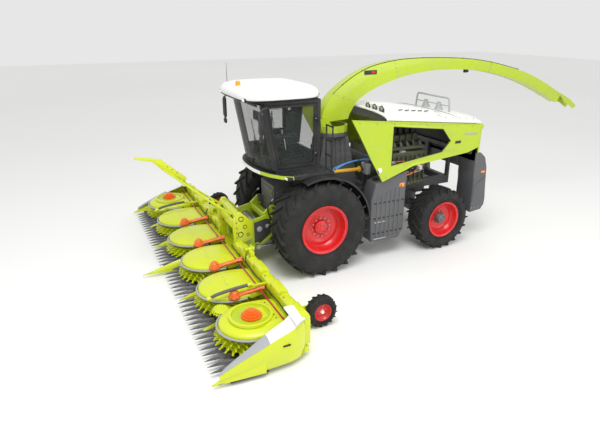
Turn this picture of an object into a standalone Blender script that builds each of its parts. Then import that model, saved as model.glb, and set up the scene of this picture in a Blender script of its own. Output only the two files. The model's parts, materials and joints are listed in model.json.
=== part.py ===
"""Self-propelled forage harvester with a six-rotor folding maize header.
Metres. The vehicle drives towards -Y, its left side is +X, and the tyres stand on Z = 0.
Y is measured from the front axle while modelling; the last step centres the whole vehicle on its own box."""

import math

import bmesh
import bpy
from mathutils import Matrix, Vector

# ---- driving sizes ----
WHEELBASE = 3.10
FRONT_TYRE_RADIUS = 1.01
FRONT_TYRE_WIDTH = 0.72
FRONT_RIM_RADIUS = 0.505
FRONT_WHEEL_X = 1.14
REAR_TYRE_RADIUS = 0.71
REAR_TYRE_WIDTH = 0.56
REAR_RIM_RADIUS = 0.405
REAR_WHEEL_X = 1.18
ROTOR_PITCH = 1.25
ROTORS = 6
BODY_HALF_WIDTH = 1.30
BODY_FRONT_Y = 0.62
REAR_OVERHANG = 0.90        # from the rear axle to the body's back
BODY_REAR_Y = WHEELBASE + REAR_OVERHANG
HOOD_HEIGHT = 3.20
CAB_HALF_WIDTH = 0.85
CAB_FLOOR_Z = 2.16
CAB_HEIGHT = 1.40
CAB_LENGTH = 1.24
SPOUT_REACH = 7.90
SPOUT_WIDTH = 0.34

# ---- clearances and walls ----
GAP = 0.0005        # between faces that rest on each other
SEAM = 0.006        # between a moving piece and what it closes against
SHEET = 0.03        # folded body panel, with its frame
GLASS = 0.008
CAB_WALL = 0.06
SPOUT_WALL = 0.010
FLAP_RINGS = (              # along and down of the top edge, then of the low edge, and which end it is
    (0.008, 0.0, 0.012, 0.05, -1),
    (0.20, -0.005, 0.30, 0.15, 0),
    (0.40, -0.01, 0.40, 0.13, 0),
    (0.78, 0.04, 0.74, 0.16, 1),
)
SPOUT_TAPER = 0.22          # how much narrower the duct is at its tip
WHEEL_SIDES = 24
ROUND_SIDES = 16

# ---- worked-out places ----
FRONT_DISC = 0.06           # how far each wheel disc stands out from its middle
REAR_DISC = 0.05
HUB_DISH = 0.01
FRONT_SIZES = (FRONT_TYRE_RADIUS, FRONT_TYRE_WIDTH, FRONT_RIM_RADIUS, FRONT_DISC)
REAR_SIZES = (REAR_TYRE_RADIUS, REAR_TYRE_WIDTH, REAR_RIM_RADIUS, REAR_DISC)
FRONT_HUB_END = FRONT_WHEEL_X + FRONT_DISC - HUB_DISH - GAP
REAR_HUB_END = REAR_WHEEL_X + REAR_DISC - HUB_DISH - GAP
CAB_REAR = 0.16
CAB_TOP_Z = CAB_FLOOR_Z + CAB_HEIGHT
LEAN = 0.26         # how far the windscreen's top stands ahead of its foot
DOOR_PIN = 0.007
DOOR_HINGES_Z = (CAB_FLOOR_Z + 0.30, CAB_FLOOR_Z + 1.00)
BULGE = 0.17        # how far the windscreen bows forward at the middle
FRONT_AXLE = Vector((0, 0, FRONT_TYRE_RADIUS))
REAR_AXLE = Vector((0, WHEELBASE, REAR_TYRE_RADIUS))
RAIL_X = (0.36, 0.46)
RAIL_Z = (1.22, 1.42)
HOOP_FOOT_Z = 2.10          # the body hoops widen above the side boxes
HOOD_SLOPE = 0.103
INTAKE_Y = (1.60, 2.95)
HOOD_TOP_Y = 1.46           # the hood starts behind the turret
KINGPIN_X = 0.72
STEER_ANGLE = math.radians(30)
STEER_REACH = ((REAR_WHEEL_X - KINGPIN_X + REAR_TYRE_WIDTH / 2) * math.sin(STEER_ANGLE)
               + REAR_TYRE_RADIUS * math.cos(STEER_ANGLE) + 0.03)   # a steered tyre, from its axle
TURRET = Vector((0, 0.86, 2.72))
TURRET_RADIUS = 0.37
TURRET_HEIGHT = 0.14
SPOUT_PIVOT = Vector((0, 0.56, 2.97))
FEEDER_PIVOT = Vector((0, -0.72, 1.27))
FEEDER_HALF_WIDTH = 0.46
HEADER_ROTOR_Y = -2.28
ROTOR_RADIUS = 0.58
ROTOR_SHAFT = 0.055
ROTOR_Z = (0.21, 0.40)
HEADER_BEAM_Y = (-1.66, -1.48)
HEADER_BEAM_Z = (0.24, 0.78)
WING_HINGE_Z = 0.83
HINGE_BOSS = 0.04
HINGE_PIN = 0.022
SECTION_HALF = ROTOR_PITCH
TROUGH_Z = (0.10, 0.19)
COVER_Z = (0.43, 0.58)
GAUGE_RADIUS = 0.29
GAUGE_WIDTH = 0.20
GAUGE_X = 3.05
GAUGE_Y = -0.93

FEEDER_PIN = 0.03
LIFT_X = 0.535
LIFT_ROD = 0.028
LIFT_PIN = 0.022
LIFT_PLAY = 0.009           # room round the feeder's pin, where the linkage is opened
LIFT_BARREL_PIN = (-0.15, 0.50)
LIFT_ROD_PIN = (-1.13, 0.50)
FEED_ROLL_RADIUS = 0.12
FEED_ROLLS = {"front": (-1.33, 0.80), "rear": (-1.06, 0.86)}

DRUM_SIDE_X = RAIL_X[0] - GAP   # the chopper housing fits between the rails
DECK_THICK = 0.09
BELT_PULLEYS = (            # Y, Z and radius of each, front first
    (-0.42, 1.24, 0.25),
    (0.12, 1.50, 0.08),
    (0.28, 1.80, 0.12),
)
UPPER_SHAFT = 0.040
LOWER_SHAFT = 0.045
SHAFT_X = 0.66
UPPER_DRIVE = [(SHAFT_X, y, z) for y,
               z in ((-0.66, 1.44), (-0.20, 1.85), (0.03, 1.95), (0.28, 1.97), (0.54, 1.97), (1.28, 1.95))]
LOWER_DRIVE = [(SHAFT_X, y, z) for y, z in ((-0.84, 0.66), (-0.30, 0.665), (0.36, 0.74), (0.94, 0.90))]

COLOURS = {
    "lime_paint": ((0.47, 0.60, 0.02), 0.35, 0.0),
    "header_paint": ((0.62, 0.74, 0.02), 0.35, 0.0),
    "white_paint": ((0.84, 0.84, 0.82), 0.35, 0.0),
    "grey_paint": ((0.10, 0.10, 0.105), 0.5, 0.0),
    "dark_plastic": ((0.03, 0.03, 0.032), 0.6, 0.0),
    "red_paint": ((0.75, 0.02, 0.01), 0.35, 0.0),
    "tyre_rubber": ((0.012, 0.012, 0.012), 0.85, 0.0),
    "tinted_glass": ((0.20, 0.25, 0.22), 0.05, 0.0),
    "bare_steel": ((0.45, 0.46, 0.47), 0.35, 1.0),
    "cast_steel": ((0.22, 0.22, 0.22), 0.55, 0.8),
    "engine_paint": ((0.10, 0.11, 0.07), 0.55, 0.2),
    "orange_paint": ((0.90, 0.17, 0.01), 0.35, 0.0),
    "yellow_paint": ((0.95, 0.52, 0.02), 0.35, 0.0),
    "blue_paint": ((0.05, 0.20, 0.55), 0.35, 0.0),
    "seat_fabric": ((0.05, 0.05, 0.055), 0.9, 0.0),
}

helpers = bpy.data.collections.new("helpers")


def clear_scene():
    for old in list(bpy.data.objects):
        bpy.data.objects.remove(old, do_unlink=True)


def material(name):
    found = bpy.data.materials.get(name)
    if found:
        return found
    colour, roughness, metallic = COLOURS[name]
    made = bpy.data.materials.new(name)
    made.use_nodes = True
    shader = made.node_tree.nodes["Principled BSDF"]
    shader.inputs["Base Color"].default_value = (*colour, 1)
    shader.inputs["Roughness"].default_value = roughness
    shader.inputs["Metallic"].default_value = metallic
    return made


# ---- closed shells, each a helper object until it is fused ----


def shell(points, faces):
    mesh = bpy.data.meshes.new("shell")
    mesh.from_pydata([tuple(p) for p in points], [], faces)
    work = bmesh.new()
    work.from_mesh(mesh)
    bmesh.ops.remove_doubles(work, verts=work.verts, dist=1e-6)
    bmesh.ops.recalc_face_normals(work, faces=work.faces)
    work.to_mesh(mesh)
    work.free()
    made = bpy.data.objects.new("shell", mesh)
    made.hide_render = True
    made.display_type = "WIRE"
    helpers.objects.link(made)
    return made


def loft(rings):
    """A closed skin over rings of equally many points, capped at both ends."""
    count = len(rings[0])
    points = [p for ring in rings for p in ring]
    faces = [list(range(count))[::-1], [len(points) - count + i for i in range(count)]]
    for level in range(len(rings) - 1):
        for i in range(count):
            j = (i + 1) % count
            low, high = level * count, (level + 1) * count
            faces.append([low + i, low + j, high + j, high + i])
    return shell(points, faces)


def plate(outline, axis, start, end):
    """An outline in the two other axes, in X, Y, Z order, pulled along one axis."""
    def at(a, b, c):
        return {"X": (c, a, b), "Y": (a, c, b), "Z": (a, b, c)}[axis]
    return loft([[at(a, b, c) for a, b in outline] for c in (start, end)])


def box(x, y, z):
    return plate([(x[0], y[0]), (x[1], y[0]), (x[1], y[1]), (x[0], y[1])], "Z", z[0], z[1])


def arc(centre, radius, start, end, steps):
    """Points on an arc, in degrees."""
    return [
        (centre[0] + radius * math.cos(math.radians(a)), centre[1] + radius * math.sin(math.radians(a)))
        for a in (start + (end - start) * i / steps for i in range(steps + 1))
    ]


def pin(centre, half, radius, axis="X"):
    """A pin, or the hole for one, round enough to turn with half a millimetre of room."""
    return turned([(0, -half), (radius, -half), (radius, half), (0, half)], centre, axis, sides=24)


def turned(profile, centre, axis="X", side=1, sides=ROUND_SIDES):
    """A profile of (radius, distance along the axis) turned round the axis, flats facing down.
    Its radii are those of the flats. It is solid where it starts and ends on the axis, else a ring."""
    solid = profile[0][0] == 0 and profile[-1][0] == 0
    rings = profile[1:-1] if solid else profile
    grow = 1 / math.cos(math.pi / sides)
    points, faces = [], []
    for r, along in rings:
        for i in range(sides):
            a = 2 * math.pi * (i + 0.5) / sides
            u, v = r * grow * math.cos(a), r * grow * math.sin(a)
            offset = {"X": (side * along, u, v), "Y": (u, side * along, v), "Z": (u, v, side * along)}[axis]
            points.append(Vector(centre) + Vector(offset))
    rows = len(rings)
    for k in range(rows if not solid else rows - 1):
        for i in range(sides):
            j, n = (i + 1) % sides, (k + 1) % rows
            faces.append([k * sides + i, k * sides + j, n * sides + j, n * sides + i])
    if solid:
        faces.append(list(range(sides)))
        faces.append([(rows - 1) * sides + i for i in range(sides)])
    return shell(points, faces)


def rod(a, b, radius, sides=ROUND_SIDES):
    return tube([a, b], radius, sides)


def tube(path, radius, sides=8):
    """A round bar along a path, mitred at its bends."""
    path = [Vector(p) for p in path]
    rings = []
    side = None
    for i, p in enumerate(path):
        before = (p - path[i - 1]).normalized() if i else None
        after = (path[i + 1] - p).normalized() if i < len(path) - 1 else None
        ahead = ((before or after) + (after or before)).normalized()
        stretch = 1 / max(0.5, ahead.dot(after or before))
        if side is None:
            side = ahead.orthogonal().normalized()
        side = (side - ahead * side.dot(ahead)).normalized()
        up = ahead.cross(side)
        bend = (after - before).normalized() if before and after and (after - before).length > 1e-4 else None
        ring = []
        for k in range(sides):
            a = 2 * math.pi * (k + 0.5) / sides
            out = side * math.cos(a) * radius + up * math.sin(a) * radius
            if bend:
                out += bend * out.dot(bend) * (stretch - 1)
            ring.append(p + out)
        rings.append(ring)
    return loft(rings)


def rounded(half_x, y, reach, steps=24):
    """A plan outline with softly squared ends, between y[0] and y[1]."""
    middle, half_y = (y[0] + y[1]) / 2, (y[1] - y[0]) / 2
    outline = []
    for i in range(steps):
        a = 2 * math.pi * (i + 0.5) / steps
        c, s = math.cos(a), math.sin(a)
        power = 2 / reach
        outline.append((half_x * math.copysign(abs(c) ** power, c),
                        middle + half_y * math.copysign(abs(s) ** power, s)))
    return outline


def apply_boolean(target, operands, operation):
    if not operands:
        return
    group = bpy.data.collections.new("operands")
    for piece in operands:
        group.objects.link(piece)
    step = target.modifiers.new(operation, "BOOLEAN")
    step.operation = operation
    step.solver = "EXACT"
    step.operand_type = "COLLECTION"
    step.collection = group
    bpy.context.view_layer.update()
    graph = bpy.context.evaluated_depsgraph_get()
    mesh = bpy.data.meshes.new_from_object(target.evaluated_get(graph))
    target.modifiers.clear()
    target.data = mesh
    for piece in operands:
        bpy.data.objects.remove(piece, do_unlink=True)
    bpy.data.collections.remove(group)


def fuse(name, paint, pieces, cuts=(), pivot=None):
    """One node: the pieces joined into one closed body, the cuts taken out, its origin on its pivot."""
    target = pieces[0]
    apply_boolean(target, pieces[1:], "UNION")
    apply_boolean(target, list(cuts), "DIFFERENCE")
    helpers.objects.unlink(target)
    bpy.context.scene.collection.objects.link(target)
    target.name = name
    target.data.name = name
    target.display_type = "TEXTURED"
    target.hide_render = False
    target.data.materials.clear()
    target.data.materials.append(material(paint))
    for face in target.data.polygons:
        face.material_index = 0
    target.data.shade_smooth()
    target.data.set_sharp_from_angle(angle=math.radians(30))
    if pivot is not None:
        target.data.transform(Matrix.Translation(-Vector(pivot.location)))
        target.parent = pivot
    return target


def joint_axis(name, place):
    """An empty that marks a joint's axis and carries what turns on it."""
    mark = bpy.data.objects.new(name, None)
    mark.location = place
    mark.empty_display_size = 0.2
    bpy.context.scene.collection.objects.link(mark)
    return mark


def span(side, near, far):
    return tuple(sorted((side * near, side * far)))


def side_name(side):
    return "left" if side > 0 else "right"


# ---- wheels ----


def wheel(name, centre, side, sizes, pivot):
    """A tyre on a dished rim. Distances along the axle are from the tyre's middle, outwards."""
    radius, width, rim, disc_at = sizes
    half = width / 2
    barrel = half - 0.08
    wall = 0.02
    hub = 0.42 * rim
    rim_profile = [
        (0, disc_at + wall), (hub, disc_at + wall), (rim - wall, disc_at - 0.09),
        (rim - wall, barrel + 0.015),
        (rim + 0.018, barrel + 0.045), (rim, barrel), (rim, -barrel), (rim + 0.018, -barrel - 0.045),
        (rim - wall, -barrel - 0.015), (rim - wall, disc_at - 0.115), (hub, disc_at - wall / 2),
        (0, disc_at - wall / 2),
    ]
    seat = rim + GAP
    crown = radius - 0.03
    middle = 0.55 * radius + 0.45 * rim
    tyre_profile = [
        (seat, -barrel + 0.01), (seat + 0.05, -half + 0.03), (middle, -half), (crown - 0.02, -half + 0.03),
        (radius, -half + 0.12), (radius, half - 0.12), (crown - 0.02, half - 0.03), (middle, half),
        (seat + 0.05, half - 0.03), (seat, barrel - 0.01),
    ]
    fuse(name + "_rim", "red_paint", [turned(rim_profile, centre, side=side, sides=WHEEL_SIDES)], pivot=pivot)
    fuse(name + "_tyre", "tyre_rubber", [turned(tyre_profile, centre, side=side, sides=WHEEL_SIDES)],
         pivot=pivot)
    return disc_at - wall / 2


def front_wheels_and_axle():
    for side in (1, -1):
        centre = FRONT_AXLE + Vector((side * FRONT_WHEEL_X, 0, 0))
        wheel("front_wheel_" + side_name(side), centre, side, FRONT_SIZES,
              joint_axis("front_wheel_spin_" + side_name(side), centre))
    z = FRONT_AXLE.z
    reach = FRONT_WHEEL_X - FRONT_TYRE_WIDTH / 2 - 0.06
    beam = box((-reach, reach), (-0.15, 0.15), (z - 0.15, z + 0.13))
    hubs = []
    for side in (1, -1):
        start = Vector((side * (reach - 0.10), 0, z))
        hubs.append(turned([(0, 0), (0.20, 0), (0.20, 0.14), (0.17, 0.18),
                            (0.17, FRONT_HUB_END - reach + 0.10),
                            (0, FRONT_HUB_END - reach + 0.10)], start, side=side))
        hubs.append(box(span(side, LIFT_X - 0.12, LIFT_X - 0.057), (-0.19, 0.01),
                        (LIFT_BARREL_PIN[1] - 0.06, z)))
        hubs.append(pin((side * LIFT_X, *LIFT_BARREL_PIN), 0.06, LIFT_PIN))
    saddles = [box(span(side, *RAIL_X), (-0.13, 0.13), (z + 0.10, RAIL_Z[0] - GAP)) for side in (1, -1)]
    fuse("front_axle", "cast_steel", [beam] + hubs + saddles)


def rear_wheels_and_axle():
    z = REAR_AXLE.z
    y = REAR_AXLE.y
    boss = (z - 0.20, z + 0.20)
    pieces = [box((-KINGPIN_X, KINGPIN_X), (y - 0.11, y + 0.11), (z - 0.12, z + 0.10))]
    for side in (1, -1):
        pieces.append(turned([(0, boss[0]), (0.075, boss[0]), (0.075, boss[1]), (0, boss[1])],
                             (side * KINGPIN_X, y, 0), "Z"))
    pieces.append(box((-0.16, 0.16), (y - 0.14, y + 0.14), (z, RAIL_Z[0] - 0.12 - GAP)))
    fuse("rear_axle", "cast_steel", pieces)
    for side in (1, -1):
        label = side_name(side)
        knuckle = joint_axis("rear_steer_" + label, (side * KINGPIN_X, y, z))
        x = span(side, KINGPIN_X - 0.09, KINGPIN_X + 0.17)
        web = span(side, KINGPIN_X + 0.11, KINGPIN_X + 0.17)
        top = box(x, (y - 0.10, y + 0.10), (boss[1] + GAP, boss[1] + 0.05))
        low = box(x, (y - 0.10, y + 0.10), (boss[0] - 0.05, boss[0] - GAP))
        outer = box(web, (y - 0.10, y + 0.10), (boss[0] - 0.05, boss[1] + 0.05))
        start = (side * (KINGPIN_X + 0.14), y, z)
        reach = REAR_HUB_END - KINGPIN_X - 0.14
        spindle = turned([(0, 0), (0.15, 0), (0.15, 0.10), (0.11, 0.14), (0.11, reach), (0, reach)], start,
                         side=side)
        fuse("rear_knuckle_" + label, "cast_steel", [outer, top, low, spindle], pivot=knuckle)
        centre = REAR_AXLE + Vector((side * REAR_WHEEL_X, 0, 0))
        wheel("rear_wheel_" + label, centre, side, REAR_SIZES, joint_axis("rear_wheel_spin_" + label, centre))


# ---- chassis and body ----


def hood_line(y):
    """Height of the body's shoulder, which falls towards the rear."""
    return HOOD_HEIGHT - HOOD_SLOPE * (y - BODY_FRONT_Y)


def chassis():
    rear = BODY_REAR_Y - 0.02
    pieces = [box(span(side, *RAIL_X), (-0.30, rear), RAIL_Z) for side in (1, -1)]
    pieces += [box((-RAIL_X[1], RAIL_X[1]), (y, y + 0.12), (RAIL_Z[0] + 0.02, RAIL_Z[1] - 0.02))
               for y in (1.62, 2.30, rear - 0.12)]
    y = REAR_AXLE.y
    pieces.append(box((-RAIL_X[1], RAIL_X[1]), (y - 0.14, y + 0.14), (RAIL_Z[0] - 0.12, RAIL_Z[1] - 0.03)))
    hoop = 1.14
    for y in (HOOD_TOP_Y + 0.04, rear - 0.06):
        crown = hood_line(y + 0.03) + 0.2
        under = hood_line(y + 0.03) - SHEET
        for side in (1, -1):
            pieces.append(box(span(side, hoop - 0.06, hoop), (y, y + 0.06), (HOOP_FOOT_Z, crown)))
            pieces.append(box(span(side, RAIL_X[0], RAIL_X[1]), (y, y + 0.06),
                              (RAIL_Z[1] - 0.04, HOOP_FOOT_Z + 0.06)))
        pieces.append(box((-hoop, hoop), (y, y + 0.06), (under - 0.04, crown)))
        pieces.append(box((-hoop, hoop), (y, y + 0.06), (HOOP_FOOT_Z, HOOP_FOOT_Z + 0.08)))
    pieces.append(box((-0.10, 0.10), (rear - 0.10, rear + 0.02), (0.72, RAIL_Z[0] + 0.06)))
    pieces.append(box((-0.10, 0.10), (rear - 0.10, rear + 0.46), (0.72, 0.86)))
    fuse("chassis_frame", "grey_paint", pieces, [above_hood(SHEET + GAP)])


def engine():
    base = box((-0.48, 0.48), (1.80, 2.98), (RAIL_Z[1] + 0.021, 1.66))
    block = box((-0.86, 0.86), (1.80, 2.98), (1.62, 2.74))
    feet = box((-0.44, 0.44), (1.85, 2.90), (RAIL_Z[1] + GAP, 1.50))
    fuse("engine_block", "engine_paint", [block, base, feet])


def above_hood(drop):
    """A cutter: everything above the hood's crown, lowered by drop."""
    rings = []
    for y in (HOOD_TOP_Y - 0.2, BODY_REAR_Y + 0.3):
        crown = crown_section(y, drop, BODY_HALF_WIDTH - 0.015)
        rings.append(crown + [(crown[-1][0], y, crown[-1][2] + 0.5), (crown[0][0], y, crown[0][2] + 0.5)])
    return loft(rings)


def crown_section(y, drop, half):
    z = hood_line(y) - drop
    rise = [(half, 0.0), (0.94 * half, 0.05), (0.80 * half, 0.09), (0.40 * half, 0.12), (0.0, 0.13)]
    line = rise + [(-x, h) for x, h in rise[-2::-1]]
    return [(x, y, z + h) for x, h in line]


def hood():
    half = BODY_HALF_WIDTH - 0.01
    rings = []
    for y in (HOOD_TOP_Y, 2.0, 3.0, BODY_REAR_Y):
        outer = crown_section(y, 0, half)
        inner = crown_section(y, SHEET, half - 0.005)[::-1]
        rings.append(outer + inner)
    pieces = [loft(rings)]
    # service frame with two exhaust cones on the rear of the hood
    foot = hood_line(3.72) + 0.09
    frame_y, frame_half, frame_top = (3.62, 3.66), 0.62, foot + 0.36
    for side in (1, -1):
        pieces.append(rod((side * frame_half, 3.64, foot - 0.03),
                          (side * (frame_half - 0.06), 3.64, frame_top), 0.022, 8))
        pieces.append(turned([(0, -0.05), (0.12, -0.05), (0.12, 0.04), (0.04, 0.22), (0, 0.22)],
                             (side * 0.24, 3.64, foot), "Z"))
    pieces.append(rod((-frame_half + 0.04, 3.64, frame_top - 0.015),
                      (frame_half - 0.04, 3.64, frame_top - 0.015), 0.025, 8))
    fuse("hood_top", "white_paint", pieces)


def air_intake():
    """The raised air-intake housing beside the spout, with three round mouths at its front."""
    x0, x1 = SPOUT_WIDTH / 2 + 0.07, 1.04
    y0, y1 = INTAKE_Y
    base0, base1 = hood_line(y0), hood_line(y1)
    profile = [(y0, base0), (y0 - 0.05, base0 + 0.24), (y0 + 0.20, base0 + 0.27), (y1 - 0.12, base1 + 0.20),
               (y1, base1)]
    under = []
    for y in (HOOD_TOP_Y, BODY_REAR_Y):
        crown = [(x, py, z + GAP) for x, py, z in crown_section(y, 0, BODY_HALF_WIDTH - 0.01)]
        under.append(crown + [(crown[-1][0], y, crown[-1][2] - 0.4), (crown[0][0], y, crown[0][2] - 0.4)])
    cuts = [loft(under)]
    for k in (0, 1, 2):
        x = x0 + (x1 - x0) * (k + 0.5) / 3
        cuts.append(turned([(0, -0.2), (0.062, -0.2), (0.062, 0.20), (0, 0.20)], (x, y0, base0 + 0.175), "Y"))
    fuse("air_intake_box", "white_paint", [plate(profile, "X", x0, x1)], cuts)


def side_panel_outline():
    top0, top1 = hood_line(BODY_FRONT_Y), hood_line(BODY_REAR_Y)
    lip = SHEET + GAP
    return [
        (BODY_FRONT_Y, top0 - lip), (BODY_REAR_Y, top1 - lip), (BODY_REAR_Y + 0.02, 2.30), (3.70, 2.20),
        (2.20, 2.06), (1.42, 1.80), (1.12, 2.30), (0.84, 2.80),
    ]


def side_panels():
    for side in (1, -1):
        y0, y1 = BODY_FRONT_Y, BODY_REAR_Y
        hinge = joint_axis("side_panel_hinge_" + side_name(side),
                           (side * BODY_HALF_WIDTH, y0, hood_line(y0) - SHEET - GAP))
        skin = plate(side_panel_outline(), "X", *span(side, BODY_HALF_WIDTH - SHEET, BODY_HALF_WIDTH))
        cuts = []
        if side > 0:
            window = [(1.62, 2.96), (2.30, 2.94), (2.92, 2.80), (3.16, 2.52), (2.95, 2.30), (1.62, 2.14)]
            cuts.append(plate(window, "X", BODY_HALF_WIDTH - 0.2, BODY_HALF_WIDTH + 0.2))
        fuse("side_panel_" + side_name(side), "lime_paint", [skin], cuts, pivot=hinge)


def rear_end():
    y = BODY_REAR_Y - 0.02 + GAP
    top = hood_line(y + 0.16) - SHEET - 2 * GAP
    grille = box((-1.26, 1.26), (y, y + 0.10), (1.95, top))
    rim = box((-1.26, 1.26), (y, y + 0.16), (top - 0.10, top))
    pieces = [grille, rim]
    front, back = REAR_AXLE.y + STEER_REACH, y + 0.36
    above = REAR_AXLE.z + REAR_TYRE_RADIUS + 0.03
    corner = [(front, 0.68), (back, 0.72), (back + 0.10, 0.95), (back + 0.02, 1.80), (back - 0.20, 2.15),
              (y, 2.15),
              (y, above + 0.15), (front, above)]
    for side in (1, -1):
        pieces.append(plate(corner, "X", *span(side, 0.74, BODY_HALF_WIDTH)))
    pieces.append(box((-0.80, 0.80), (y, back), (1.72, 2.00)))
    fuse("rear_end", "grey_paint", pieces)


def side_boxes():
    """Fuel and tool boxes behind the front wheels, their front face cut round the tyre."""
    for side in (1, -1):
        back = REAR_AXLE.y - STEER_REACH
        outline = [(1.24, 0.42), (back - 0.12, 0.40), (back, 0.60), (back, 1.50), (back + 0.02, 1.98),
                   (1.30, 1.76), (1.20, 1.40)]
        tank = plate(outline, "X", *span(side, 0.86, BODY_HALF_WIDTH - SHEET - SEAM))
        bracket = [box(span(side, RAIL_X[1] + GAP, 0.90), (y, y + 0.10), RAIL_Z) for y in (back - 0.40,
                                                                                           back - 0.14)]
        fuse("fuel_tank_" + side_name(side), "grey_paint", [tank] + bracket)


def drum_and_tower():
    front, back = FEEDER_PIVOT.y + 0.04, 0.10
    z = FRONT_AXLE.z + 0.14
    drum = [(front, 0.62), (front, 1.72), (-0.30, 1.86), (back, 1.60), (back, z), (-0.17, z), (-0.17, 0.70),
            (-0.40, 0.56)]
    channel = [(back - 0.02, z), (1.05, 1.10), (1.40, 1.30), (1.34, 1.95), (0.40, 1.95), (-0.10, 1.72)]
    pieces = [plate(drum, "X", -DRUM_SIDE_X, DRUM_SIDE_X), plate(channel, "X", -0.30, 0.30)]
    y, z = FEEDER_PIVOT.y, FEEDER_PIVOT.z
    for side in (1, -1):
        pieces.append(box(span(side, 0.28, DRUM_SIDE_X), (y - 0.07, y + 0.12), (z - 0.07, z + 0.07)))
        pieces.append(pin((side * (DRUM_SIDE_X + 0.02), y, z), 0.06, FEEDER_PIN))
    pieces.append(box((-0.28, 0.28), (-0.35, 0.0), (1.6, CAB_FLOOR_Z - DECK_THICK - 2 * GAP)))
    gearbox_front = LOWER_DRIVE[-1][1] + ball_reach(LOWER_SHAFT) + GAP
    pieces.append(box((0.20, 0.76), (gearbox_front, gearbox_front + 0.17), (0.76, 1.19)))
    fuse("chopper_housing", "grey_paint", pieces)
    base, neck = 1.95 + GAP, TURRET.z
    low = [(-0.30, 0.42, base), (0.30, 0.42, base), (0.30, 1.30, base), (-0.30, 1.30, base)]
    high = [(-0.27, 0.56, neck - 0.05), (0.27, 0.56, neck - 0.05), (0.27, 1.16, neck - 0.05),
            (-0.27, 1.16, neck - 0.05)]
    collar = turned([(0, neck - 0.10), (TURRET_RADIUS, neck - 0.10), (TURRET_RADIUS, neck), (0, neck)],
                    (0, TURRET.y, 0), "Z", sides=24)
    fuse("discharge_tower", "grey_paint", [loft([low, high]), collar])


def deck_and_fenders():
    """The cab's floor frame, the walkways beside it with a handrail, and the arches over the front tyres."""
    top = CAB_FLOOR_Z - GAP
    nose = [(-1.24, 0.30), (-1.24, -0.42), (-1.05, -0.78), (-0.55, -1.04), (0, -1.10)]
    outline = nose + [(-x, y) for x, y in nose[-2::-1]]
    pieces = [plate(outline, "Z", top - DECK_THICK, top)]
    arch = FRONT_TYRE_RADIUS + 0.075
    axle = (FRONT_AXLE.y, FRONT_AXLE.z)
    for side in (1, -1):
        band = arc(axle, arch, 6, 112, 10) + arc(axle, arch + 0.022, 112, 6, 10)
        pieces.append(plate(band, "X",
                            *span(side, FRONT_WHEEL_X - FRONT_TYRE_WIDTH / 2, BODY_HALF_WIDTH + 0.12)))
        rise = sorted((FRONT_AXLE.z + arch, top - DECK_THICK + 0.005))
        pieces.append(box(span(side, 0.84, 1.16), (-0.05, 0.05), (rise[0], rise[1] + 0.01)))
    # the handrail stands behind the cab door's sweep
    rail_x, rail_y = (0.94, 1.20), 0.25
    pieces += [tube([(x, rail_y, top - 0.02), (x, rail_y, top + 0.90)], 0.016, 6) for x in rail_x]
    pieces += [tube([(rail_x[0] - 0.02, rail_y, top + z), (rail_x[1] + 0.02, rail_y, top + z)], 0.018, 6)
               for z in (0.45, 0.895)]
    fuse("cab_deck", "dark_plastic", pieces)


# ---- cab ----


def cab_plan(z, inset=0.0, out=0.0):
    """The cab's plan at a height: square at the rear, bowed and leaning at the front."""
    share = (z - CAB_FLOOR_Z) / CAB_HEIGHT
    front = CAB_REAR - CAB_LENGTH + LEAN * (1 - share) + inset - out
    half = CAB_HALF_WIDTH - inset + out
    rear = CAB_REAR - inset + out
    bow = [(-half, front), (-0.72 * half, front - 0.55 * BULGE), (-0.36 * half, front - 0.9 * BULGE),
           (0, front - BULGE)]
    return [(-half, rear)] + bow + [(-x, y) for x, y in bow[-2::-1]] + [(half, rear)]


def cab_ring(z, inset=0.0, out=0.0):
    return [(x, y, z) for x, y in cab_plan(z, inset, out)]


def front_line(z):
    return cab_plan(z)[1][1]


def door_outline(inset):
    """The door in side view: sloped along the windscreen post, upright at its hinge."""
    low, high = CAB_FLOOR_Z + 0.07 + inset, CAB_TOP_Z - 0.07 - inset
    rear = CAB_REAR - 0.08 - inset
    slope = 0.07 + inset
    return [(rear, low), (front_line(low) + slope, low), (front_line(high) + slope, high), (rear, high)]


def door_axis():
    return CAB_HALF_WIDTH + 0.018, CAB_REAR - 0.08 + 0.010


def door_hinge_pins():
    """Two pins on the rear post that the door's arms turn on."""
    x, y = door_axis()
    pieces = []
    for z in DOOR_HINGES_Z:
        pieces.append(box((CAB_HALF_WIDTH - 0.02, x + 0.014), (y - 0.010, y + 0.04), (z - 0.03, z)))
        pieces.append(pin((x, y, z + 0.0175), 0.0375, DOOR_PIN, "Z"))
    return pieces


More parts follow.
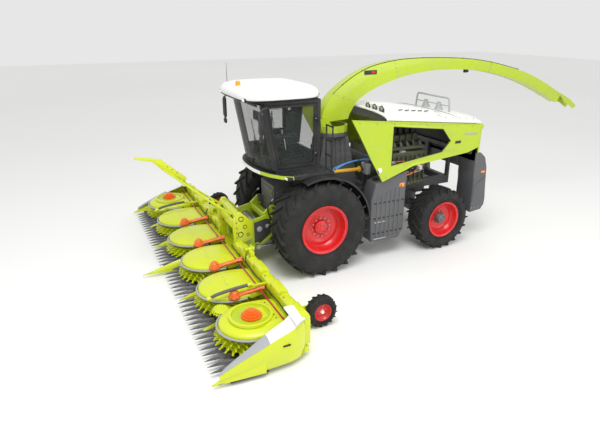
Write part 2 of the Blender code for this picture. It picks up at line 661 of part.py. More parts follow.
def cab():
    outer = loft([cab_ring(CAB_FLOOR_Z), cab_ring(CAB_TOP_Z)])
    room = loft([cab_ring(CAB_FLOOR_Z + 0.05, CAB_WALL), cab_ring(CAB_TOP_Z + 0.1, CAB_WALL)])
    half = CAB_HALF_WIDTH
    doorway = plate(door_outline(-SEAM), "X", half - 0.2, half + 0.2)
    low, high = CAB_FLOOR_Z + 0.30, CAB_TOP_Z - 0.09
    side = [(CAB_REAR - 0.10, low), (front_line(low) + 0.10, low), (front_line(high) + 0.10, high),
            (CAB_REAR - 0.10, high)]
    side_window = plate(side, "X", -half - 0.2, -half + 0.2)
    rear_window = box((-half + 0.10, half - 0.10), (CAB_REAR - 0.2, CAB_REAR + 0.2), (low, high))
    foot, head = CAB_FLOOR_Z + 0.08, CAB_TOP_Z - 0.06
    def opening(z):
        front = front_line(z)
        return [(-half + 0.085, front + 0.35, z), (-half + 0.085, front - 0.5, z),
                (half - 0.085, front - 0.5, z), (half - 0.085, front + 0.35, z)]
    screen = loft([opening(foot), opening(head)])
    cuts = [room, doorway, side_window, rear_window, screen]
    fuse("cab_frame", "dark_plastic", [outer] + door_hinge_pins(), cuts)
    # bonded glass lies on the outside of the frame
    def bow(z, ahead):
        return [(x, y - ahead, z) for x, y in cab_plan(z)[1:-1]]
    foot, head = CAB_FLOOR_Z + 0.03, CAB_TOP_Z - 0.03
    rings = [bow(z, GAP + GLASS) + bow(z, GAP)[::-1] for z in (foot, head)]
    fuse("windscreen", "tinted_glass", [loft(rings)])
    low, high = CAB_FLOOR_Z + 0.26, CAB_TOP_Z - 0.05
    pane = [(CAB_REAR + GAP, low), (front_line(low) + 0.05, low), (front_line(high) + 0.08, high),
            (CAB_REAR + GAP, high)]
    right = plate(pane, "X", -half - GAP - GLASS, -half - GAP)
    rear = box((-half - GAP - GLASS, half - 0.04), (CAB_REAR + GAP, CAB_REAR + GAP + GLASS), (low, high))
    fuse("cab_side_glass", "tinted_glass", [rear, right])
    # door, hung on the rear post
    hinge = joint_axis("cab_door_hinge", (*door_axis(), CAB_FLOOR_Z + CAB_HEIGHT / 2))
    skin = plate(door_outline(0), "X", half - 0.05, half)
    light = plate(door_outline(0.055), "X", half - 0.2, half + 0.2)
    arms, holes = [], []
    for z in DOOR_HINGES_Z:
        at = (hinge.location.x, hinge.location.y, z)
        arms.append(turned([(0, GAP), (0.014, GAP), (0.014, 0.055), (0, 0.055)], at, "Z", sides=8))
        arms.append(box((half - 0.02, half + 0.024), (at[1] - 0.07, at[1] - 0.012), (z + 0.005, z + 0.055)))
        arms.append(box((half + 0.004, half + 0.024), (at[1] - 0.07, at[1]), (z + 0.005, z + 0.055)))
        holes.append(pin(at, 0.1, DOOR_PIN + GAP, "Z"))
    fuse("cab_door", "dark_plastic", [skin] + arms, [light] + holes, pivot=hinge)
    pane = plate(door_outline(0.055 + GAP), "X", half - 0.03, half - 0.03 + GLASS)
    fuse("cab_door_glass", "tinted_glass", [pane], pivot=hinge)
    # roof
    levels = [(CAB_TOP_Z + GAP, 0.93), (CAB_TOP_Z + 0.03, 0.99), (CAB_TOP_Z + 0.12, 1.0),
              (CAB_TOP_Z + 0.20, 0.93),
              (CAB_TOP_Z + 0.26, 0.76), (CAB_TOP_Z + 0.285, 0.45)]
    back, front = CAB_REAR + 0.06, front_line(CAB_TOP_Z) - BULGE - 0.20
    rings = []
    for z, share in levels:
        middle = (back + front) / 2
        length = (back - front) / 2 * share
        rings.append([(x, y, z) for x,
                      y in rounded((half + 0.15) * share, (middle - length, middle + length), 4.5, 28)])
    fuse("cab_roof", "white_paint", [loft(rings)])


def cab_fittings():
    floor = CAB_FLOOR_Z + 0.05 + GAP
    seat_y = -0.28
    base = box((-0.20, 0.20), (seat_y - 0.20, seat_y + 0.20), (floor, floor + 0.34))
    cushion = box((-0.26, 0.26), (seat_y - 0.28, seat_y + 0.24), (floor + 0.33, floor + 0.48))
    back = [(seat_y + 0.14, floor + 0.40), (seat_y + 0.28, floor + 0.40), (seat_y + 0.36, floor + 1.12),
            (seat_y + 0.26, floor + 1.14)]
    pieces = [base, cushion, plate(back, "X", -0.25, 0.25)]
    pieces.append(box((-0.46, -0.25), (seat_y - 0.40, seat_y + 0.12), (floor + 0.44, floor + 0.58)))
    pieces.append(box((-0.44, -0.38), (seat_y - 0.36, seat_y - 0.30), (floor + 0.56, floor + 0.72)))
    fuse("driver_seat", "seat_fabric", pieces)
    foot_y = -0.82
    top = Vector((0, foot_y + 0.16, floor + 0.62))
    tilt = Matrix.Rotation(math.radians(-20), 4, "X")
    column = rod((0, foot_y, floor + 0.02), top + Vector((0, 0.008, 0.03)), 0.045, 10)
    rim = []
    for i in range(20):
        a = 2 * math.pi * i / 20
        rim.append(top + tilt @ Vector((0.19 * math.cos(a), 0.19 * math.sin(a), 0.02)))
    faces, points = [], []
    for i, p in enumerate(rim):
        out = (p - top).normalized() * 0.016
        up = tilt @ Vector((0, 0, 0.016))
        points += [p + out, p + up, p - out, p - up]
    for i in range(20):
        j = (i + 1) % 20
        for k in range(4):
            n = (k + 1) % 4
            faces.append([4 * i + k, 4 * i + n, 4 * j + n, 4 * j + k])
    spokes = [rod(top + tilt @ Vector((-0.19, 0, 0.02)), top + tilt @ Vector((0.19, 0, 0.02)), 0.014, 6)]
    pedestal = box((-0.09, 0.09), (foot_y - 0.06, foot_y + 0.10), (floor, floor + 0.06))
    fuse("steering_column", "dark_plastic", [pedestal, column, shell(points, faces)] + spokes)


def mirrors():
    for side in (1, -1):
        x = side * 1.10
        y = front_line(CAB_TOP_Z) - 0.12
        head = [(x - 0.10, y - 0.04), (x + 0.10, y - 0.04), (x + 0.09, y + 0.04), (x - 0.09, y + 0.04)]
        body = plate(head, "Z", 2.86, 3.44)
        foot = box(span(side, CAB_HALF_WIDTH + GAP, CAB_HALF_WIDTH + 0.03), (y + 0.13, y + 0.19),
                   (3.46, 3.52))
        arm = tube([(side * (CAB_HALF_WIDTH + 0.01), y + 0.16, 3.49), (x, y + 0.12, 3.49), (x, y, 3.46),
                    (x, y, 3.36)], 0.018)
        fuse("mirror_" + side_name(side), "dark_plastic", [body, arm, foot])


# ---- drive line, on the left of the drum ----


def belt_drive():
    x = RAIL_X[1] + 0.02
    pulleys = [turned([(0, 0), (r, 0), (r, 0.09), (0, 0.09)], (x, y, z), sides=20) for y, z,
               r in BELT_PULLEYS]
    (y0, z0, r0), _, (y1, z1, r1) = BELT_PULLEYS
    run = math.atan2(z1 - z0, y1 - y0)
    up = (-math.sin(run), math.cos(run))
    corners = [(y0 + up[0] * r0 * 0.97, z0 + up[1] * r0 * 0.97),
               (y1 + up[0] * r1 * 0.97, z1 + up[1] * r1 * 0.97),
               (y1 - up[0] * r1 * 0.97, z1 - up[1] * r1 * 0.97),
               (y0 - up[0] * r0 * 0.97, z0 - up[1] * r0 * 0.97)]
    belt = plate(corners, "X", x + 0.02, x + 0.07)
    shaft = rod((DRUM_SIDE_X + GAP, y0, z0), (x + 0.05, y0, z0), 0.06, 10)
    fuse("main_belt_drive", "bare_steel", pulleys + [belt, shaft])


def cardan(path, radius):
    """A cardan shaft: a bar with a thicker joint at each point of its path."""
    return [tube(path, radius)] + [ball(point, radius * 1.9) for point in path]


def ball_reach(radius):
    """How far a shaft's joint reaches past its centre, along the vehicle."""
    return 1.9 * radius * math.cos(math.pi / 5)


def ball(centre, radius):
    profile = [(radius * math.sin(math.pi * i / 5), -radius * math.cos(math.pi * i / 5)) for i in range(1, 5)]
    return turned([(0, profile[0][1])] + profile + [(0, profile[-1][1])], centre, "Y", sides=10)


def shafts_and_pumps():
    """Cardan shafts along the left side: one up to the pumps, one down to the header's gearbox."""
    fuse("upper_driveshaft", "yellow_paint", cardan(UPPER_DRIVE, UPPER_SHAFT))
    fuse("lower_driveshaft", "orange_paint", cardan(LOWER_DRIVE, LOWER_SHAFT))
    x, y, z = UPPER_DRIVE[-1]
    front = y + ball_reach(UPPER_SHAFT) + GAP
    pump = [box((x - 0.11, x + 0.13), (front, front + 0.34), (z - 0.12, z + 0.12))]
    pump.append(turned([(0, 0), (0.06, 0), (0.06, 0.10), (0, 0.10)], (x, front + 0.07, z + 0.10), "Z"))
    pump.append(box((x, x + 0.34), (front + 0.24, front + 0.42), (z + 0.04, z + 0.13)))
    hoop_y = HOOD_TOP_Y + 0.04
    pump.append(box((RAIL_X[1] + GAP, x - 0.10), (hoop_y, hoop_y + 0.06), (z - 0.10, z + 0.02)))
    fuse("hydraulic_pumps", "cast_steel", pump)


# ---- spout ----


def spout_lines():
    """The duct's outer and inner curve in side view, from the turret to the tip."""
    outer = [(0.52, 2.93), (0.60, 3.22), (0.84, 3.52), (1.19, 3.78), (1.55, 3.97), (1.94, 4.09), (2.60, 4.18),
             (3.45, 4.19), (4.35, 4.15), (5.05, 4.07), (5.68, 3.95), (6.45, 3.76), (7.20, 3.48), (7.95, 3.13)]
    inner = [(1.20, 2.97), (1.25, 3.12), (1.40, 3.33), (1.62, 3.48), (1.88, 3.60), (2.17, 3.70), (2.68, 3.83),
             (3.47, 3.92), (4.33, 3.91), (4.98, 3.84), (5.58, 3.73), (6.32, 3.53), (7.06, 3.25), (7.82, 2.90)]
    reach = SPOUT_REACH / 7.90
    def stretched(line):
        return [(TURRET.y + (y - TURRET.y) * (reach if y > 2.2 else 1), z) for y, z in line]
    return stretched(outer), stretched(inner)


def duct_ring(outer, inner, half, wall=0.0):
    top, low = Vector((0, *outer)), Vector((0, *inner))
    depth = (top - low).normalized() * wall
    top, low = top - depth, low + depth
    half -= wall
    return [(-half, top.y, top.z), (half, top.y, top.z), (half, low.y, low.z), (-half, low.y, low.z)]


def spout():
    turn = joint_axis("spout_turn", TURRET)
    outer_line, inner_line = spout_lines()
    half = SPOUT_WIDTH / 2
    ring = turned([(TURRET_RADIUS - 0.06, GAP), (TURRET_RADIUS, GAP), (TURRET_RADIUS, TURRET_HEIGHT),
                   (TURRET_RADIUS - 0.06, TURRET_HEIGHT)], TURRET, "Z", sides=24)
    y, z = SPOUT_PIVOT.y, SPOUT_PIVOT.z
    ears = []
    base = TURRET.z + 0.04
    for side in (1, -1):
        outline = [(y - 0.03, base), (y + 0.30, base), (y + 0.12, z + 0.03), (y + 0.02, z + 0.06),
                   (y - 0.06, z + 0.03)]
        ears.append(plate(outline, "X", *span(side, half + SEAM, half + 0.036)))
        ears.append(rod((side * (half + 0.02), y, z), (side * (half + GAP), y, z), 0.02, 8))
    spokes = [box((-half - 0.036, half + 0.036), (y + 0.02, y + 0.10), (base, base + 0.05))]
    fuse("spout_turret", "lime_paint", [ring] + ears + spokes, pivot=turn)
    lift = joint_axis("spout_lift", SPOUT_PIVOT)
    last = len(outer_line) - 1
    rings, holes = [], []
    for i, (a, b) in enumerate(zip(outer_line, inner_line)):
        width = half * (1 - SPOUT_TAPER * max(0, i - 2) / (last - 2))
        rings.append(duct_ring(a, b, width))
        holes.append(duct_ring(a, b, width, SPOUT_WALL))
    def beyond(ring, other, reach):
        return [tuple(Vector(p) + (Vector(p) - Vector(q)).normalized() * reach) for p, q in zip(ring, other)]
    holes = [beyond(holes[0], holes[1], 0.1)] + holes + [beyond(holes[-1], holes[-2], 0.1)]
    flap_half = half * (1 - SPOUT_TAPER) - 0.004
    top, before = Vector((0, *outer_line[-1])), Vector((0, *outer_line[-2]))
    ahead = (top - before).normalized()
    down = (Vector((0, *inner_line[-1])) - top).normalized()
    hinge = top + ahead * 0.025 + down * 0.035
    ears = []
    for side in (1, -1):
        corners = [top - ahead * 0.10 + down * 0.01, top + ahead * 0.05 + down * 0.015,
                   top + ahead * 0.05 + down * 0.06,
                   top - ahead * 0.10 + down * 0.12]
        ears.append(plate([(c.y, c.z) for c in corners], "X",
                          *span(side, flap_half + 0.002, flap_half + 0.016)))
        ears.append(rod((side * (flap_half + GAP), hinge.y, hinge.z),
                        (side * (flap_half + 0.010), hinge.y, hinge.z), 0.012, 8))
    fuse("spout_arm", "lime_paint", [loft(rings)] + ears, [loft(holes)], pivot=lift)
    flap = joint_axis("spout_flap_hinge", hinge)
    fuse("spout_flap", "lime_paint", [flap_channel(top, ahead, down, flap_half, 0)],
         [flap_channel(top, ahead, down, flap_half, SPOUT_WALL)], pivot=flap)


def flap_channel(top, ahead, down, half, wall):
    """The flap's outline, or with a wall the room inside it: a channel, open below and at both ends."""
    rings = []
    w = half - wall
    past = 0.2 if wall else 0       # how far the room runs past the channel's ends and its open side
    for along, sink, low_along, low, end in FLAP_RINGS:
        upper = top + ahead * (along + end * past) + down * (sink + wall)
        lower = top + ahead * (low_along + end * past) + down * (low + past)
        rings.append([(-w, upper.y, upper.z), (w, upper.y, upper.z), (w, lower.y, lower.z),
                      (-w, lower.y, lower.z)])
    return loft(rings)


# ---- feeder and header ----


def feeder():
    pivot = joint_axis("header_lift", FEEDER_PIVOT)
    w = FEEDER_HALF_WIDTH
    back, front = FEEDER_PIVOT.y - 0.02, HEADER_BEAM_Y[1] + GAP
    outline = [(back, 0.66), (back, 1.10), (back - 0.16, 1.15), (front, 1.02), (front, 0.44), (-1.05, 0.46)]
    case = plate(outline, "X", -w, w)
    throat = plate([(back + 0.1, 0.74), (back + 0.1, 1.04), (-0.94, 1.04), (-0.94, 1.40), (front - 0.1, 1.40),
                    (front - 0.1, 0.50), (-1.05, 0.52)], "X", -w + 0.04, w - 0.04)
    ears, holes = [], []
    for side in (1, -1):
        y, z = FEEDER_PIVOT.y, FEEDER_PIVOT.z
        lug = [(y - 0.30, 0.98), (y - 0.03, 0.98), (y + 0.06, z - 0.03), (y + 0.06, z + 0.03),
               (y + 0.02, z + 0.06),
               (y - 0.05, z + 0.06), (y - 0.30, 1.10)]
        ears.append(plate(lug, "X", *span(side, DRUM_SIDE_X + SEAM, DRUM_SIDE_X + SEAM + 0.06)))
        holes.append(pin((side * 0.4, y, z), 0.1, FEEDER_PIN + GAP))
        ears.append(box(span(side, w - 0.02, LIFT_X - 0.04), (-1.17, -1.09),
                        (LIFT_ROD_PIN[1] - 0.06, LIFT_ROD_PIN[1] + 0.06)))
        ears.append(pin((side * LIFT_X, *LIFT_ROD_PIN), 0.045, LIFT_PIN))
    fuse("feeder_house", "lime_paint", [case] + ears, [throat] + holes, pivot=pivot)
    for label, (y, z) in FEED_ROLLS.items():
        centre = (0, y, z)
        spin = joint_axis("feed_roll_spin_" + label, centre)
        half = w - 0.04 - GAP
        bar = turned([(0, -half), (0.04, -half), (0.04, -half + 0.02),
                      (FEED_ROLL_RADIUS - 0.03, -half + 0.02),
                      (FEED_ROLL_RADIUS - 0.03, half - 0.02), (0.04, half - 0.02), (0.04, half), (0, half)],
                     centre, sides=12)
        teeth = []
        for k in range(6):
            a = math.pi * k / 3
            out = Vector((0, math.cos(a), math.sin(a)))
            flank = Vector((0, -math.sin(a), math.cos(a))) * 0.012
            root, tip = Vector(centre) + out * 0.05, Vector(centre) + out * FEED_ROLL_RADIUS
            ring = [root - flank, root + flank, tip + flank * 0.5, tip - flank * 0.5]
            teeth.append(plate([(p.y, p.z) for p in ring], "X", -half + 0.03, half - 0.03))
        fuse("feed_roll_" + label, "blue_paint", [bar] + teeth, pivot=spin)
        spin.parent = pivot
        spin.location = Vector(centre) - Vector(pivot.location)
    return pivot


def lift_cylinders():
    """Each cylinder is pinned under the front axle; its rod's eye has room round the feeder's pin."""
    y0, z = LIFT_BARREL_PIN
    y1 = LIFT_ROD_PIN[0]
    for side in (1, -1):
        label = side_name(side)
        x = side * LIFT_X
        eye = [(0, -0.035), (0.05, -0.035), (0.05, 0.035), (0, 0.035)]
        swing = joint_axis("lift_barrel_swing_" + label, (x, y0, z))
        tube_body = turned([(0, y1 + 0.40), (0.05, y1 + 0.40), (0.05, y0 - 0.03), (0, y0 - 0.03)], (x, 0, z),
                           "Y", sides=12)
        bore = turned([(0, y1 + 0.30), (LIFT_ROD + GAP, y1 + 0.30), (LIFT_ROD + GAP, y0 - 0.12),
                       (0, y0 - 0.12)],
                      (x, 0, z), "Y", sides=12)
        pin_hole = pin((x, y0, z), 0.1, LIFT_PIN + GAP)
        fuse("lift_barrel_" + label, "dark_plastic", [tube_body, turned(eye, (x, y0, z), sides=12)],
             [bore, pin_hole], pivot=swing)
        slide = joint_axis("lift_rod_slide_" + label, (x, y1, z))
        stem = turned([(0, y1 + 0.03), (LIFT_ROD, y1 + 0.03), (LIFT_ROD, y0 - 0.26), (0, y0 - 0.26)],
                      (x, 0, z), "Y", sides=12)
        free_hole = pin((x, y1, z), 0.1, LIFT_PIN + LIFT_PLAY)
        fuse("lift_rod_" + label, "bare_steel", [turned(eye, (x, y1, z), sides=12), stem], [free_hole],
             pivot=slide)


def lobe_outline(x, y_back, half, nose):
    """A rotor's cover in plan: straight sides and a round nose."""
    side_y = nose + half
    nose_points = [(x + half * math.cos(math.radians(a)), side_y + half * math.sin(math.radians(a)))
                   for a in range(180, 361, 20)]
    return [(x - half, y_back)] + nose_points + [(x + half, y_back)]


def cover(x):
    """A crowned cover over one rotor, higher at its back."""
    half = ROTOR_PITCH / 2 - 0.06
    nose = HEADER_ROTOR_Y - ROTOR_RADIUS + 0.03
    back = HEADER_BEAM_Y[0] + 0.02
    plan = lobe_outline(x, back, half, nose)
    middle = (x, (nose + back) / 2)
    low = [(px, py, COVER_Z[0]) for px, py in plan]
    rim = [(px, py, COVER_Z[0] + 0.05) for px, py in plan]
    crown = []
    for px, py in plan:
        cx = middle[0] + 0.72 * (px - middle[0])
        cy = back + 0.72 * (py - back)
        crown.append((cx, cy, COVER_Z[1]))
    return loft([low, rim, crown])


def finger_comb(x0, x1):
    """Pointed lifters along a section's front edge, as one zigzag plate."""
    pitch = ROTOR_PITCH / 7
    count = max(1, round((x1 - x0) / pitch))
    step = (x1 - x0) / count
    root, tip = HEADER_ROTOR_Y - 0.42, HEADER_ROTOR_Y - 0.82
    outline = [(x1, root + 0.30), (x0, root + 0.30)]
    for i in range(count):
        left = x0 + i * step
        outline += [(left + 0.012, root), (left + step / 2 - 0.012, tip), (left + step / 2 + 0.012, tip),
                    (left + step - 0.012, root)]
    return plate(outline, "Z", TROUGH_Z[0] - 0.03, TROUGH_Z[0] + 0.02)


def divider(x, tip_y, half, top):
    """A long pointed crop divider."""
    back = HEADER_ROTOR_Y - 0.50
    low = TROUGH_Z[0] - 0.04
    return loft([
        [(x - half, back, low), (x + half, back, low), (x + half, back, top - 0.06), (x, back, top),
         (x - half, back, top - 0.06)],
        [(x - 0.012, tip_y, low + 0.02), (x + 0.012, tip_y, low + 0.02), (x + 0.012, tip_y, low + 0.04),
         (x, tip_y, low + 0.045),
         (x - 0.012, tip_y, low + 0.04)],
    ])


def header_section(x0, x1, rotors):
    """What each of the three sections has: rear beam, floor, finger comb and rotor covers."""
    y0, y1 = HEADER_BEAM_Y
    pieces = [box((x0, x1), (y0, y1), HEADER_BEAM_Z)]
    pieces.append(box((x0, x1), (HEADER_ROTOR_Y - 0.14, y1 - 0.01), TROUGH_Z))
    pieces.append(finger_comb(x0, x1))
    for x in rotors:
        pieces.append(cover(x))
        shaft = [(0, TROUGH_Z[0] + 0.02), (0.30, TROUGH_Z[0] + 0.02), (0.30, TROUGH_Z[1]),
                 (ROTOR_SHAFT, TROUGH_Z[1]),
                 (ROTOR_SHAFT, COVER_Z[0] + 0.03), (0, COVER_Z[0] + 0.03)]
        pieces.append(turned(shaft, (x, HEADER_ROTOR_Y, 0), "Z", sides=32))
    return pieces


def centre_section():
    """The pieces of the header's middle, and the mouth that is cut through them."""
    centre_x = SECTION_HALF - SEAM / 2
    near = [ROTOR_PITCH / 2 * side for side in (1, -1)]
    pieces = header_section(-centre_x, centre_x, near)
    y0, y1 = HEADER_BEAM_Y
    for side in (1, -1):
        x = span(side, FEEDER_HALF_WIDTH + 0.02, FEEDER_HALF_WIDTH + 0.12)
        side_plate = [(y0, 0.70), (y0, 1.16), (y0 + 0.10, 1.34), (y1, 1.34), (y1 + 0.24, 1.10),
                      (y1 + 0.24, 0.70), (y1, 0.66)]
        pieces.append(plate(side_plate, "X", *x))
    pieces.append(box((-FEEDER_HALF_WIDTH - 0.05, FEEDER_HALF_WIDTH + 0.05), (y0 + 0.05, y1), (1.16, 1.30)))
    pieces.append(divider(0, HEADER_ROTOR_Y - 1.20, 0.07, 0.34))
    pieces.append(box((-0.06, 0.06), (HEADER_ROTOR_Y - 0.60, HEADER_ROTOR_Y - 0.10),
                      (TROUGH_Z[0] - 0.03, TROUGH_Z[1])))
    for side in (1, -1):
        hinge = (side * SECTION_HALF, 0, WING_HINGE_Z)
        lug_x = span(side, SECTION_HALF - 0.16, SECTION_HALF - 0.004)
        for a, b in ((y0, y0 + 0.04), (y1 - 0.04, y1)):
            pieces.append(turned([(0, a), (HINGE_BOSS, a), (HINGE_BOSS, b), (0, b)], hinge, "Y", sides=12))
            pieces.append(box(lug_x, (a, b), (HEADER_BEAM_Z[1] - 0.02, WING_HINGE_Z + 0.03)))
        pieces.append(pin((hinge[0], (y0 + y1) / 2, hinge[2]), (y1 - y0) / 2 - 0.02, HINGE_PIN, "Y"))
    # push bar: two converging tubes with a plate at the top
    knee = Vector((0, -2.87, 2.29))
    for side in (1, -1):
        pieces.append(tube([(side * 0.34, y0 + 0.08, 1.22), (side * 0.10, knee.y + 0.5, knee.z - 0.40),
                            (side * 0.045, knee.y, knee.z)], 0.024))
    wing = [(-2.45, 1.98), (-2.41, 2.06), (-2.86, 2.47), (-3.06, 2.52), (-3.36, 2.57), (-3.37, 2.53),
            (-3.06, 2.46), (-2.89, 2.27)]
    pieces.append(plate(wing, "X", -0.06, 0.06))
    mouth = box((-FEEDER_HALF_WIDTH + 0.03, FEEDER_HALF_WIDTH - 0.03), (y0 - 0.3, y1 + 0.3), (0.46, 0.98))
    return pieces, mouth


def build_header(lift):
    pieces, mouth = centre_section()
    fuse("header_centre", "header_paint", pieces, [mouth], pivot=lift)
    y0, y1 = HEADER_BEAM_Y
    first = SECTION_HALF + SEAM / 2
    last = ROTOR_PITCH * ROTORS / 2
    for side in (1, -1):
        fold = joint_axis("wing_fold_" + side_name(side), (side * SECTION_HALF, (y0 + y1) / 2, WING_HINGE_Z))
        x0, x1 = span(side, first, last)
        centres = [side * ROTOR_PITCH * k for k in (1.5, 2.5)]
        pieces = header_section(x0, x1, centres)
        end = [(y1, 0.30), (y1, 0.74), (y0 - 0.3, 0.80), (-2.40, 0.72), (-2.90, 0.34), (-3.12, 0.11),
               (-3.12, 0.07), (-2.40, 0.07), (y0, 0.16)]
        pieces.append(plate(end, "X", *span(side, last - 0.02, last + 0.19)))
        pieces.append(box(span(side, GAUGE_X - 0.20, GAUGE_X - 0.14), (y1 - 0.02, GAUGE_Y + 0.05),
                          (0.24, 0.34)))
        pieces.append(rod((side * (GAUGE_X - 0.17), GAUGE_Y, GAUGE_RADIUS),
                          (side * (GAUGE_X - GAUGE_WIDTH / 2 - GAP), GAUGE_Y, GAUGE_RADIUS), 0.035, 12))
        # hinge knuckle between the centre section's lugs
        a, b = y0 + 0.04 + SEAM, y1 - 0.04 - SEAM
        hinge = (side * SECTION_HALF, 0, WING_HINGE_Z)
        pieces.append(turned([(0, a), (HINGE_BOSS, a), (HINGE_BOSS, b), (0, b)], hinge, "Y", sides=12))
        pieces.append(box(span(side, first + 0.01, first + 0.16), (a, b),
                          (HEADER_BEAM_Z[1] - 0.05, WING_HINGE_Z)))
        hole = pin((hinge[0], (a + b) / 2, hinge[2]), 0.2, HINGE_PIN + GAP, "Y")
        fuse("header_wing_" + side_name(side), "header_paint", pieces, [hole], pivot=fold)
        for k in (1.5, 2.5):
            rotor(side * ROTOR_PITCH * k, side * (k + 0.5))
        rotor(side * ROTOR_PITCH / 2, side)
        centre = (side * GAUGE_X, GAUGE_Y, GAUGE_RADIUS)
        spin = joint_axis("gauge_wheel_spin_" + side_name(side), centre)
        half = GAUGE_WIDTH / 2
        profile = [(0, -half), (0.10, -half), (0.16, -half + 0.02), (0.24, -half),
                   (GAUGE_RADIUS, -half + 0.04), (GAUGE_RADIUS, half - 0.04),
                   (0.24, half), (0.16, half - 0.02), (0.15, half - 0.07), (0.05, half - 0.07),
                   (0.05, half - 0.02), (0, half - 0.02)]
        fuse("gauge_wheel_" + side_name(side), "tyre_rubber", [turned(profile, centre, side=side, sides=20)],
             pivot=spin)


def rotor(x, number):
    """A gathering rotor: two toothed plates on a drum, turning round its gearbox shaft."""
    label = side_name(number) + "_" + str(int(abs(number)))
    spin = joint_axis("rotor_spin_" + label, (x, HEADER_ROTOR_Y, 0))
    teeth = 16
    outline = []
    for i in range(teeth):
        for share, radius in ((0.0, 0.88), (0.6, 1.0)):
            a = 2 * math.pi * (i + share) / teeth
            outline.append((x + radius * ROTOR_RADIUS * math.cos(a),
                            HEADER_ROTOR_Y + radius * ROTOR_RADIUS * math.sin(a)))
    plates = [plate(outline, "Z", ROTOR_Z[0], ROTOR_Z[0] + 0.02)]
    drum = turned([(0, ROTOR_Z[0]), (0.44, ROTOR_Z[0]), (0.40, ROTOR_Z[1]), (0, ROTOR_Z[1])],
                  (x, HEADER_ROTOR_Y, 0), "Z", sides=20)
    hole = ROTOR_SHAFT + GAP
    bore = turned([(0, 0), (hole, 0), (hole, 1), (0, 1)], (x, HEADER_ROTOR_Y, 0), "Z", sides=32)
    fuse("rotor_" + label, "header_paint", [drum] + plates, [bore], pivot=spin)


def centre_on_box():
    """Moves the whole vehicle along Y so that its own box is centred on the origin."""
    bpy.context.view_layer.update()
    ends = []
    for item in bpy.context.scene.objects:
        if item.type == "MESH":
            ends += [(item.matrix_world @ Vector(corner)).y for corner in item.bound_box]
    middle = (min(ends) + max(ends)) / 2
    for item in bpy.context.scene.objects:
        if item.parent is None:
            item.location.y -= middle
    bpy.context.view_layer.update()


clear_scene()
bpy.context.scene.collection.children.link(helpers)
front_wheels_and_axle()
rear_wheels_and_axle()
chassis()
engine()
hood()
air_intake()
side_panels()
rear_end()
side_boxes()
drum_and_tower()
deck_and_fenders()
cab()
cab_fittings()
mirrors()
belt_drive()
shafts_and_pumps()
spout()
header_lift = feeder()
build_header(header_lift)
lift_cylinders()
bpy.data.collections.remove(helpers)
centre_on_box()
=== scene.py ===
import json
import math

import bmesh
import bpy
from mathutils import Matrix, Vector


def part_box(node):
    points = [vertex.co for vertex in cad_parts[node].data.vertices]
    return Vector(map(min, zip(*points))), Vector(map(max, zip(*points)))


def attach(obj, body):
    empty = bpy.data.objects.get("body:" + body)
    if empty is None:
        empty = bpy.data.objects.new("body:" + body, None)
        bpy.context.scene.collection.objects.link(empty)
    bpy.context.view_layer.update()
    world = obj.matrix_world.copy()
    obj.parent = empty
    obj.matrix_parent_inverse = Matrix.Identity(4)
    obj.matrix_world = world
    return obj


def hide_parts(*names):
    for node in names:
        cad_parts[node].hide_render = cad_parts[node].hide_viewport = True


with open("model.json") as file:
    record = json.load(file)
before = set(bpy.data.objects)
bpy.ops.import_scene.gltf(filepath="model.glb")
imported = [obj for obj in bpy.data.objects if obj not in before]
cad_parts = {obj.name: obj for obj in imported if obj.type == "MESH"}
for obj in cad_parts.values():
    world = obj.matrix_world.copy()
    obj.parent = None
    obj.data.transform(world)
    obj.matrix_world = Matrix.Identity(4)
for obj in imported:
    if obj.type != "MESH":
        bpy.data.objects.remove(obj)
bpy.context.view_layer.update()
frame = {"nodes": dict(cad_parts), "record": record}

nodes = frame["nodes"]
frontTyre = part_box("front_wheel_left_tyre")
axleY = (frontTyre[0].y + frontTyre[1].y) / 2  # everything below is measured from the front axle


# helpers: meshes

def here(x, y, z):
    return Vector((x, y + axleY, z))


def addFaces(bm, points, faces, slot=0):
    made = [bm.verts.new(p) for p in points]
    out = []
    for face in faces:
        corners = [made[i] for i in face]
        if len(set(corners)) > 2:
            f = bm.faces.new(corners)
            f.material_index = slot
            f.smooth = True
            out.append(f)
    return made, out


def addLoft(bm, rings, slot=0, closed=True, caps=True):
    count = len(rings[0])
    points = [p for ring in rings for p in ring]
    faces = []
    turns = count if closed else count - 1
    for r in range(len(rings) - 1):
        for i in range(turns):
            j = (i + 1) % count
            faces.append((r * count + i, r * count + j, (r + 1) * count + j, (r + 1) * count + i))
    if caps and closed:
        faces.append(tuple(reversed(range(count))))
        faces.append(tuple((len(rings) - 1) * count + i for i in range(count)))
    return addFaces(bm, points, faces, slot)


def onAxis(axis, u, v, w):
    # u and v lie across the axis, w along it
    if axis == "X":
        return Vector((w, u, v))
    if axis == "Y":
        return Vector((u, w, v))
    return Vector((u, v, w))


def addPrism(bm, outline, axis, start, end, slot=0, bevel=0.0, segments=2):
    rings = [[onAxis(axis, u, v, w) + (here(0, 0, 0) if axis != "Y" else Vector()) for u,
        v in outline] for w in (start, end)]
    if axis == "Y":
        rings = [[onAxis(axis, u, v, w + axleY) for u, v in outline] for w in (start, end)]
    made, faces = addLoft(bm, rings, slot)
    if bevel:
        bevelNew(bm, made, faces, bevel, segments)
    return made


def addBox(bm, x, y, z, slot=0, bevel=0.004, segments=2):
    outline = [(x[0], y[0]), (x[1], y[0]), (x[1], y[1]), (x[0], y[1])]
    return addPrism(bm, outline, "Z", z[0], z[1], slot, bevel, segments)


def bevelNew(bm, made, faces, width, segments=2, angle=25):
    bmesh.ops.recalc_face_normals(bm, faces=faces)
    edges = {e for f in faces for e in f.edges}
    sharp = [e for e in edges if len(e.link_faces) == 2 and e.calc_face_angle(0) > math.radians(angle)]
    bmesh.ops.bevel(bm, geom=sharp, offset=width, segments=segments, profile=0.5, affect="EDGES",
        clamp_overlap=True, material=-1)


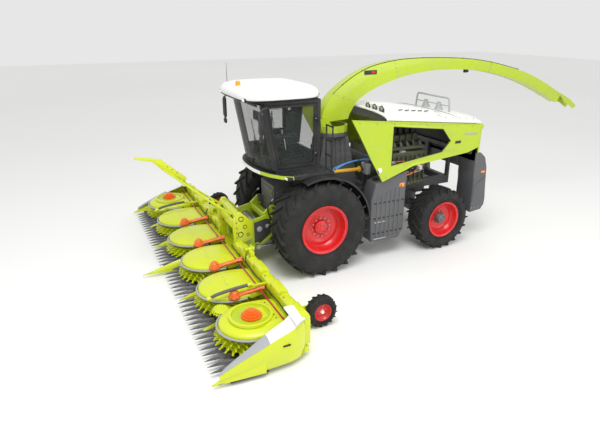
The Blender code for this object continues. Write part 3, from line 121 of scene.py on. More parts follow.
def addLathe(bm, profile, centre, axis="X", side=1, sides=48, slot=0):
    # profile: (radius, distance along the axis); the first and last may lie on the axis
    rings = []
    for radius, along in profile:
        ring = []
        for i in range(sides):
            a = 2 * math.pi * i / sides
            ring.append(onAxis(axis, radius * math.cos(a), radius * math.sin(a),
                side * along) + Vector(centre))
        rings.append(ring)
    made = addLoft(bm, rings, slot, caps=False)[0]
    bmesh.ops.remove_doubles(bm, verts=made, dist=0.00002)
    return made


def addTube(bm, path, radius, sides=10, slot=0, caps=True):
    points = [Vector(p) for p in path]
    rings = []
    normal = None
    for i, p in enumerate(points):
        ahead = (points[min(i + 1, len(points) - 1)] - points[max(i - 1, 0)]).normalized()
        if normal is None:
            normal = ahead.orthogonal().normalized()
        normal = (normal - ahead * normal.dot(ahead)).normalized()
        other = ahead.cross(normal)
        r = radius[i] if isinstance(radius, (list, tuple)) else radius
        rings.append([p + (normal * math.cos(2 * math.pi * k / sides) + other
            * math.sin(2 * math.pi * k / sides)) * r for k in range(sides)])
    return addLoft(bm, rings, slot, caps=caps)


def smoothPath(points, steps=6):
    # a Catmull-Rom curve through the points
    points = [Vector(p) for p in points]
    padded = [points[0] * 2 - points[1]] + points + [points[-1] * 2 - points[-2]]
    out = []
    for i in range(1, len(padded) - 2):
        a, b, c, d = padded[i - 1:i + 3]
        for k in range(steps):
            t = k / steps
            out.append(0.5 * ((2 * b) + (c - a) * t + (2 * a - 5 * b + 4 * c - d) * t * t
                + (3 * b - a - 3 * c + d) * t ** 3))
    out.append(points[-1])
    return out


def finishPiece(bm, name, body, finishes, smoothAngle=35, stands=()):
    bmesh.ops.recalc_face_normals(bm, faces=bm.faces)
    mesh = bpy.data.meshes.new(name)
    bm.to_mesh(mesh)
    bm.free()
    for finish in finishes:
        mesh.materials.append(finish)
    made = bpy.data.objects.new(name, mesh)
    bpy.context.scene.collection.objects.link(made)
    mesh.set_sharp_from_angle(angle=math.radians(smoothAngle))
    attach(made, body)
    if stands:
        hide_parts(*stands)
    return made


# helpers: materials

def hexColour(text):
    channels = [int(text[i:i + 2], 16) / 255 for i in (0, 2, 4)]
    return (*[c / 12.92 if c <= 0.04045 else ((c + 0.055) / 1.055) ** 2.4 for c in channels], 1)


def addNode(tree, kind, settings=None, links=None):
    node = tree.nodes.new(kind)
    for key, value in (settings or {}).items():
        if key in node.bl_rna.properties:
            setattr(node, key, value)
        else:
            node.inputs[int(key) if key.isdigit() else key].default_value = value
    for key, source in (links or {}).items():
        tree.links.new(source, node.inputs[int(key) if key.isdigit() else key])
    return node


def emptyMaterial(name):
    made = bpy.data.materials.new(name)
    made.use_nodes = True
    tree = made.node_tree
    tree.nodes.clear()
    shader = addNode(tree, "ShaderNodeBsdfPrincipled")
    addNode(tree, "ShaderNodeOutputMaterial", links={"Surface": shader.outputs["BSDF"]})
    place = addNode(tree, "ShaderNodeTexCoord").outputs["Object"]
    return made, tree, shader, place


def paintedPanel(name, colour, dust="8C8778", roughness=0.3, coat=0.5, wear=0.22, grain=900, relief=0.02):
    # sprayed two-pack paint on sheet steel: a gloss coat, faint orange peel and dust low down and in the lee
    made, tree, shader, place = emptyMaterial(name)
    cloud = addNode(tree, "ShaderNodeTexNoise", {"Scale": 2.3, "Detail": 5.0, "Roughness": 0.6},
        {"Vector": place})
    speck = addNode(tree, "ShaderNodeTexNoise", {"Scale": 46.0, "Detail": 3.0}, {"Vector": place})
    both = addNode(tree, "ShaderNodeMath", {"operation": "MULTIPLY"},
        {"0": cloud.outputs[0], "1": speck.outputs[0]})
    fade = addNode(tree, "ShaderNodeMapRange", {"From Min": 0.22, "From Max": 0.46, "To Min": 0.0,
        "To Max": wear}, {"Value": both.outputs[0]})
    tint = addNode(tree, "ShaderNodeMix", {"data_type": "RGBA", "6": hexColour(colour), "7": hexColour(dust)},
        {"0": fade.outputs[0]})
    tree.links.new(tint.outputs[2], shader.inputs["Base Color"])
    rough = addNode(tree, "ShaderNodeMapRange", {"From Min": 0.0, "From Max": 1.0, "To Min": roughness,
        "To Max": min(1.0, roughness + 0.22)}, {"Value": cloud.outputs[0]})
    tree.links.new(rough.outputs[0], shader.inputs["Roughness"])
    peel = addNode(tree, "ShaderNodeTexNoise", {"Scale": grain, "Detail": 1.0}, {"Vector": place})
    bump = addNode(tree, "ShaderNodeBump", {"Strength": relief, "Distance": 0.001},
        {"Height": peel.outputs[0]})
    tree.links.new(bump.outputs[0], shader.inputs["Normal"])
    shader.inputs["Coat Weight"].default_value = coat
    shader.inputs["Coat Roughness"].default_value = 0.12
    return made


def castOrBareMetal(name, colour, dark, roughness=0.42, metallic=1.0, grain=260, relief=0.12):
    # sand-cast or milled metal: grainy relief, oil-dark hollows
    made, tree, shader, place = emptyMaterial(name)
    cloud = addNode(tree, "ShaderNodeTexNoise", {"Scale": 7.0, "Detail": 6.0}, {"Vector": place})
    tint = addNode(tree, "ShaderNodeMix", {"data_type": "RGBA", "6": hexColour(dark), "7": hexColour(colour)},
        {"0": cloud.outputs[0]})
    tree.links.new(tint.outputs[2], shader.inputs["Base Color"])
    rough = addNode(tree, "ShaderNodeMapRange", {"To Min": roughness - 0.1, "To Max": roughness + 0.2},
        {"Value": cloud.outputs[0]})
    tree.links.new(rough.outputs[0], shader.inputs["Roughness"])
    sand = addNode(tree, "ShaderNodeTexNoise", {"Scale": grain, "Detail": 2.0}, {"Vector": place})
    bump = addNode(tree, "ShaderNodeBump", {"Strength": relief, "Distance": 0.002},
        {"Height": sand.outputs[0]})
    tree.links.new(bump.outputs[0], shader.inputs["Normal"])
    shader.inputs["Metallic"].default_value = metallic
    return made


def mouldedPlastic(name, colour, roughness=0.55, grain=420, relief=0.08):
    # injection-moulded or rotomoulded plastic: leather-like texture, no clear coat
    made, tree, shader, place = emptyMaterial(name)
    cells = addNode(tree, "ShaderNodeTexVoronoi", {"Scale": grain}, {"Vector": place})
    cloud = addNode(tree, "ShaderNodeTexNoise", {"Scale": 3.0, "Detail": 4.0}, {"Vector": place})
    tint = addNode(tree, "ShaderNodeMix", {"data_type": "RGBA", "6": hexColour(colour),
        "7": hexColour("77746C"),}, {})
    fade = addNode(tree, "ShaderNodeMapRange", {"From Min": 0.45, "From Max": 0.8, "To Min": 0.0,
        "To Max": 0.18}, {"Value": cloud.outputs[0]})
    tree.links.new(fade.outputs[0], tint.inputs[0])
    tree.links.new(tint.outputs[2], shader.inputs["Base Color"])
    bump = addNode(tree, "ShaderNodeBump", {"Strength": relief, "Distance": 0.001},
        {"Height": cells.outputs[0]})
    tree.links.new(bump.outputs[0], shader.inputs["Normal"])
    shader.inputs["Roughness"].default_value = roughness
    return made


def tyreRubber(name):
    # carbon-black rubber, matt, with dust in the lug roots
    made, tree, shader, place = emptyMaterial(name)
    cloud = addNode(tree, "ShaderNodeTexNoise", {"Scale": 5.0, "Detail": 6.0, "Roughness": 0.65},
        {"Vector": place})
    fade = addNode(tree, "ShaderNodeMapRange", {"From Min": 0.42, "From Max": 0.75, "To Min": 0.0,
        "To Max": 0.35}, {"Value": cloud.outputs[0]})
    tint = addNode(tree, "ShaderNodeMix", {"data_type": "RGBA", "6": hexColour("1B1B1C"),
        "7": hexColour("4A4741")}, {"0": fade.outputs[0]})
    tree.links.new(tint.outputs[2], shader.inputs["Base Color"])
    grit = addNode(tree, "ShaderNodeTexNoise", {"Scale": 240.0, "Detail": 2.0}, {"Vector": place})
    bump = addNode(tree, "ShaderNodeBump", {"Strength": 0.25, "Distance": 0.002}, {"Height": grit.outputs[0]})
    tree.links.new(bump.outputs[0], shader.inputs["Normal"])
    shader.inputs["Roughness"].default_value = 0.78
    return made


def tintedGlass(name, colour="39423E", alpha=0.20):
    # toughened glass with a grey-green tint, seen through from outside
    made, tree, shader, place = emptyMaterial(name)
    haze = addNode(tree, "ShaderNodeTexNoise", {"Scale": 1.4, "Detail": 3.0}, {"Vector": place})
    rough = addNode(tree, "ShaderNodeMapRange", {"To Min": 0.02, "To Max": 0.10}, {"Value": haze.outputs[0]})
    tree.links.new(rough.outputs[0], shader.inputs["Roughness"])
    shader.inputs["Base Color"].default_value = hexColour(colour)
    shader.inputs["Alpha"].default_value = alpha
    shader.inputs["IOR"].default_value = 1.5
    return made


def lampGlow(name, colour, strength=0.6, roughness=0.15):
    # moulded lens over a reflector
    made, tree, shader, place = emptyMaterial(name)
    ribs = addNode(tree, "ShaderNodeTexWave", {"Scale": 60.0, "bands_direction": "Z"}, {"Vector": place})
    bump = addNode(tree, "ShaderNodeBump", {"Strength": 0.3, "Distance": 0.002}, {"Height": ribs.outputs[1]})
    tree.links.new(bump.outputs[0], shader.inputs["Normal"])
    shader.inputs["Base Color"].default_value = hexColour(colour)
    shader.inputs["Emission Color"].default_value = hexColour(colour)
    shader.inputs["Emission Strength"].default_value = strength
    shader.inputs["Roughness"].default_value = roughness
    return made


def wovenSeat(name):
    # upholstery cloth woven at about 4 mm
    made, tree, shader, place = emptyMaterial(name)
    across = addNode(tree, "ShaderNodeTexWave", {"Scale": 78.0, "bands_direction": "X"}, {"Vector": place})
    up = addNode(tree, "ShaderNodeTexWave", {"Scale": 78.0, "bands_direction": "Z"}, {"Vector": place})
    weave = addNode(tree, "ShaderNodeMath", {"operation": "MULTIPLY"},
        {"0": across.outputs[1], "1": up.outputs[1]})
    tint = addNode(tree, "ShaderNodeMix", {"data_type": "RGBA", "6": hexColour("232427"),
        "7": hexColour("3B3D42")}, {"0": weave.outputs[0]})
    tree.links.new(tint.outputs[2], shader.inputs["Base Color"])
    bump = addNode(tree, "ShaderNodeBump", {"Strength": 0.4, "Distance": 0.002}, {"Height": weave.outputs[0]})
    tree.links.new(bump.outputs[0], shader.inputs["Normal"])
    shader.inputs["Roughness"].default_value = 0.9
    shader.inputs["Sheen Weight"].default_value = 0.3
    return made


limePaint = paintedPanel("lime_body_paint", "B4CB17")
headerPaint = paintedPanel("yellow_green_header_paint", "D2DE12", wear=0.12)
whitePaint = paintedPanel("white_body_paint", "F2F2F0", dust="B9B6AC", wear=0.12)
greyPaint = paintedPanel("graphite_chassis_paint", "58595C", roughness=0.45, coat=0.15)
lightGreyPaint = paintedPanel("light_grey_paint", "A9ACAE", roughness=0.4, coat=0.2)
redPaint = paintedPanel("red_rim_paint", "D7141A", wear=0.16)
orangePaint = paintedPanel("orange_drive_paint", "F2701E", wear=0.1)
yellowPaint = paintedPanel("yellow_drive_paint", "F8C022", wear=0.1)
bluePaint = paintedPanel("blue_drive_paint", "4189CE", wear=0.1)
darkRedPaint = paintedPanel("dark_red_valve_paint", "A5182B", wear=0.1)
enginePaint = castOrBareMetal("olive_engine_casting", "6F7358", "34372A", metallic=0.1, relief=0.3)
castSteel = castOrBareMetal("grey_axle_casting", "8E9092", "4E5052", metallic=0.55, relief=0.3)
bareSteel = castOrBareMetal("ground_steel", "C9CCCE", "8D9092", roughness=0.3, grain=600, relief=0.05)
blackPlastic = mouldedPlastic("black_moulded_plastic", "1E1F21")
darkTrim = mouldedPlastic("graphite_moulded_trim", "3E4043")
hoseRubber = mouldedPlastic("black_hose_rubber", "18181A", roughness=0.5)
rubber = tyreRubber("carbon_black_tyre_rubber")
glass = tintedGlass("grey_green_safety_glass")
amberLens = lampGlow("amber_beacon_lens", "FF8A1C", 0.5)
clearLens = lampGlow("clear_lamp_lens", "F4F6F2", 0.25)
redLens = lampGlow("red_tail_lens", "C5161B", 0.3)
seatCloth = wovenSeat("woven_seat_cloth")

finishOfSlot = {"white_paint": whitePaint, "engine_paint": enginePaint, "tyre_rubber": rubber,
    "header_paint": headerPaint, "dark_plastic": blackPlastic, "orange_paint": orangePaint,
    "bare_steel": bareSteel, "tinted_glass": glass, "grey_paint": greyPaint, "cast_steel": castSteel,
    "yellow_paint": yellowPaint, "seat_fabric": seatCloth, "lime_paint": limePaint, "red_paint": redPaint,
    "blue_paint": bluePaint}
for entry in frame["record"]["subparts"]:
    mesh = nodes[entry["node"]].data
    mesh.materials.clear()
    mesh.materials.append(finishOfSlot[entry["material_slot"]])
print("frame loaded, materials made")


# wheels

frontWheel = {"lugs": 22, "lugHeight": 0.050, "lugWidth": 0.062, "bolts": 12, "boltRing": 0.20,
    "boltSize": 0.017}
rearWheel = {"lugs": 20, "lugHeight": 0.038, "lugWidth": 0.050, "bolts": 10, "boltRing": 0.15,
    "boltSize": 0.014}


def tyreProfile(radius, rim, half, lug):
    carcass = radius - lug
    bulge = half * 0.99
    return [(rim + 0.002, -half * 0.80), (rim + 0.030, -half * 0.86), (rim + 0.05, -half * 0.84),
        (rim + (carcass - rim) * 0.35, -bulge), (rim + (carcass - rim) * 0.62, -bulge * 0.995),
        (carcass - 0.055, -half * 0.93), (carcass - 0.018, -half * 0.86), (carcass, -half * 0.60),
        (carcass + 0.004, 0), (carcass, half * 0.60), (carcass - 0.018, half * 0.86),
        (carcass - 0.055, half * 0.93), (rim + (carcass - rim) * 0.62, bulge * 0.995),
        (rim + (carcass - rim) * 0.35, bulge), (rim + 0.05, half * 0.84), (rim + 0.030, half * 0.86),
        (rim + 0.002, half * 0.80), (rim + 0.002, -half * 0.80)]


def ringTree(name):
    # copies one lug round the axle: the inputs are the lug, how many, the first one's turn and the finish
    tree = bpy.data.node_groups.new(name, "GeometryNodeTree")
    face = tree.interface
    face.new_socket("Geometry", in_out="INPUT", socket_type="NodeSocketGeometry")
    face.new_socket("Count", in_out="INPUT", socket_type="NodeSocketInt")
    face.new_socket("First Turn", in_out="INPUT", socket_type="NodeSocketFloat")
    face.new_socket("Finish", in_out="INPUT", socket_type="NodeSocketMaterial")
    face.new_socket("Geometry", in_out="OUTPUT", socket_type="NodeSocketGeometry")
    given = addNode(tree, "NodeGroupInput")
    dots = addNode(tree, "GeometryNodePoints", {}, {"Count": given.outputs["Count"]})
    index = addNode(tree, "GeometryNodeInputIndex")
    step = addNode(tree, "ShaderNodeMath", {"operation": "DIVIDE", "0": 2 * math.pi},
        {"1": given.outputs["Count"]})
    turn = addNode(tree, "ShaderNodeMath", {"operation": "MULTIPLY_ADD"},
        {"0": index.outputs[0], "1": step.outputs[0], "2": given.outputs["First Turn"]})
    spin = addNode(tree, "ShaderNodeCombineXYZ", {}, {"X": turn.outputs[0]})
    copies = addNode(tree, "GeometryNodeInstanceOnPoints", {},
        {"Points": dots.outputs[0], "Instance": given.outputs["Geometry"], "Rotation": spin.outputs[0]})
    real = addNode(tree, "GeometryNodeRealizeInstances", {}, {"Geometry": copies.outputs[0]})
    painted = addNode(tree, "GeometryNodeSetMaterial", {},
        {"Geometry": real.outputs[0], "Material": given.outputs["Finish"]})
    addNode(tree, "NodeGroupOutput", {}, {"Geometry": painted.outputs[0]})
    return tree


wheelRing = ringTree("copies_round_the_axle")


def ringOf(bm, count, firstTurn, finish):
    # the mesh in bm, copied round the X axis, as a plain mesh
    mesh = bpy.data.meshes.new("one")
    bm.to_mesh(mesh)
    bm.free()
    seed = bpy.data.objects.new("one", mesh)
    bpy.context.scene.collection.objects.link(seed)
    ring = seed.modifiers.new("ring", "NODES")
    ring.node_group = wheelRing
    sockets = {s.name: s.identifier for s in wheelRing.interface.items_tree if s.in_out == "INPUT"}
    ring[sockets["Count"]] = count
    ring[sockets["First Turn"]] = firstTurn
    ring[sockets["Finish"]] = finish
    bpy.context.view_layer.update()
    made = bpy.data.meshes.new_from_object(seed.evaluated_get(bpy.context.evaluated_depsgraph_get()))
    bpy.data.objects.remove(seed)
    return made


def oneLug(radius, half, lug, width, side):
    # a curved bar from the middle of the tread to its shoulder, swept back
    bm = bmesh.new()
    sweep = 0.30
    rows = []
    for k in range(6):
        share = k / 5
        across = side * half * (-0.03 + 1.0 * share)
        angle = sweep * (share ** 0.85) * (0.9 if share < 1 else 0.92)
        top = radius - (0.002 + 0.012 * share ** 3)
        foot = radius - lug - 0.008 - 0.045 * share ** 3
        spread = width / radius * (0.50 + 0.12 * share)
        ring = []
        for r, w in ((foot, 0.68), (top, 0.46)):
            for s in ((-1, 1) if r == foot else (1, -1)):
                a = angle + s * spread * w * 1.0
                ring.append(Vector((across, -r * math.sin(a), r * math.cos(a))))
        rows.append(ring)
    addLoft(bm, rows)
    bmesh.ops.recalc_face_normals(bm, faces=bm.faces)
    return bm


def boltHead(radius, size, along):
    bm = bmesh.new()
    ring = [(size * math.cos(math.pi * k / 3), size * math.sin(math.pi * k / 3)) for k in range(6)]
    rings = [[Vector((x, c * s, radius + d * s)) for c, d in ring] for x,
        s in ((along - 0.02 * math.copysign(1, along), 1), (along + 0.008 * math.copysign(1, along), 1),
        (along + 0.012 * math.copysign(1, along), 0.8))]
    addLoft(bm, rings)
    bmesh.ops.recalc_face_normals(bm, faces=bm.faces)
    return bm


def addMesh(bm, mesh, place, slot):
    # a plain mesh into bm, moved to a wheel's middle
    mesh.transform(Matrix.Translation(place))
    mesh.polygons.foreach_set("material_index", [slot] * len(mesh.polygons))
    mesh.polygons.foreach_set("use_smooth", [True] * len(mesh.polygons))
    bm.from_mesh(mesh)


def makeTyre(node, rimNode, body, wheel, side):
    low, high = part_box(node)
    centre = (low + high) / 2
    radius, half = (high.z - low.z) / 2, (high.x - low.x) / 2
    rimLow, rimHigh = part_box(rimNode)
    rim = min(0.52, (rimHigh.z - rimLow.z) / 2)
    bm = bmesh.new()
    addLathe(bm, tyreProfile(radius, rim, half, wheel["lugHeight"]), centre, sides=96)
    for half_, first in ((1, 0.0), (-1, math.pi / wheel["lugs"])):
        ring = ringOf(oneLug(radius, half, wheel["lugHeight"], wheel["lugWidth"], half_), wheel["lugs"],
            first, rubber)
        addMesh(bm, ring, centre, 0)
    return finishPiece(bm, node + "_tread", body, [rubber], stands=[node])


def makeRim(node, tyreNode, body, wheel, side, hubFinish, planet):
    low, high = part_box(node)
    tyreLow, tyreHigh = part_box(tyreNode)
    centre = (tyreLow + tyreHigh) / 2
    half = (tyreHigh.x - tyreLow.x) / 2
    rim = (high.z - low.z) / 2 - 0.001
    dish = planet["dish"]
    profile = [(0, dish), (wheel["boltRing"] + 0.04, dish), (wheel["boltRing"] + 0.07, dish + 0.012),
        (rim * 0.62, dish + 0.035), (rim * 0.76, dish + 0.02), (rim * 0.84, dish + 0.06),
        (rim * 0.885, half * 0.62), (rim * 0.90, half * 0.80), (rim * 0.955, half * 0.835),
        (rim * 0.975, half * 0.865), (rim, half * 0.86), (rim, half * 0.80), (rim * 0.94, half * 0.76),
        (rim * 0.93, -half * 0.76), (rim, -half * 0.80), (rim, -half * 0.86), (rim * 0.975, -half * 0.865),
        (rim * 0.90, -half * 0.80), (rim * 0.86, -half * 0.70), (rim * 0.84, dish - 0.05),
        (rim * 0.5, dish - 0.05), (rim * 0.45, dish - 0.02), (0, dish - 0.02)]
    bm = bmesh.new()
    addLathe(bm, profile, centre, side=side, sides=96)
    hub = [(0, planet["reach"]), (planet["cap"] * 0.55, planet["reach"]),
        (planet["cap"] * 0.62, planet["reach"] - 0.012), (planet["cap"], planet["reach"] - 0.03),
        (planet["cap"] + 0.012, dish + 0.07), (planet["flange"], dish + 0.05),
        (planet["flange"] + 0.01, dish + 0.001), (0, dish + 0.001)]
    addLathe(bm, hub, centre, side=side, sides=64, slot=1)
    place = centre
    addMesh(bm, ringOf(boltHead(wheel["boltRing"], wheel["boltSize"], side * (dish + 0.014)), wheel["bolts"],
        0.1, bareSteel), place, 2)
    addMesh(bm, ringOf(boltHead(planet["cap"] * 0.78, 0.010, side * (planet["reach"] - 0.018)), 8, 0.2,
        bareSteel), place, 2)
    return finishPiece(bm, node + "_pressed", body, [redPaint, hubFinish, bareSteel], 30, [node])


for label, side in (("left", 1), ("right", -1)):
    for end, wheel, finish, planet in (("front", frontWheel, redPaint,
            {"dish": 0.085, "reach": 0.19, "cap": 0.115, "flange": 0.15}),
            ("rear", rearWheel, castSteel, {"dish": 0.06, "reach": 0.20, "cap": 0.10, "flange": 0.125})):
        stem = end + "_wheel_" + label
        makeTyre(stem + "_tyre", stem + "_rim", stem, wheel, side)
        makeRim(stem + "_rim", stem + "_tyre", stem, wheel, side, finish, planet)

gaugeWheel = {"lugs": 16, "lugHeight": 0.018, "lugWidth": 0.034, "rimShare": 0.55}
for label, side in (("left", 1), ("right", -1)):
    node = "gauge_wheel_" + label
    low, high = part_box(node)
    centre, radius, half = (low + high) / 2, (high.z - low.z) / 2, (high.x - low.x) / 2
    rim = radius * gaugeWheel["rimShare"]
    bm = bmesh.new()
    addLathe(bm, tyreProfile(radius, rim, half, gaugeWheel["lugHeight"]), centre, sides=64)
    for lean, first in ((1, 0.0), (-1, math.pi / gaugeWheel["lugs"])):
        addMesh(bm, ringOf(oneLug(radius, half, gaugeWheel["lugHeight"], gaugeWheel["lugWidth"], lean),
            gaugeWheel["lugs"], first, rubber), centre, 0)
    dish = [(0, 0.035), (0.055, 0.035), (rim * 0.62, 0.02), (rim * 0.85, 0.05), (rim * 0.93, half * 0.8),
        (rim, half * 0.84), (rim, -half * 0.84), (rim * 0.9, -half * 0.8), (rim * 0.8, 0.0), (0, 0.0)]
    addLathe(bm, dish, centre, side=side, sides=48, slot=1)
    addLathe(bm, [(0, 0.078), (0.026, 0.078), (0.034, 0.065), (0.036, 0.03), (0, 0.03)], centre, side=side,
        sides=24, slot=2)
    addMesh(bm, ringOf(boltHead(0.075, 0.008, side * 0.037), 6, 0.0, bareSteel), centre, 3)
    finishPiece(bm, node + "_whole", node, [rubber, redPaint, whitePaint, bareSteel],
        stands=[node])
print("wheels made")


# maize header

header = {"pitch": 1.25, "rotorY": -2.28, "lobeHalf": 0.525, "lobeNose": -2.76, "lobeBack": -1.66,
    "lobeLow": 0.44, "lobeHigh": 0.60, "teeth": 26, "floor": (0.10, 0.19), "beamY": (-1.66, -1.48),
    "beamZ": (0.24, 0.78), "fingersPerPitch": 8, "fingerRoot": -2.64, "fingerTip": -3.08}


def lineTree(name):
    # copies one piece along a line: the inputs are the piece, how many, the step and the finish
    tree = bpy.data.node_groups.new(name, "GeometryNodeTree")
    face = tree.interface
    face.new_socket("Geometry", in_out="INPUT", socket_type="NodeSocketGeometry")
    face.new_socket("Count", in_out="INPUT", socket_type="NodeSocketInt")
    face.new_socket("Step", in_out="INPUT", socket_type="NodeSocketVector")
    face.new_socket("Finish", in_out="INPUT", socket_type="NodeSocketMaterial")
    face.new_socket("Geometry", in_out="OUTPUT", socket_type="NodeSocketGeometry")
    given = addNode(tree, "NodeGroupInput")
    index = addNode(tree, "GeometryNodeInputIndex")
    place = addNode(tree, "ShaderNodeVectorMath", {"operation": "SCALE"},
        {"0": given.outputs["Step"], "Scale": index.outputs[0]})
    dots = addNode(tree, "GeometryNodePoints", {}, {"Count": given.outputs["Count"],
        "Position": place.outputs[0]})
    copies = addNode(tree, "GeometryNodeInstanceOnPoints", {},
        {"Points": dots.outputs[0], "Instance": given.outputs["Geometry"]})
    real = addNode(tree, "GeometryNodeRealizeInstances", {}, {"Geometry": copies.outputs[0]})
    painted = addNode(tree, "GeometryNodeSetMaterial", {},
        {"Geometry": real.outputs[0], "Material": given.outputs["Finish"]})
    addNode(tree, "NodeGroupOutput", {}, {"Geometry": painted.outputs[0]})
    return tree


lineCopies = lineTree("copies_along_a_line")


def lineOf(bm, count, step, finish):
    mesh = bpy.data.meshes.new("one")
    bmesh.ops.recalc_face_normals(bm, faces=bm.faces)
    bm.to_mesh(mesh)
    bm.free()
    seed = bpy.data.objects.new("one", mesh)
    bpy.context.scene.collection.objects.link(seed)
    line = seed.modifiers.new("line", "NODES")
    line.node_group = lineCopies
    sockets = {s.name: s.identifier for s in lineCopies.interface.items_tree if s.in_out == "INPUT"}
    line[sockets["Count"]] = count
    line[sockets["Step"]] = step
    line[sockets["Finish"]] = finish
    bpy.context.view_layer.update()
    made = bpy.data.meshes.new_from_object(seed.evaluated_get(bpy.context.evaluated_depsgraph_get()))
    bpy.data.objects.remove(seed)
    return made


def addRow(bm, one, count, step, finish, slot):
    addMesh(bm, lineOf(one, count, step, finish), Vector(), slot)


def addBolts(bm, start, step, count, axis, side, radius, slot):
    # hexagon heads on washers, in a row
    one = bmesh.new()
    profile = [(radius * 1.5, -0.002), (radius * 1.5, 0.003), (radius * 1.02, 0.0035)]
    addLathe(one, [(0, -0.002)] + profile + [(0, 0.0035)], here(*start), axis, side, 12)
    addLathe(one, [(radius, 0.002), (radius, radius * 0.85), (radius * 0.8, radius), (0, radius)],
        here(*start), axis, side, 6)
    addRow(bm, one, count, step, bareSteel, slot)


def lobePlan(x, turn):
    # an oval nose that runs into straight sides
    half, nose, back = header["lobeHalf"], header["lobeNose"], header["lobeBack"]
    middle = nose + half * 1.08
    px, py = math.cos(turn), math.sin(turn)
    if py <= 0:
        return x + half * px, middle + (middle - nose) * py
    return x + half * abs(px) ** 0.42 * (1 if px >= 0 else -1), middle + (back - middle) * min(1.0, py * 1.25)


def addLobe(bm, x, slot, dark):
    # pressed sheet cover: rolled rim, steep shoulder, low crown and an embossed oval with a crease
    low, high = header["lobeLow"], header["lobeHigh"]
    centreY = header["rotorY"] + 0.12
    steps = 56
    shares = [1.0, 1.0, 0.985, 0.96, 0.93, 0.88, 0.80, 0.71, 0.66, 0.63, 0.58, 0.45, 0.25, 0.08]
    heights = [0.0, 0.055, 0.075, 0.088, 0.099, 0.112, 0.124, 0.131, 0.133, 0.143, 0.147, 0.152, 0.156, 0.157]
    rise = (high - low) / 0.157
    rings = []
    for share, height in zip(shares, heights):
        ring = []
        for i in range(steps):
            px, py = lobePlan(x, 2 * math.pi * i / steps)
            ring.append(here(x + (px - x) * share, centreY + (py - centreY) * share, low + height * rise))
        rings.append(ring)
    addLoft(bm, rings, slot, caps=False)
    top = [here(x, centreY, high)]
    made = addFaces(bm, rings[-1] + top, [(i, (i + 1) % steps, steps) for i in range(steps)], slot)[0]
    # a shallow hand groove across the crown
    groove = [here(x - 0.20 + 0.05 * k, centreY - 0.12 + 0.02 * math.sin(k * 0.9),
        high - 0.004 + 0.001 * (k % 2)) for k in range(9)]
    addTube(bm, groove, 0.0045, 6, dark)
    bmesh.ops.remove_doubles(bm, verts=[v for v in bm.verts if v in made], dist=0.00005)


def addGuardTube(bm, x, slot, plug):
    # a bent steel tube round the nose, with a rubber plug at its open end
    points = []
    for k in range(23):
        turn = math.radians(150 + k * (372 - 150) / 22)
        px, py = lobePlan(x, turn)
        points.append(here(x + (px - x) * 1.05, header["rotorY"] + (py - header["rotorY"]) * 1.06, 0.475))
    addTube(bm, smoothPath(points, 2), 0.017, 10, slot)
    end, before = points[-1], points[-2]
    addTube(bm, [end, end + (end - before).normalized() * 0.035], 0.020, 12, plug)


def addGearStack(bm, x, y, low, size, slot, steel):
    # a ribbed angle gearbox: stepped round housings with a bolted lid
    profile = [(0, 0), (size, 0), (size * 1.06, 0.012), (size * 1.06, 0.035), (size * 0.90, 0.045)]
    for k in range(3):
        z = 0.045 + k * 0.028
        share = 0.92 - 0.10 * k
        profile += [(size * share, z), (size * share, z + 0.016), (size * (share - 0.08), z + 0.020)]
    profile += [(size * 0.50, 0.135), (size * 0.46, 0.150), (0, 0.153)]
    addLathe(bm, profile, here(x, y, low), "Z", 1, 28, slot)
    for k in range(8):
        a = 2 * math.pi * k / 8
        spot = here(x + size * 0.97 * math.cos(a), y + size * 0.97 * math.sin(a), low + 0.035)
        addLathe(bm, [(0, 0), (0.010, 0), (0.010, 0.010), (0, 0.012)], spot, "Z", 1, 6, steel)
    for k in range(10):
        a = 2 * math.pi * (k + 0.5) / 10
        foot = Vector((math.cos(a), math.sin(a), 0))
        addTube(bm, [here(x, y, low + 0.04) + foot * size * 0.96,
            here(x, y, low + 0.13) + foot * size * 0.50], [0.009, 0.006], 6, slot)


def addArm(bm, x, slot):
    # the cast casing between a gearbox and the cross shaft
    rings = []
    for share in range(9):
        t = share / 8
        y = header["rotorY"] + 0.06 + t * 0.52
        w = 0.058 - 0.018 * math.sin(math.pi * t) + (0.012 if share % 4 == 0 else 0)
        z = 0.535 + 0.05 * t
        rings.append([here(x + w * math.cos(a), y,
            z + w * 0.8 * math.sin(a)) for a in [2 * math.pi * i / 12 for i in range(12)]])
    addLoft(bm, rings, slot)


def fingerShape():
    # a pointed crop lifter: a flat-bottomed spear with a ridge
    bm = bmesh.new()
    root, tip = header["fingerRoot"], header["fingerTip"]
    rings = []
    for share, wide, tall in ((0.0, 0.040, 0.030), (0.25, 0.046, 0.052), (0.55, 0.034, 0.046),
            (0.85, 0.014, 0.022), (1.0, 0.002, 0.004)):
        y = root + (tip - root) * share
        low = 0.085 - 0.010 * share
        rings.append([here(-wide, y, low), here(wide, y, low), here(wide * 0.55, y, low + tall * 0.7),
            here(0, y, low + tall), here(-wide * 0.55, y, low + tall * 0.7)])
    addLoft(bm, rings)
    return bm


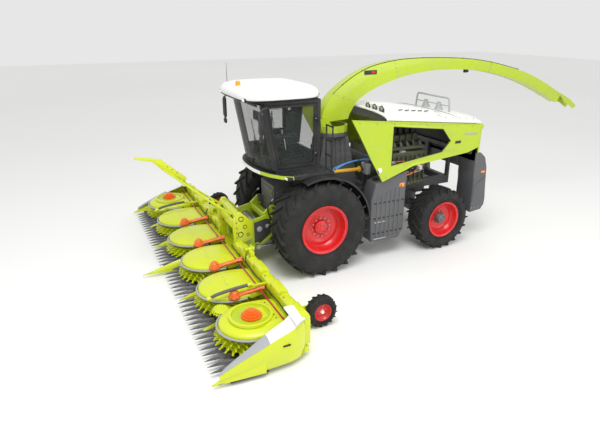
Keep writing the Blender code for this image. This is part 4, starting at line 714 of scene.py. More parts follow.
def addFingers(bm, x0, x1, slot, blade):
    step = header["pitch"] / header["fingersPerPitch"]
    count = int((x1 - x0) / step)
    first = x0 + ((x1 - x0) - (count - 1) * step) / 2
    one = fingerShape()
    bmesh.ops.translate(one, verts=one.verts, vec=(first, 0, 0))
    addRow(bm, one, count, (step, 0, 0), greyPaint, slot)
    # shorter lifters between them, set back and higher
    one = fingerShape()
    bmesh.ops.scale(one, verts=one.verts, vec=(0.8, 0.62, 0.9),
        space=Matrix.Translation(-here(0, -2.64, 0.06)))
    bmesh.ops.translate(one, verts=one.verts, vec=(first + step / 2, 0.02, 0.045))
    addRow(bm, one, count - 1, (step, 0, 0), greyPaint, slot)
    # the knife plates under the covers
    one = bmesh.new()
    addPrism(one, [(first - 0.045, -2.70), (first + 0.045, -2.70), (first + 0.06, -2.46),
        (first - 0.06, -2.46)], "Z", 0.118, 0.126)
    addRow(bm, one, count, (step, 0, 0), bareSteel, blade)
    addBolts(bm, (first, -2.52, 0.126), (step, 0, 0), count, "Z", 1, 0.009, blade)


def addNoseWedge(bm, x, tip, half, top, slot, dark):
    # a ridged crop divider with a wear strip
    back = -2.46
    rings = []
    for share in (0, 0.12, 0.3, 0.5, 0.7, 0.88, 1.0):
        y = back + (tip - back) * share
        w = half * (1 - share) ** 0.75 + 0.004
        h = 0.07 + (top - 0.07) * (1 - share) ** 0.85
        step = 0.012 * (1 if 0.1 < share < 0.6 else 0)
        rings.append([here(x - w, y, 0.075), here(x + w, y, 0.075), here(x + w, y, h * 0.55 + 0.04),
            here(x + w * 0.4, y, h - 0.01), here(x, y, h + step), here(x - w * 0.4, y, h - 0.01),
            here(x - w, y, h * 0.55 + 0.04)])
    addLoft(bm, rings, slot)
    strip = [here(x + 0.001, back + (tip - back) * s,
        0.07 + (top - 0.07) * (1 - s) ** 0.85 + 0.014) for s in (0.2, 0.3, 0.4, 0.5, 0.58)]
    addTube(bm, strip, 0.006, 8, dark)


def addSectionFrame(bm, x0, x1, slot, dark, steel, cable):
    # the rear beam as stepped folded boxes, bolted covers, slots and a cable run
    y0, y1 = header["beamY"]
    low, high = header["beamZ"]
    addBox(bm, (x0, x1), (y0 + 0.02, y1), (low, high - 0.12), slot, 0.008)
    count = max(2, round((x1 - x0) / 0.42))
    step = (x1 - x0) / count
    for k in range(count):
        a, b = x0 + k * step + 0.006, x0 + (k + 1) * step - 0.006
        tall = high if k % 2 else high - 0.05
        outline = [(y0 - 0.03, low + 0.26), (y0, tall - 0.04), (y0 + 0.05, tall), (y1 - 0.03, tall),
            (y1 - 0.002, tall - 0.06), (y1 - 0.002, low + 0.30)]
        addPrism(bm, outline, "X", a, b, slot, 0.007)
        # stiffening pressing and slot on the back face
        addBox(bm, (a + 0.05, b - 0.05), (y1 - 0.010, y1 + 0.004), (low + 0.06, low + 0.20), slot, 0.004)
        addBox(bm, (a + 0.10, b - 0.10), (y1 - 0.004, y1 + 0.006), (low + 0.42, low + 0.445), dark, 0.002)
        addBox(bm, (a + 0.04, a + 0.10), (y0 + 0.06, y0 + 0.12), (tall - 0.004, tall + 0.010), slot, 0.003)
    addBolts(bm, (x0 + step * 0.2, y1, low + 0.36), (step, 0, 0), count, "Y", 1, 0.012, steel)
    addBolts(bm, (x0 + step * 0.8, y1, low + 0.36), (step, 0, 0), count, "Y", 1, 0.012, steel)
    addBolts(bm, (x0 + step * 0.3, y0 + 0.03, high - 0.052), (step, 0, 0), count, "Z", 1, 0.010, steel)
    line = [here(x0 + 0.03 + (x1 - x0 - 0.06) * k / 12, y0 - 0.045,
        0.615 + 0.012 * math.sin(k * 1.7)) for k in range(13)]
    addTube(bm, smoothPath(line, 3), 0.011, 8, cable)
    # floor tray with a front lip
    floor = header["floor"]
    addPrism(bm, [(-2.42, floor[0]), (y1 - 0.02, floor[0]), (y1 - 0.02, floor[1]), (-2.36, floor[1] - 0.02)],
        "X", x0, x1, slot, 0.005)
    addBox(bm, (x0, x1), (-2.68, -2.40), (0.075, 0.115), dark, 0.004)
    # skid shoes under the tray
    for k in range(count):
        a = x0 + (k + 0.5) * step
        addPrism(bm, [(-2.5, 0.085), (-2.4, 0.065), (-1.7, 0.065), (-1.6, 0.085)], "X", a - 0.04, a + 0.04,
            steel, 0.003)


def addGuideBar(bm, x, slot, ends):
    # a graphite stalk guide with painted end castings
    path = [here(x, -2.70, 0.60), here(x + 0.01, -2.55, 0.655), here(x + 0.01, -2.25, 0.69),
        here(x, -1.98, 0.70)]
    addTube(bm, smoothPath(path, 5), 0.030, 12, slot)
    for place, size in ((path[0], 0.036), (path[-1], 0.036)):
        addLathe(bm, [(0, -0.04), (size, -0.04), (size * 1.15, 0), (size, 0.04), (0, 0.04)], place, "Y", 1,
            14, ends)
    addBox(bm, (x - 0.02, x + 0.02), (-2.02, -1.66), (0.64, 0.68), ends, 0.005)


headerFinishes = [headerPaint, greyPaint, bareSteel, orangePaint, hoseRubber, lightGreyPaint, darkRedPaint,
    whitePaint, darkTrim, limePaint, redPaint]
(paintSlot, graphiteSlot, steelSlot, orangeSlot, rubberSlot, tubeSlot, shaftSlot, whiteSlot,
 trimSlot, oliveSlot, redSlot) = range(11)


def makeHeaderCentre():
    bm = bmesh.new()
    half = header["pitch"] - 0.004
    y0, y1 = header["beamY"]
    for a, b in ((-half, -0.46), (0.46, half)):
        addSectionFrame(bm, a, b, paintSlot, rubberSlot, steelSlot, rubberSlot)
    addFingers(bm, -half + 0.02, half - 0.02, graphiteSlot, steelSlot)
    for x in (-0.625, 0.625):
        addLobe(bm, x, paintSlot, oliveSlot)
        addGuardTube(bm, x, tubeSlot, rubberSlot)
    for x in (-0.05, 1.14):
        addGearStack(bm, x, header["rotorY"] + 0.02, 0.50, 0.105, orangeSlot, steelSlot)
        addArm(bm, x, orangeSlot)
    addTube(bm, [here(-1.2, -1.80, 0.575), here(1.2, -1.80, 0.575)], 0.016, 10, shaftSlot)
    # floor and sill between the two halves
    addBox(bm, (-0.47, 0.47), (y0, y1), (header["beamZ"][0], 0.45), paintSlot, 0.006)
    addBox(bm, (-0.47, 0.47), (-2.42, y1), header["floor"], paintSlot, 0.005)
    addBox(bm, (-0.47, 0.47), (-2.68, -2.40), (0.075, 0.115), graphiteSlot, 0.004)
    # side cheeks of the mouth, with lightening holes
    for side in (1, -1):
        xs = sorted((side * 0.48, side * 0.58))
        cheek = [(y0, 0.45), (y0, 1.16), (y0 + 0.10, 1.33), (y1, 1.33), (y1 + 0.23, 1.10), (y1 + 0.23, 0.72),
            (y1, 0.66), (y1, 0.45)]
        addPrism(bm, cheek, "X", xs[0], xs[1], paintSlot, 0.008)
        for y, z, r in ((-1.50, 1.20, 0.045), (-1.42, 1.02, 0.035), (-1.52, 0.86, 0.05),
                (-1.36, 0.84, 0.028)):
            for face, way in ((xs[1], 1), (xs[0], -1)):
                addLathe(bm, [(r * 1.25, 0.0), (r * 1.2, 0.006), (r, 0.006), (r * 0.9, -0.002), (0, -0.002)],
                    here(face, y, z), "X", way, 20, rubberSlot)
        addBolts(bm, (side * 0.58, -1.60, 0.80), (0, 0, 0.11), 4, "X", side, 0.013, steelSlot)
    addBox(bm, (-0.5, 0.5), (y0 + 0.05, y1), (1.17, 1.30), paintSlot, 0.01)
    addBolts(bm, (-0.42, y0 + 0.05, 1.235), (0.14, 0, 0), 7, "Y", -1, 0.011, steelSlot)
    addBox(bm, (-0.47, 0.47), (y0, y0 + 0.04), (0.98, 1.18), paintSlot, 0.006)
    # tall centre divider with a dark inlay
    addNoseWedge(bm, 0, -3.47, 0.085, 0.34, paintSlot, rubberSlot)
    # the push bar: two bowed tubes and a folded deflector
    knee = (0, -2.87, 2.29)
    for side in (1, -1):
        bow = [here(side * 0.34, y0 + 0.08, 1.22), here(side * 0.26, -1.98, 1.52),
            here(side * 0.13, -2.42, 1.90), here(side * 0.06, -2.70, 2.14),
            here(side * 0.045, knee[1], knee[2])]
        addTube(bm, smoothPath(bow, 5), 0.024, 12, paintSlot)
        addLathe(bm, [(0, -0.02), (0.05, -0.02), (0.05, 0.02), (0, 0.02)], bow[0], "X", side, 16, rubberSlot)
    for share in (0.3, 0.55, 0.78):
        y = y0 + 0.08 + (knee[1] - y0) * share
        z = 1.22 + (knee[2] - 1.22) * share - 0.02
        w = 0.34 - 0.30 * share
        addTube(bm, [here(-w, y, z), here(w, y, z)], 0.014, 8, paintSlot)
    wing = [(-2.45, 1.98), (-2.41, 2.05), (-2.86, 2.46), (-3.06, 2.515), (-3.36, 2.565), (-3.37, 2.53),
        (-3.06, 2.46), (-2.89, 2.28)]
    addPrism(bm, wing, "X", -0.055, 0.055, paintSlot, 0.008)
    addBolts(bm, (0.055, -2.60, 2.19), (0, -0.09, 0.07), 3, "X", 1, 0.009, steelSlot)
    # hinge lugs for the folding wings
    for side in (1, -1):
        for a, b in ((y0, y0 + 0.04), (y1 - 0.04, y1)):
            addLathe(bm, [(0, a), (0.039, a), (0.039, b), (0, b)], (side * header["pitch"], axleY, 0.83), "Y",
                1, 20, paintSlot)
            xs = sorted((side * (header["pitch"] - 0.16), side * (header["pitch"] - 0.01)))
            addBox(bm, xs, (a + 0.001, b - 0.001), (0.74, 0.855), paintSlot, 0.006)
        addLathe(bm, [(0, y0 + 0.02), (0.021, y0 + 0.02), (0.021, y1 - 0.02), (0, y1 - 0.02)],
            (side * header["pitch"], axleY, 0.83), "Y", 1, 16, steelSlot)
    return finishPiece(bm, "header_centre_formed", "header", headerFinishes, 35,
        ["header_centre"])


def addEndShell(bm, side):
    # the wrapped end: a painted outer shield, a blank white band fading to graphite, and a long nose
    spine = [(3.40, -1.50, 0.74, 0.26), (3.66, -1.52, 0.73, 0.25), (3.82, -1.62, 0.71, 0.24),
        (3.905, -1.82, 0.66, 0.24), (3.93, -2.10, 0.58, 0.22), (3.93, -2.38, 0.47, 0.18),
        (3.915, -2.62, 0.37, 0.13), (3.90, -2.84, 0.27, 0.09), (3.885, -3.00, 0.185, 0.05)]
    smooth = smoothPath([Vector((x, y, z)) for x, y, z, w in spine], 5)
    widths = smoothPath([Vector((w, 0, 0)) for x, y, z, w in spine], 5)
    shield, band = [], []
    for k, (p, w) in enumerate(zip(smooth, widths)):
        ahead = (smooth[min(k + 1, len(smooth) - 1)] - smooth[max(k - 1, 0)]).normalized()
        inward = Vector((-ahead.y, ahead.x, 0)).normalized()
        if inward.x > 0 and k > 8:
            inward = -inward
        if k <= 8:
            inward = Vector((inward.x, -abs(inward.y), 0)) if inward.y > 0 else inward
        base, top = 0.085, p.z
        line = []
        for t, out in ((0.0, -0.05), (0.25, -0.012), (0.55, 0.0), (0.85, -0.010), (1.0, -0.03)):
            line.append(p - inward * out + Vector((0, 0, base + (top - base) * t - p.z)))
        thick = [q + inward * 0.02 for q in reversed(line)]
        shield.append([here(side * q.x, q.y, q.z) for q in line + thick])
        a = line[-1] + inward * 0.004 + Vector((0, 0, 0.004))
        b = a + inward * w.x + Vector((0, 0, 0.045 * w.x / 0.26))
        mid = (a + b) / 2 + Vector((0, 0, 0.022))
        band.append([here(side * q.x, q.y, q.z) for q in (a, mid, b, b - Vector((0, 0, 0.02)),
            mid - Vector((0, 0, 0.02)), a - Vector((0, 0, 0.02)))])
    addLoft(bm, shield, paintSlot)
    split = len(band) * 5 // 9
    addLoft(bm, band[:split + 1], whiteSlot)
    addLoft(bm, band[split:], tubeSlot)
    # an inset slot low on the shield
    slot = sorted((side * 3.915, side * 3.938))
    addBox(bm, slot, (-2.02, -1.90), (0.44, 0.462), rubberSlot, 0.004)
    # long outer nose with a rubber skid below
    rings = []
    for share in (0, 0.15, 0.35, 0.55, 0.75, 0.9, 1.0):
        y = -2.30 + (-3.115 + 2.30) * share
        w = 0.085 * (1 - share) ** 0.7 + 0.006
        h = 0.09 + 0.30 * (1 - share) ** 1.1
        x = side * (3.845 + 0.02 * share)
        rings.append([here(x - w, y, 0.078), here(x + w, y, 0.078), here(x + w, y, h * 0.6),
            here(x + w * 0.3, y, h), here(x - w * 0.3, y, h), here(x - w, y, h * 0.6)])
    addLoft(bm, rings, paintSlot)
    addBox(bm, sorted((side * 3.79, side * 3.90)), (-2.85, -2.25), (0.045, 0.078), rubberSlot, 0.008)


def makeHeaderWing(label, side):
    bm = bmesh.new()
    y0, y1 = header["beamY"]
    node = "header_wing_" + label
    inner, outer = header["pitch"] + 0.004, header["pitch"] * 3
    x0, x1 = sorted((side * inner, side * outer))
    addSectionFrame(bm, x0, x1, paintSlot, rubberSlot, steelSlot, rubberSlot)
    addFingers(bm, x0 + 0.02, x1 - 0.02, graphiteSlot, steelSlot)
    first, last = side * header["pitch"] * 1.5, side * header["pitch"] * 2.5
    addLobe(bm, first, paintSlot, oliveSlot)
    addGuardTube(bm, first, tubeSlot, rubberSlot)
    addTube(bm, [here(x0 + 0.03, -1.80, 0.575), here(x1 - 0.05, -1.80, 0.575)], 0.016, 10, shaftSlot)
    nearSide = 0.5 if side > 0 else 0.55
    addGearStack(bm, first + nearSide * 0.94, header["rotorY"] + 0.02, 0.50, 0.105, orangeSlot, steelSlot)
    addArm(bm, first + nearSide * 0.94, orangeSlot)
    # a toothed infeed disc beside the outer bay
    for z, r in ((0.47, 0.20), (0.50, 0.17)):
        outline = []
        for i in range(18):
            for share, radius in ((0.0, r * 0.82), (0.35, r), (0.55, r * 0.98), (0.7, r * 0.82)):
                a = 2 * math.pi * (i + share) / 18
                outline.append((side * 2.62 + radius * math.cos(a), -2.58 + radius * math.sin(a) * 0.8))
        addPrism(bm, outline, "Z", z, z + 0.012, paintSlot)
    # outer bay: the cover is cut open round its gears
    addLobe(bm, last, paintSlot, oliveSlot)
    addOuterBay(bm, last, side)
    addGuardTube(bm, last, tubeSlot, rubberSlot)
    addEndShell(bm, side)
    addGuideBar(bm, side * 2.36, graphiteSlot, paintSlot)
    for x in (inner + 0.05, header["pitch"] * 2):
        addNoseWedge(bm, side * x, -3.02, 0.05, 0.27, paintSlot, rubberSlot)
    # hinge knuckle
    a, b = y0 + 0.048, y1 - 0.048
    addLathe(bm, [(0.0225, a), (0.039, a), (0.039, b), (0.0225, b)], (side * header["pitch"], axleY, 0.83),
        "Y", 1, 20, paintSlot)
    addBox(bm, sorted((side * (inner + 0.035), side * (inner + 0.155))), (a, b), (0.73, 0.83), paintSlot,
        0.006)
    # gauge wheel carrier
    addPrism(bm, [(y1 - 0.01, 0.24), (-0.885, 0.25), (-0.875, 0.33), (y1 - 0.01, 0.35)], "X",
        *sorted((side * 2.85, side * 2.91)), paintSlot, 0.01)
    addTube(bm, [here(side * 2.88, -0.93, 0.29), here(side * 2.949, -0.93, 0.29)], 0.034, 14, steelSlot)
    addBolts(bm, (side * 2.91, -1.40, 0.30), (0, 0.07, 0), 3, "X", side, 0.010, steelSlot)
    # hanging service hose at the folding joint
    loop = [here(side * 1.36, y0 - 0.02, 0.80), here(side * 1.40, y0 - 0.05, 0.72),
        here(side * 1.46, y0 - 0.06, 0.66), here(side * 1.60, y0 - 0.05, 0.62)]
    addTube(bm, smoothPath(loop, 6), 0.012, 8, rubberSlot)
    return finishPiece(bm, node + "_formed", node, headerFinishes, 35, [node])


def addOuterBay(bm, x, side):
    # a raised rim, an olive well and the gears inside it
    y, low, high = -2.24, header["lobeHigh"] + 0.001, header["lobeHigh"] + 0.03
    rim = []
    for radius, z in ((0.36, low - 0.02), (0.355, high - 0.006), (0.335, high), (0.315, high - 0.004),
            (0.31, low - 0.01), (0.0, low - 0.008)):
        rim.append((radius, z))
    addLathe(bm, rim, here(x, y, 0), "Z", 1, 48, paintSlot)
    addLathe(bm, [(0.309, low - 0.004), (0.0, low - 0.002)], here(x, y, 0), "Z", 1, 48, oliveSlot)
    z = low
    for radius, tall, teeth in ((0.17, 0.034, 30), (0.14, 0.032, 26), (0.105, 0.03, 20), (0.07, 0.024, 14)):
        outline = []
        for i in range(teeth):
            for share, r in ((0.0, radius * 0.92), (0.25, radius), (0.5, radius), (0.75, radius * 0.92)):
                a = 2 * math.pi * (i + share) / teeth
                outline.append((x + side * 0.04 + r * math.cos(a), y + r * math.sin(a)))
        addPrism(bm, outline, "Z", z, z + tall - 0.006, orangeSlot)
        addLathe(bm, [(0, tall - 0.006), (radius * 0.84, tall - 0.006), (radius * 0.84, tall), (0, tall)],
            here(x + side * 0.04, y, z), "Z", 1, 24, orangeSlot)
        z += tall
    addBolts(bm, (x - 0.25, y + 0.34, high - 0.02), (0.1, 0, 0), 6, "Z", 1, 0.009, steelSlot)


def makeRotor(label, side, number):
    # three hooked feed discs on a hub, over a toothed knife disc
    node = "rotor_{}_{}".format(label, number)
    bm = bmesh.new()
    x, y = side * header["pitch"] * (number - 0.5), header["rotorY"]
    teeth = header["teeth"]
    for z, radius, thick, lead in ((0.225, 0.578, 0.010, 0.0), (0.29, 0.565, 0.012, 0.35),
            (0.365, 0.545, 0.012, 0.7)):
        outline = []
        for i in range(teeth):
            for share, r in ((0.0, 0.80), (0.30, 0.86), (0.62, 1.0), (0.80, 0.985), (0.66, 0.84),
                    (0.72, 0.80)):
                a = 2 * math.pi * (i + share + lead) / teeth * side
                outline.append((x + radius * r * math.cos(a), y + radius * r * math.sin(a)))
        addPrism(bm, outline, "Z", z, z + thick, 0)
    addLathe(bm, [(0.057, 0.212), (0.24, 0.212), (0.44, 0.222), (0.44, 0.240), (0.20, 0.26), (0.18, 0.38),
        (0.12, 0.398), (0.057, 0.398)], here(x, y, 0), "Z", 1, 40, 0)
    for k in range(8):
        a = 2 * math.pi * k / 8
        addLathe(bm, [(0, 0), (0.012, 0), (0.012, 0.012), (0, 0.013)],
            here(x + 0.30 * math.cos(a), y + 0.30 * math.sin(a), 0.236), "Z", 1, 6, 1)
    return finishPiece(bm, node + "_toothed", node, [headerPaint, bareSteel], 30, [node])


makeHeaderCentre()
for label, side in (("left", 1), ("right", -1)):
    makeHeaderWing(label, side)
    for number in (1, 2, 3):
        makeRotor(label, side, number)
print("maize header made")


# drive line, intake and running gear

driveFinishes = [darkTrim, castSteel, bareSteel, orangePaint, yellowPaint, bluePaint, darkRedPaint, limePaint,
    greyPaint, hoseRubber, lightGreyPaint, redPaint, blackPlastic]
(casingDark, castIron, brightSteel, shaftOrange, shaftYellow, hoseBlue, valveRed, feederLime,
 coverGrey, beltBlack, pulleyGrey, driveRed, clampBlack) = range(13)

driveLine = {"shaftX": 0.66, "upperRadius": 0.040, "upperJoint": 0.074,
    "lowerRadius": 0.045, "lowerJoint": 0.083,
    "upperPath": [(-0.66, 1.44), (-0.20, 1.85), (0.03, 1.95), (0.28, 1.97), (0.54, 1.97), (1.28, 1.95)],
    "lowerPath": [(-0.84, 0.66), (-0.30, 0.665), (0.36, 0.74), (0.94, 0.90)],
    "pulleys": ((-0.42, 1.24, 0.248), (0.12, 1.50, 0.079), (0.28, 1.80, 0.119)),
    "pumpX": (0.55, 0.79), "pumpY": (1.342, 1.682), "pumpZ": (1.83, 2.07),
    "frontRoll": (-1.33, 0.80), "rearRoll": (-1.06, 0.86)}


def addCardan(bm, path, radius, joint, slot, shield):
    # tubes between universal joints, each joint a bell over a cross
    points = [here(driveLine["shaftX"], y, z) for y, z in path]
    for k in range(len(points) - 1):
        way = (points[k + 1] - points[k]).normalized()
        addTube(bm, [points[k] + way * joint * 0.8, points[k + 1] - way * joint * 0.8], radius * 0.96, 20,
            slot)
        for end, sign in ((points[k], 1), (points[k + 1], -1)):
            rings = [(0.0, 0.42), (0.25, 0.62), (0.55, 0.90), (0.8, 0.95), (0.9, 0.80), (1.0, 0.5)]
            addTube(bm, [end + way * sign * joint * (0.12 + 0.8 * t) for t, _ in rings],
                [joint * share for _, share in rings], 20, slot)
    for point in points:
        addLathe(bm, [(0, -joint * 0.9), (joint * 0.3, -joint * 0.9), (joint * 0.3, joint * 0.9),
            (0, joint * 0.9)], point, "X", 1, 14, shield)
        addTube(bm, [point - Vector((0, 0, joint * 0.75)), point + Vector((0, 0, joint * 0.75))], joint * 0.3,
            12, shield)


def makeCardans():
    upper = bmesh.new()
    addCardan(upper, driveLine["upperPath"], driveLine["upperRadius"], driveLine["upperJoint"],
        shaftYellow, beltBlack)
    finishPiece(upper, "upper_driveshaft_shafts", "chassis", driveFinishes, 40,
        ["upper_driveshaft"])
    lower = bmesh.new()
    addCardan(lower, driveLine["lowerPath"], driveLine["lowerRadius"], driveLine["lowerJoint"],
        shaftOrange, beltBlack)
    finishPiece(lower, "lower_driveshaft_shafts", "chassis", driveFinishes, 40,
        ["lower_driveshaft"])


def makeBeltDrive():
    bm = bmesh.new()
    for y, z, r in driveLine["pulleys"]:
        centre = here(0, y, z)
        profile = [(0.02, 0.482), (r * 0.80, 0.482), (r * 0.84, 0.488), (r, 0.486), (r, 0.496)]
        for k in range(5):
            profile += [(r - 0.006, 0.501 + 0.010 * k), (r - 0.001, 0.506 + 0.010 * k)]
        profile += [(r, 0.556), (r * 0.93, 0.568), (r * 0.88, 0.566), (r * 0.84, 0.535), (r * 0.42, 0.530),
            (r * 0.36, 0.566), (r * 0.18, 0.568), (0.001, 0.568)]
        addLathe(bm, profile, centre, "X", 1, 56, pulleyGrey)
        for k in range(6):
            a = math.pi * k / 3
            hole = Vector((0.536, r * 0.62 * math.cos(a), r * 0.62 * math.sin(a)))
            addLathe(bm, [(0, -0.003), (r * 0.15, -0.003), (r * 0.15, 0.002), (r * 0.12, 0.003), (0, 0.003)],
                centre + hole, "X", 1, 18, feederLime if r > 0.2 else casingDark)
            bolt = Vector((0.568, r * 0.27 * math.cos(a), r * 0.27 * math.sin(a)))
            addLathe(bm, [(0, -0.004), (r * 0.045, -0.004), (r * 0.045, 0.004), (0, 0.004)], centre + bolt,
                "X", 1, 6, brightSteel)
        addTube(bm, [centre + Vector((0.37, 0, 0)), centre + Vector((0.485, 0, 0))], min(0.058, r * 0.7), 20,
            castIron)
    # the belt wraps the big pulley and the top one
    outline = []
    for (y, z, r), first, last in (((-0.42, 1.24, 0.256)), 128, 312), (((0.28, 1.80, 0.127)), -48, 128):
        for k in range(19):
            a = math.radians(first + (last - first) * k / 18)
            outline.append((y + r * math.cos(a), z + r * math.sin(a)))
    count = len(outline)
    inner = []
    for k in range(count):
        a, b = outline[k - 1], outline[(k + 1) % count]
        d = math.hypot(b[0] - a[0], b[1] - a[1])
        inner.append((outline[k][0] - (b[1] - a[1]) / d * 0.009, outline[k][1] + (b[0] - a[0]) / d * 0.009))
    rings = [[here(x, y, z) for (y, z), x in ((o, 0.502), (o, 0.548), (i, 0.548), (i, 0.502))] for o,
        i in zip(outline, inner)]
    addLoft(bm, rings + rings[:1], beltBlack, caps=False)
    return finishPiece(bm, "belt_drive_pulleys", "chassis", driveFinishes, 40,
        ["main_belt_drive"])


def makePumps():
    bm = bmesh.new()
    (x0, x1), (y0, y1), (z0, z1) = driveLine["pumpX"], driveLine["pumpY"], driveLine["pumpZ"]
    addBox(bm, (x0, x1), (y0, y0 + 0.11), (z0, z1), pulleyGrey, 0.02, 3)
    addBox(bm, (x0 + 0.02, x1 - 0.02), (y0 + 0.10, y1 - 0.06), (z0 + 0.02, z1 - 0.03), coverGrey, 0.03, 3)
    addBox(bm, (x0 + 0.01, x1 - 0.01), (y1 - 0.07, y1), (z0 + 0.01, z1 - 0.01), castIron, 0.015, 3)
    one = bmesh.new()
    addBox(one, (x0, x1), (y0 + 0.125, y0 + 0.135), (z0 + 0.01, z1 - 0.02), 0, 0.003, 1)
    addRow(bm, one, 5, (0, 0.028, 0), greyPaint, coverGrey)
    addLathe(bm, [(0, 1.95), (0.058, 1.95), (0.058, 2.02), (0.044, 2.03), (0.044, 2.09), (0.055, 2.10),
        (0.055, 2.14), (0, 2.148)], here(0.66, 1.41, 0), "Z", 1, 28, coverGrey)
    addBolts(bm, (0.69, 1.345, 2.071), (0.06, 0, 0), 2, "Z", 1, 0.010, brightSteel)
    addBox(bm, (0.66, 0.995), (1.585, 1.755), (1.995, 2.075), valveRed, 0.012, 3)
    for k in range(4):
        centre = here(0.80 + 0.05 * k, 1.62, 2.03)
        addLathe(bm, [(0, 0.0), (0.018, 0.0), (0.018, 0.042), (0.010, 0.048), (0, 0.05)], centre, "Z", 1, 6,
            brightSteel)
        addLathe(bm, [(0, 0.0), (0.015, 0.0), (0.015, 0.045), (0, 0.048)], here(0.80 + 0.05 * k, 1.70, 2.03),
            "Z", 1, 12, valveRed if k % 2 else hoseBlue)
    return finishPiece(bm, "hydraulic_pumps_cast", "chassis", driveFinishes, 40,
        ["hydraulic_pumps"])


def makeHoses():
    # held hoses with pressed end fittings and clamps along their runs
    bm = bmesh.new()
    runs = [(hoseBlue, 0.016, [(0.84, -0.52, 2.02), (0.90, -0.25, 2.045), (0.93, 0.30, 2.05),
        (0.90, 0.78, 2.20), (0.88, 1.30, 2.22), (0.92, 1.60, 2.14)]),
        (hoseBlue, 0.013, [(0.70, -0.50, 1.98), (0.80, -0.20, 2.03), (0.82, 0.30, 2.04), (0.82, 0.78, 2.17),
        (0.80, 1.28, 2.19), (0.84, 1.60, 2.12)]), (shaftYellow, 0.015,
        [(0.96, 1.74, 2.03), (1.00, 1.95, 2.03), (1.01, 2.30, 2.04), (1.00, 2.60, 2.02), (0.92, 2.80, 1.96)]),
        (shaftYellow, 0.015, [(0.90, 1.745, 2.01), (0.95, 1.98, 1.99), (0.96, 2.35, 2.00), (0.95, 2.62, 1.97),
        (0.88, 2.80, 1.92)]), (shaftOrange, 0.013, [(0.62, 1.68, 1.90), (0.72, 1.85, 1.80),
        (0.86, 2.05, 1.72), (0.92, 2.40, 1.75), (0.86, 2.72, 1.85)]),
        (beltBlack, 0.014, [(0.42, -0.72, 1.46), (0.46, -0.86, 1.30), (0.47, -0.80, 1.05),
        (0.45, -0.66, 0.90)]), (beltBlack, 0.012, [(-0.42, -0.72, 1.46), (-0.46, -0.86, 1.30),
        (-0.47, -0.80, 1.05), (-0.45, -0.66, 0.90)]),]
    for slot, radius, path in runs:
        points = smoothPath([here(*p) for p in path], 6)
        addTube(bm, points, radius, 12, slot)
        for end, near in ((points[0], points[1]), (points[-1], points[-2])):
            way = (near - end).normalized()
            addTube(bm, [end - way * 0.01, end + way * 0.05], radius * 1.35, 12, brightSteel)
            addTube(bm, [end + way * 0.008, end + way * 0.026], radius * 1.75, 6, brightSteel)
        for k in range(len(points) // 4, len(points) - 4, 7):
            way = (points[k + 1] - points[k]).normalized()
            addTube(bm, [points[k], points[k] + way * 0.022], radius * 1.4, 12, clampBlack)
    return finishPiece(bm, "hydraulic_hoses", "chassis", driveFinishes, 50)


def makeFeedRoll(name, y, z):
    bm = bmesh.new()
    centre = here(0, y, z)
    addLathe(bm, [(0, -0.418), (0.112, -0.418), (0.118, -0.414), (0.118, -0.408), (0.088, -0.404),
        (0.088, 0.404), (0.118, 0.408), (0.118, 0.414), (0.112, 0.418), (0, 0.418)], centre, "X", 1, 48,
        brightSteel)
    for k in range(6):
        a = math.pi * k / 3
        turn = Matrix.Rotation(a, 4, "X")
        bar = [(0.082, -0.010), (0.119, -0.004), (0.119, 0.004), (0.082, 0.010)]
        rings = []
        for i in range(25):
            x = -0.405 + 0.81 * i / 24
            high = 0.0 if i % 2 == 0 else 0.006
            rings.append([centre + turn @ Vector((x, w, r - (high if r > 0.1 else 0))) for r, w in bar])
        addLoft(bm, rings, brightSteel)
    return finishPiece(bm, name + "_barred", name, driveFinishes, 30, [name])


def makeFeeder():
    bm = bmesh.new()
    plate = [(-0.745, 0.665), (-0.745, 1.095), (-0.90, 1.145), (-1.474, 1.016), (-1.474, 0.445),
        (-1.05, 0.465)]
    for side in (1, -1):
        addPrism(bm, plate, "X", side * 0.424, side * 0.458, feederLime, 0.006, 2)
        inset = [(-0.80, 0.72), (-0.80, 1.04), (-0.91, 1.075), (-1.18, 1.02), (-1.18, 0.56), (-1.05, 0.53)]
        addPrism(bm, inset, "X", side * 0.4585, side * 0.463, casingDark, 0.003)
        for y, z, r in ((-1.33, 0.80, 0.060), (-1.06, 0.86, 0.060), (-0.88, 0.90, 0.045)):
            addLathe(bm, [(0, 0.0), (r, 0.0), (r, 0.012), (r * 0.7, 0.020), (r * 0.4, 0.022), (0, 0.024)],
                here(side * 0.460, y, z), "X", side, 28, pulleyGrey)
            for k in range(6):
                a = math.pi * k / 3
                addLathe(bm, [(0, 0), (0.007, 0), (0.007, 0.006), (0, 0.006)],
                    here(side * 0.470, y + r * 0.78 * math.cos(a), z + r * 0.78 * math.sin(a)), "X", side, 6,
                    brightSteel)
        addBolts(bm, (side * 0.459, -1.44, 0.50), (0, 0, 0.08), 7, "X", side, 0.009, brightSteel)
    # roof sheet over the rear half, floor and the front flange
    addPrism(bm, [(-0.75, 1.055), (-0.75, 1.09), (-0.90, 1.14), (-0.935, 1.132), (-0.93, 1.10)], "X", -0.43,
        0.43, feederLime, 0.004)
    addPrism(bm, [(-0.75, 0.672), (-1.05, 0.470), (-1.47, 0.450), (-1.47, 0.486), (-1.06, 0.505),
        (-0.77, 0.70)], "X", -0.43, 0.43, casingDark, 0.004)
    one = bmesh.new()
    addBox(one, (-0.38, -0.365), (-0.93, -0.78), (1.085, 1.12), 0, 0.003, 1)
    addRow(bm, one, 11, (0.075, 0, 0), limePaint, feederLime)
    return finishPiece(bm, "feeder_house_plates", "header", driveFinishes, 35)


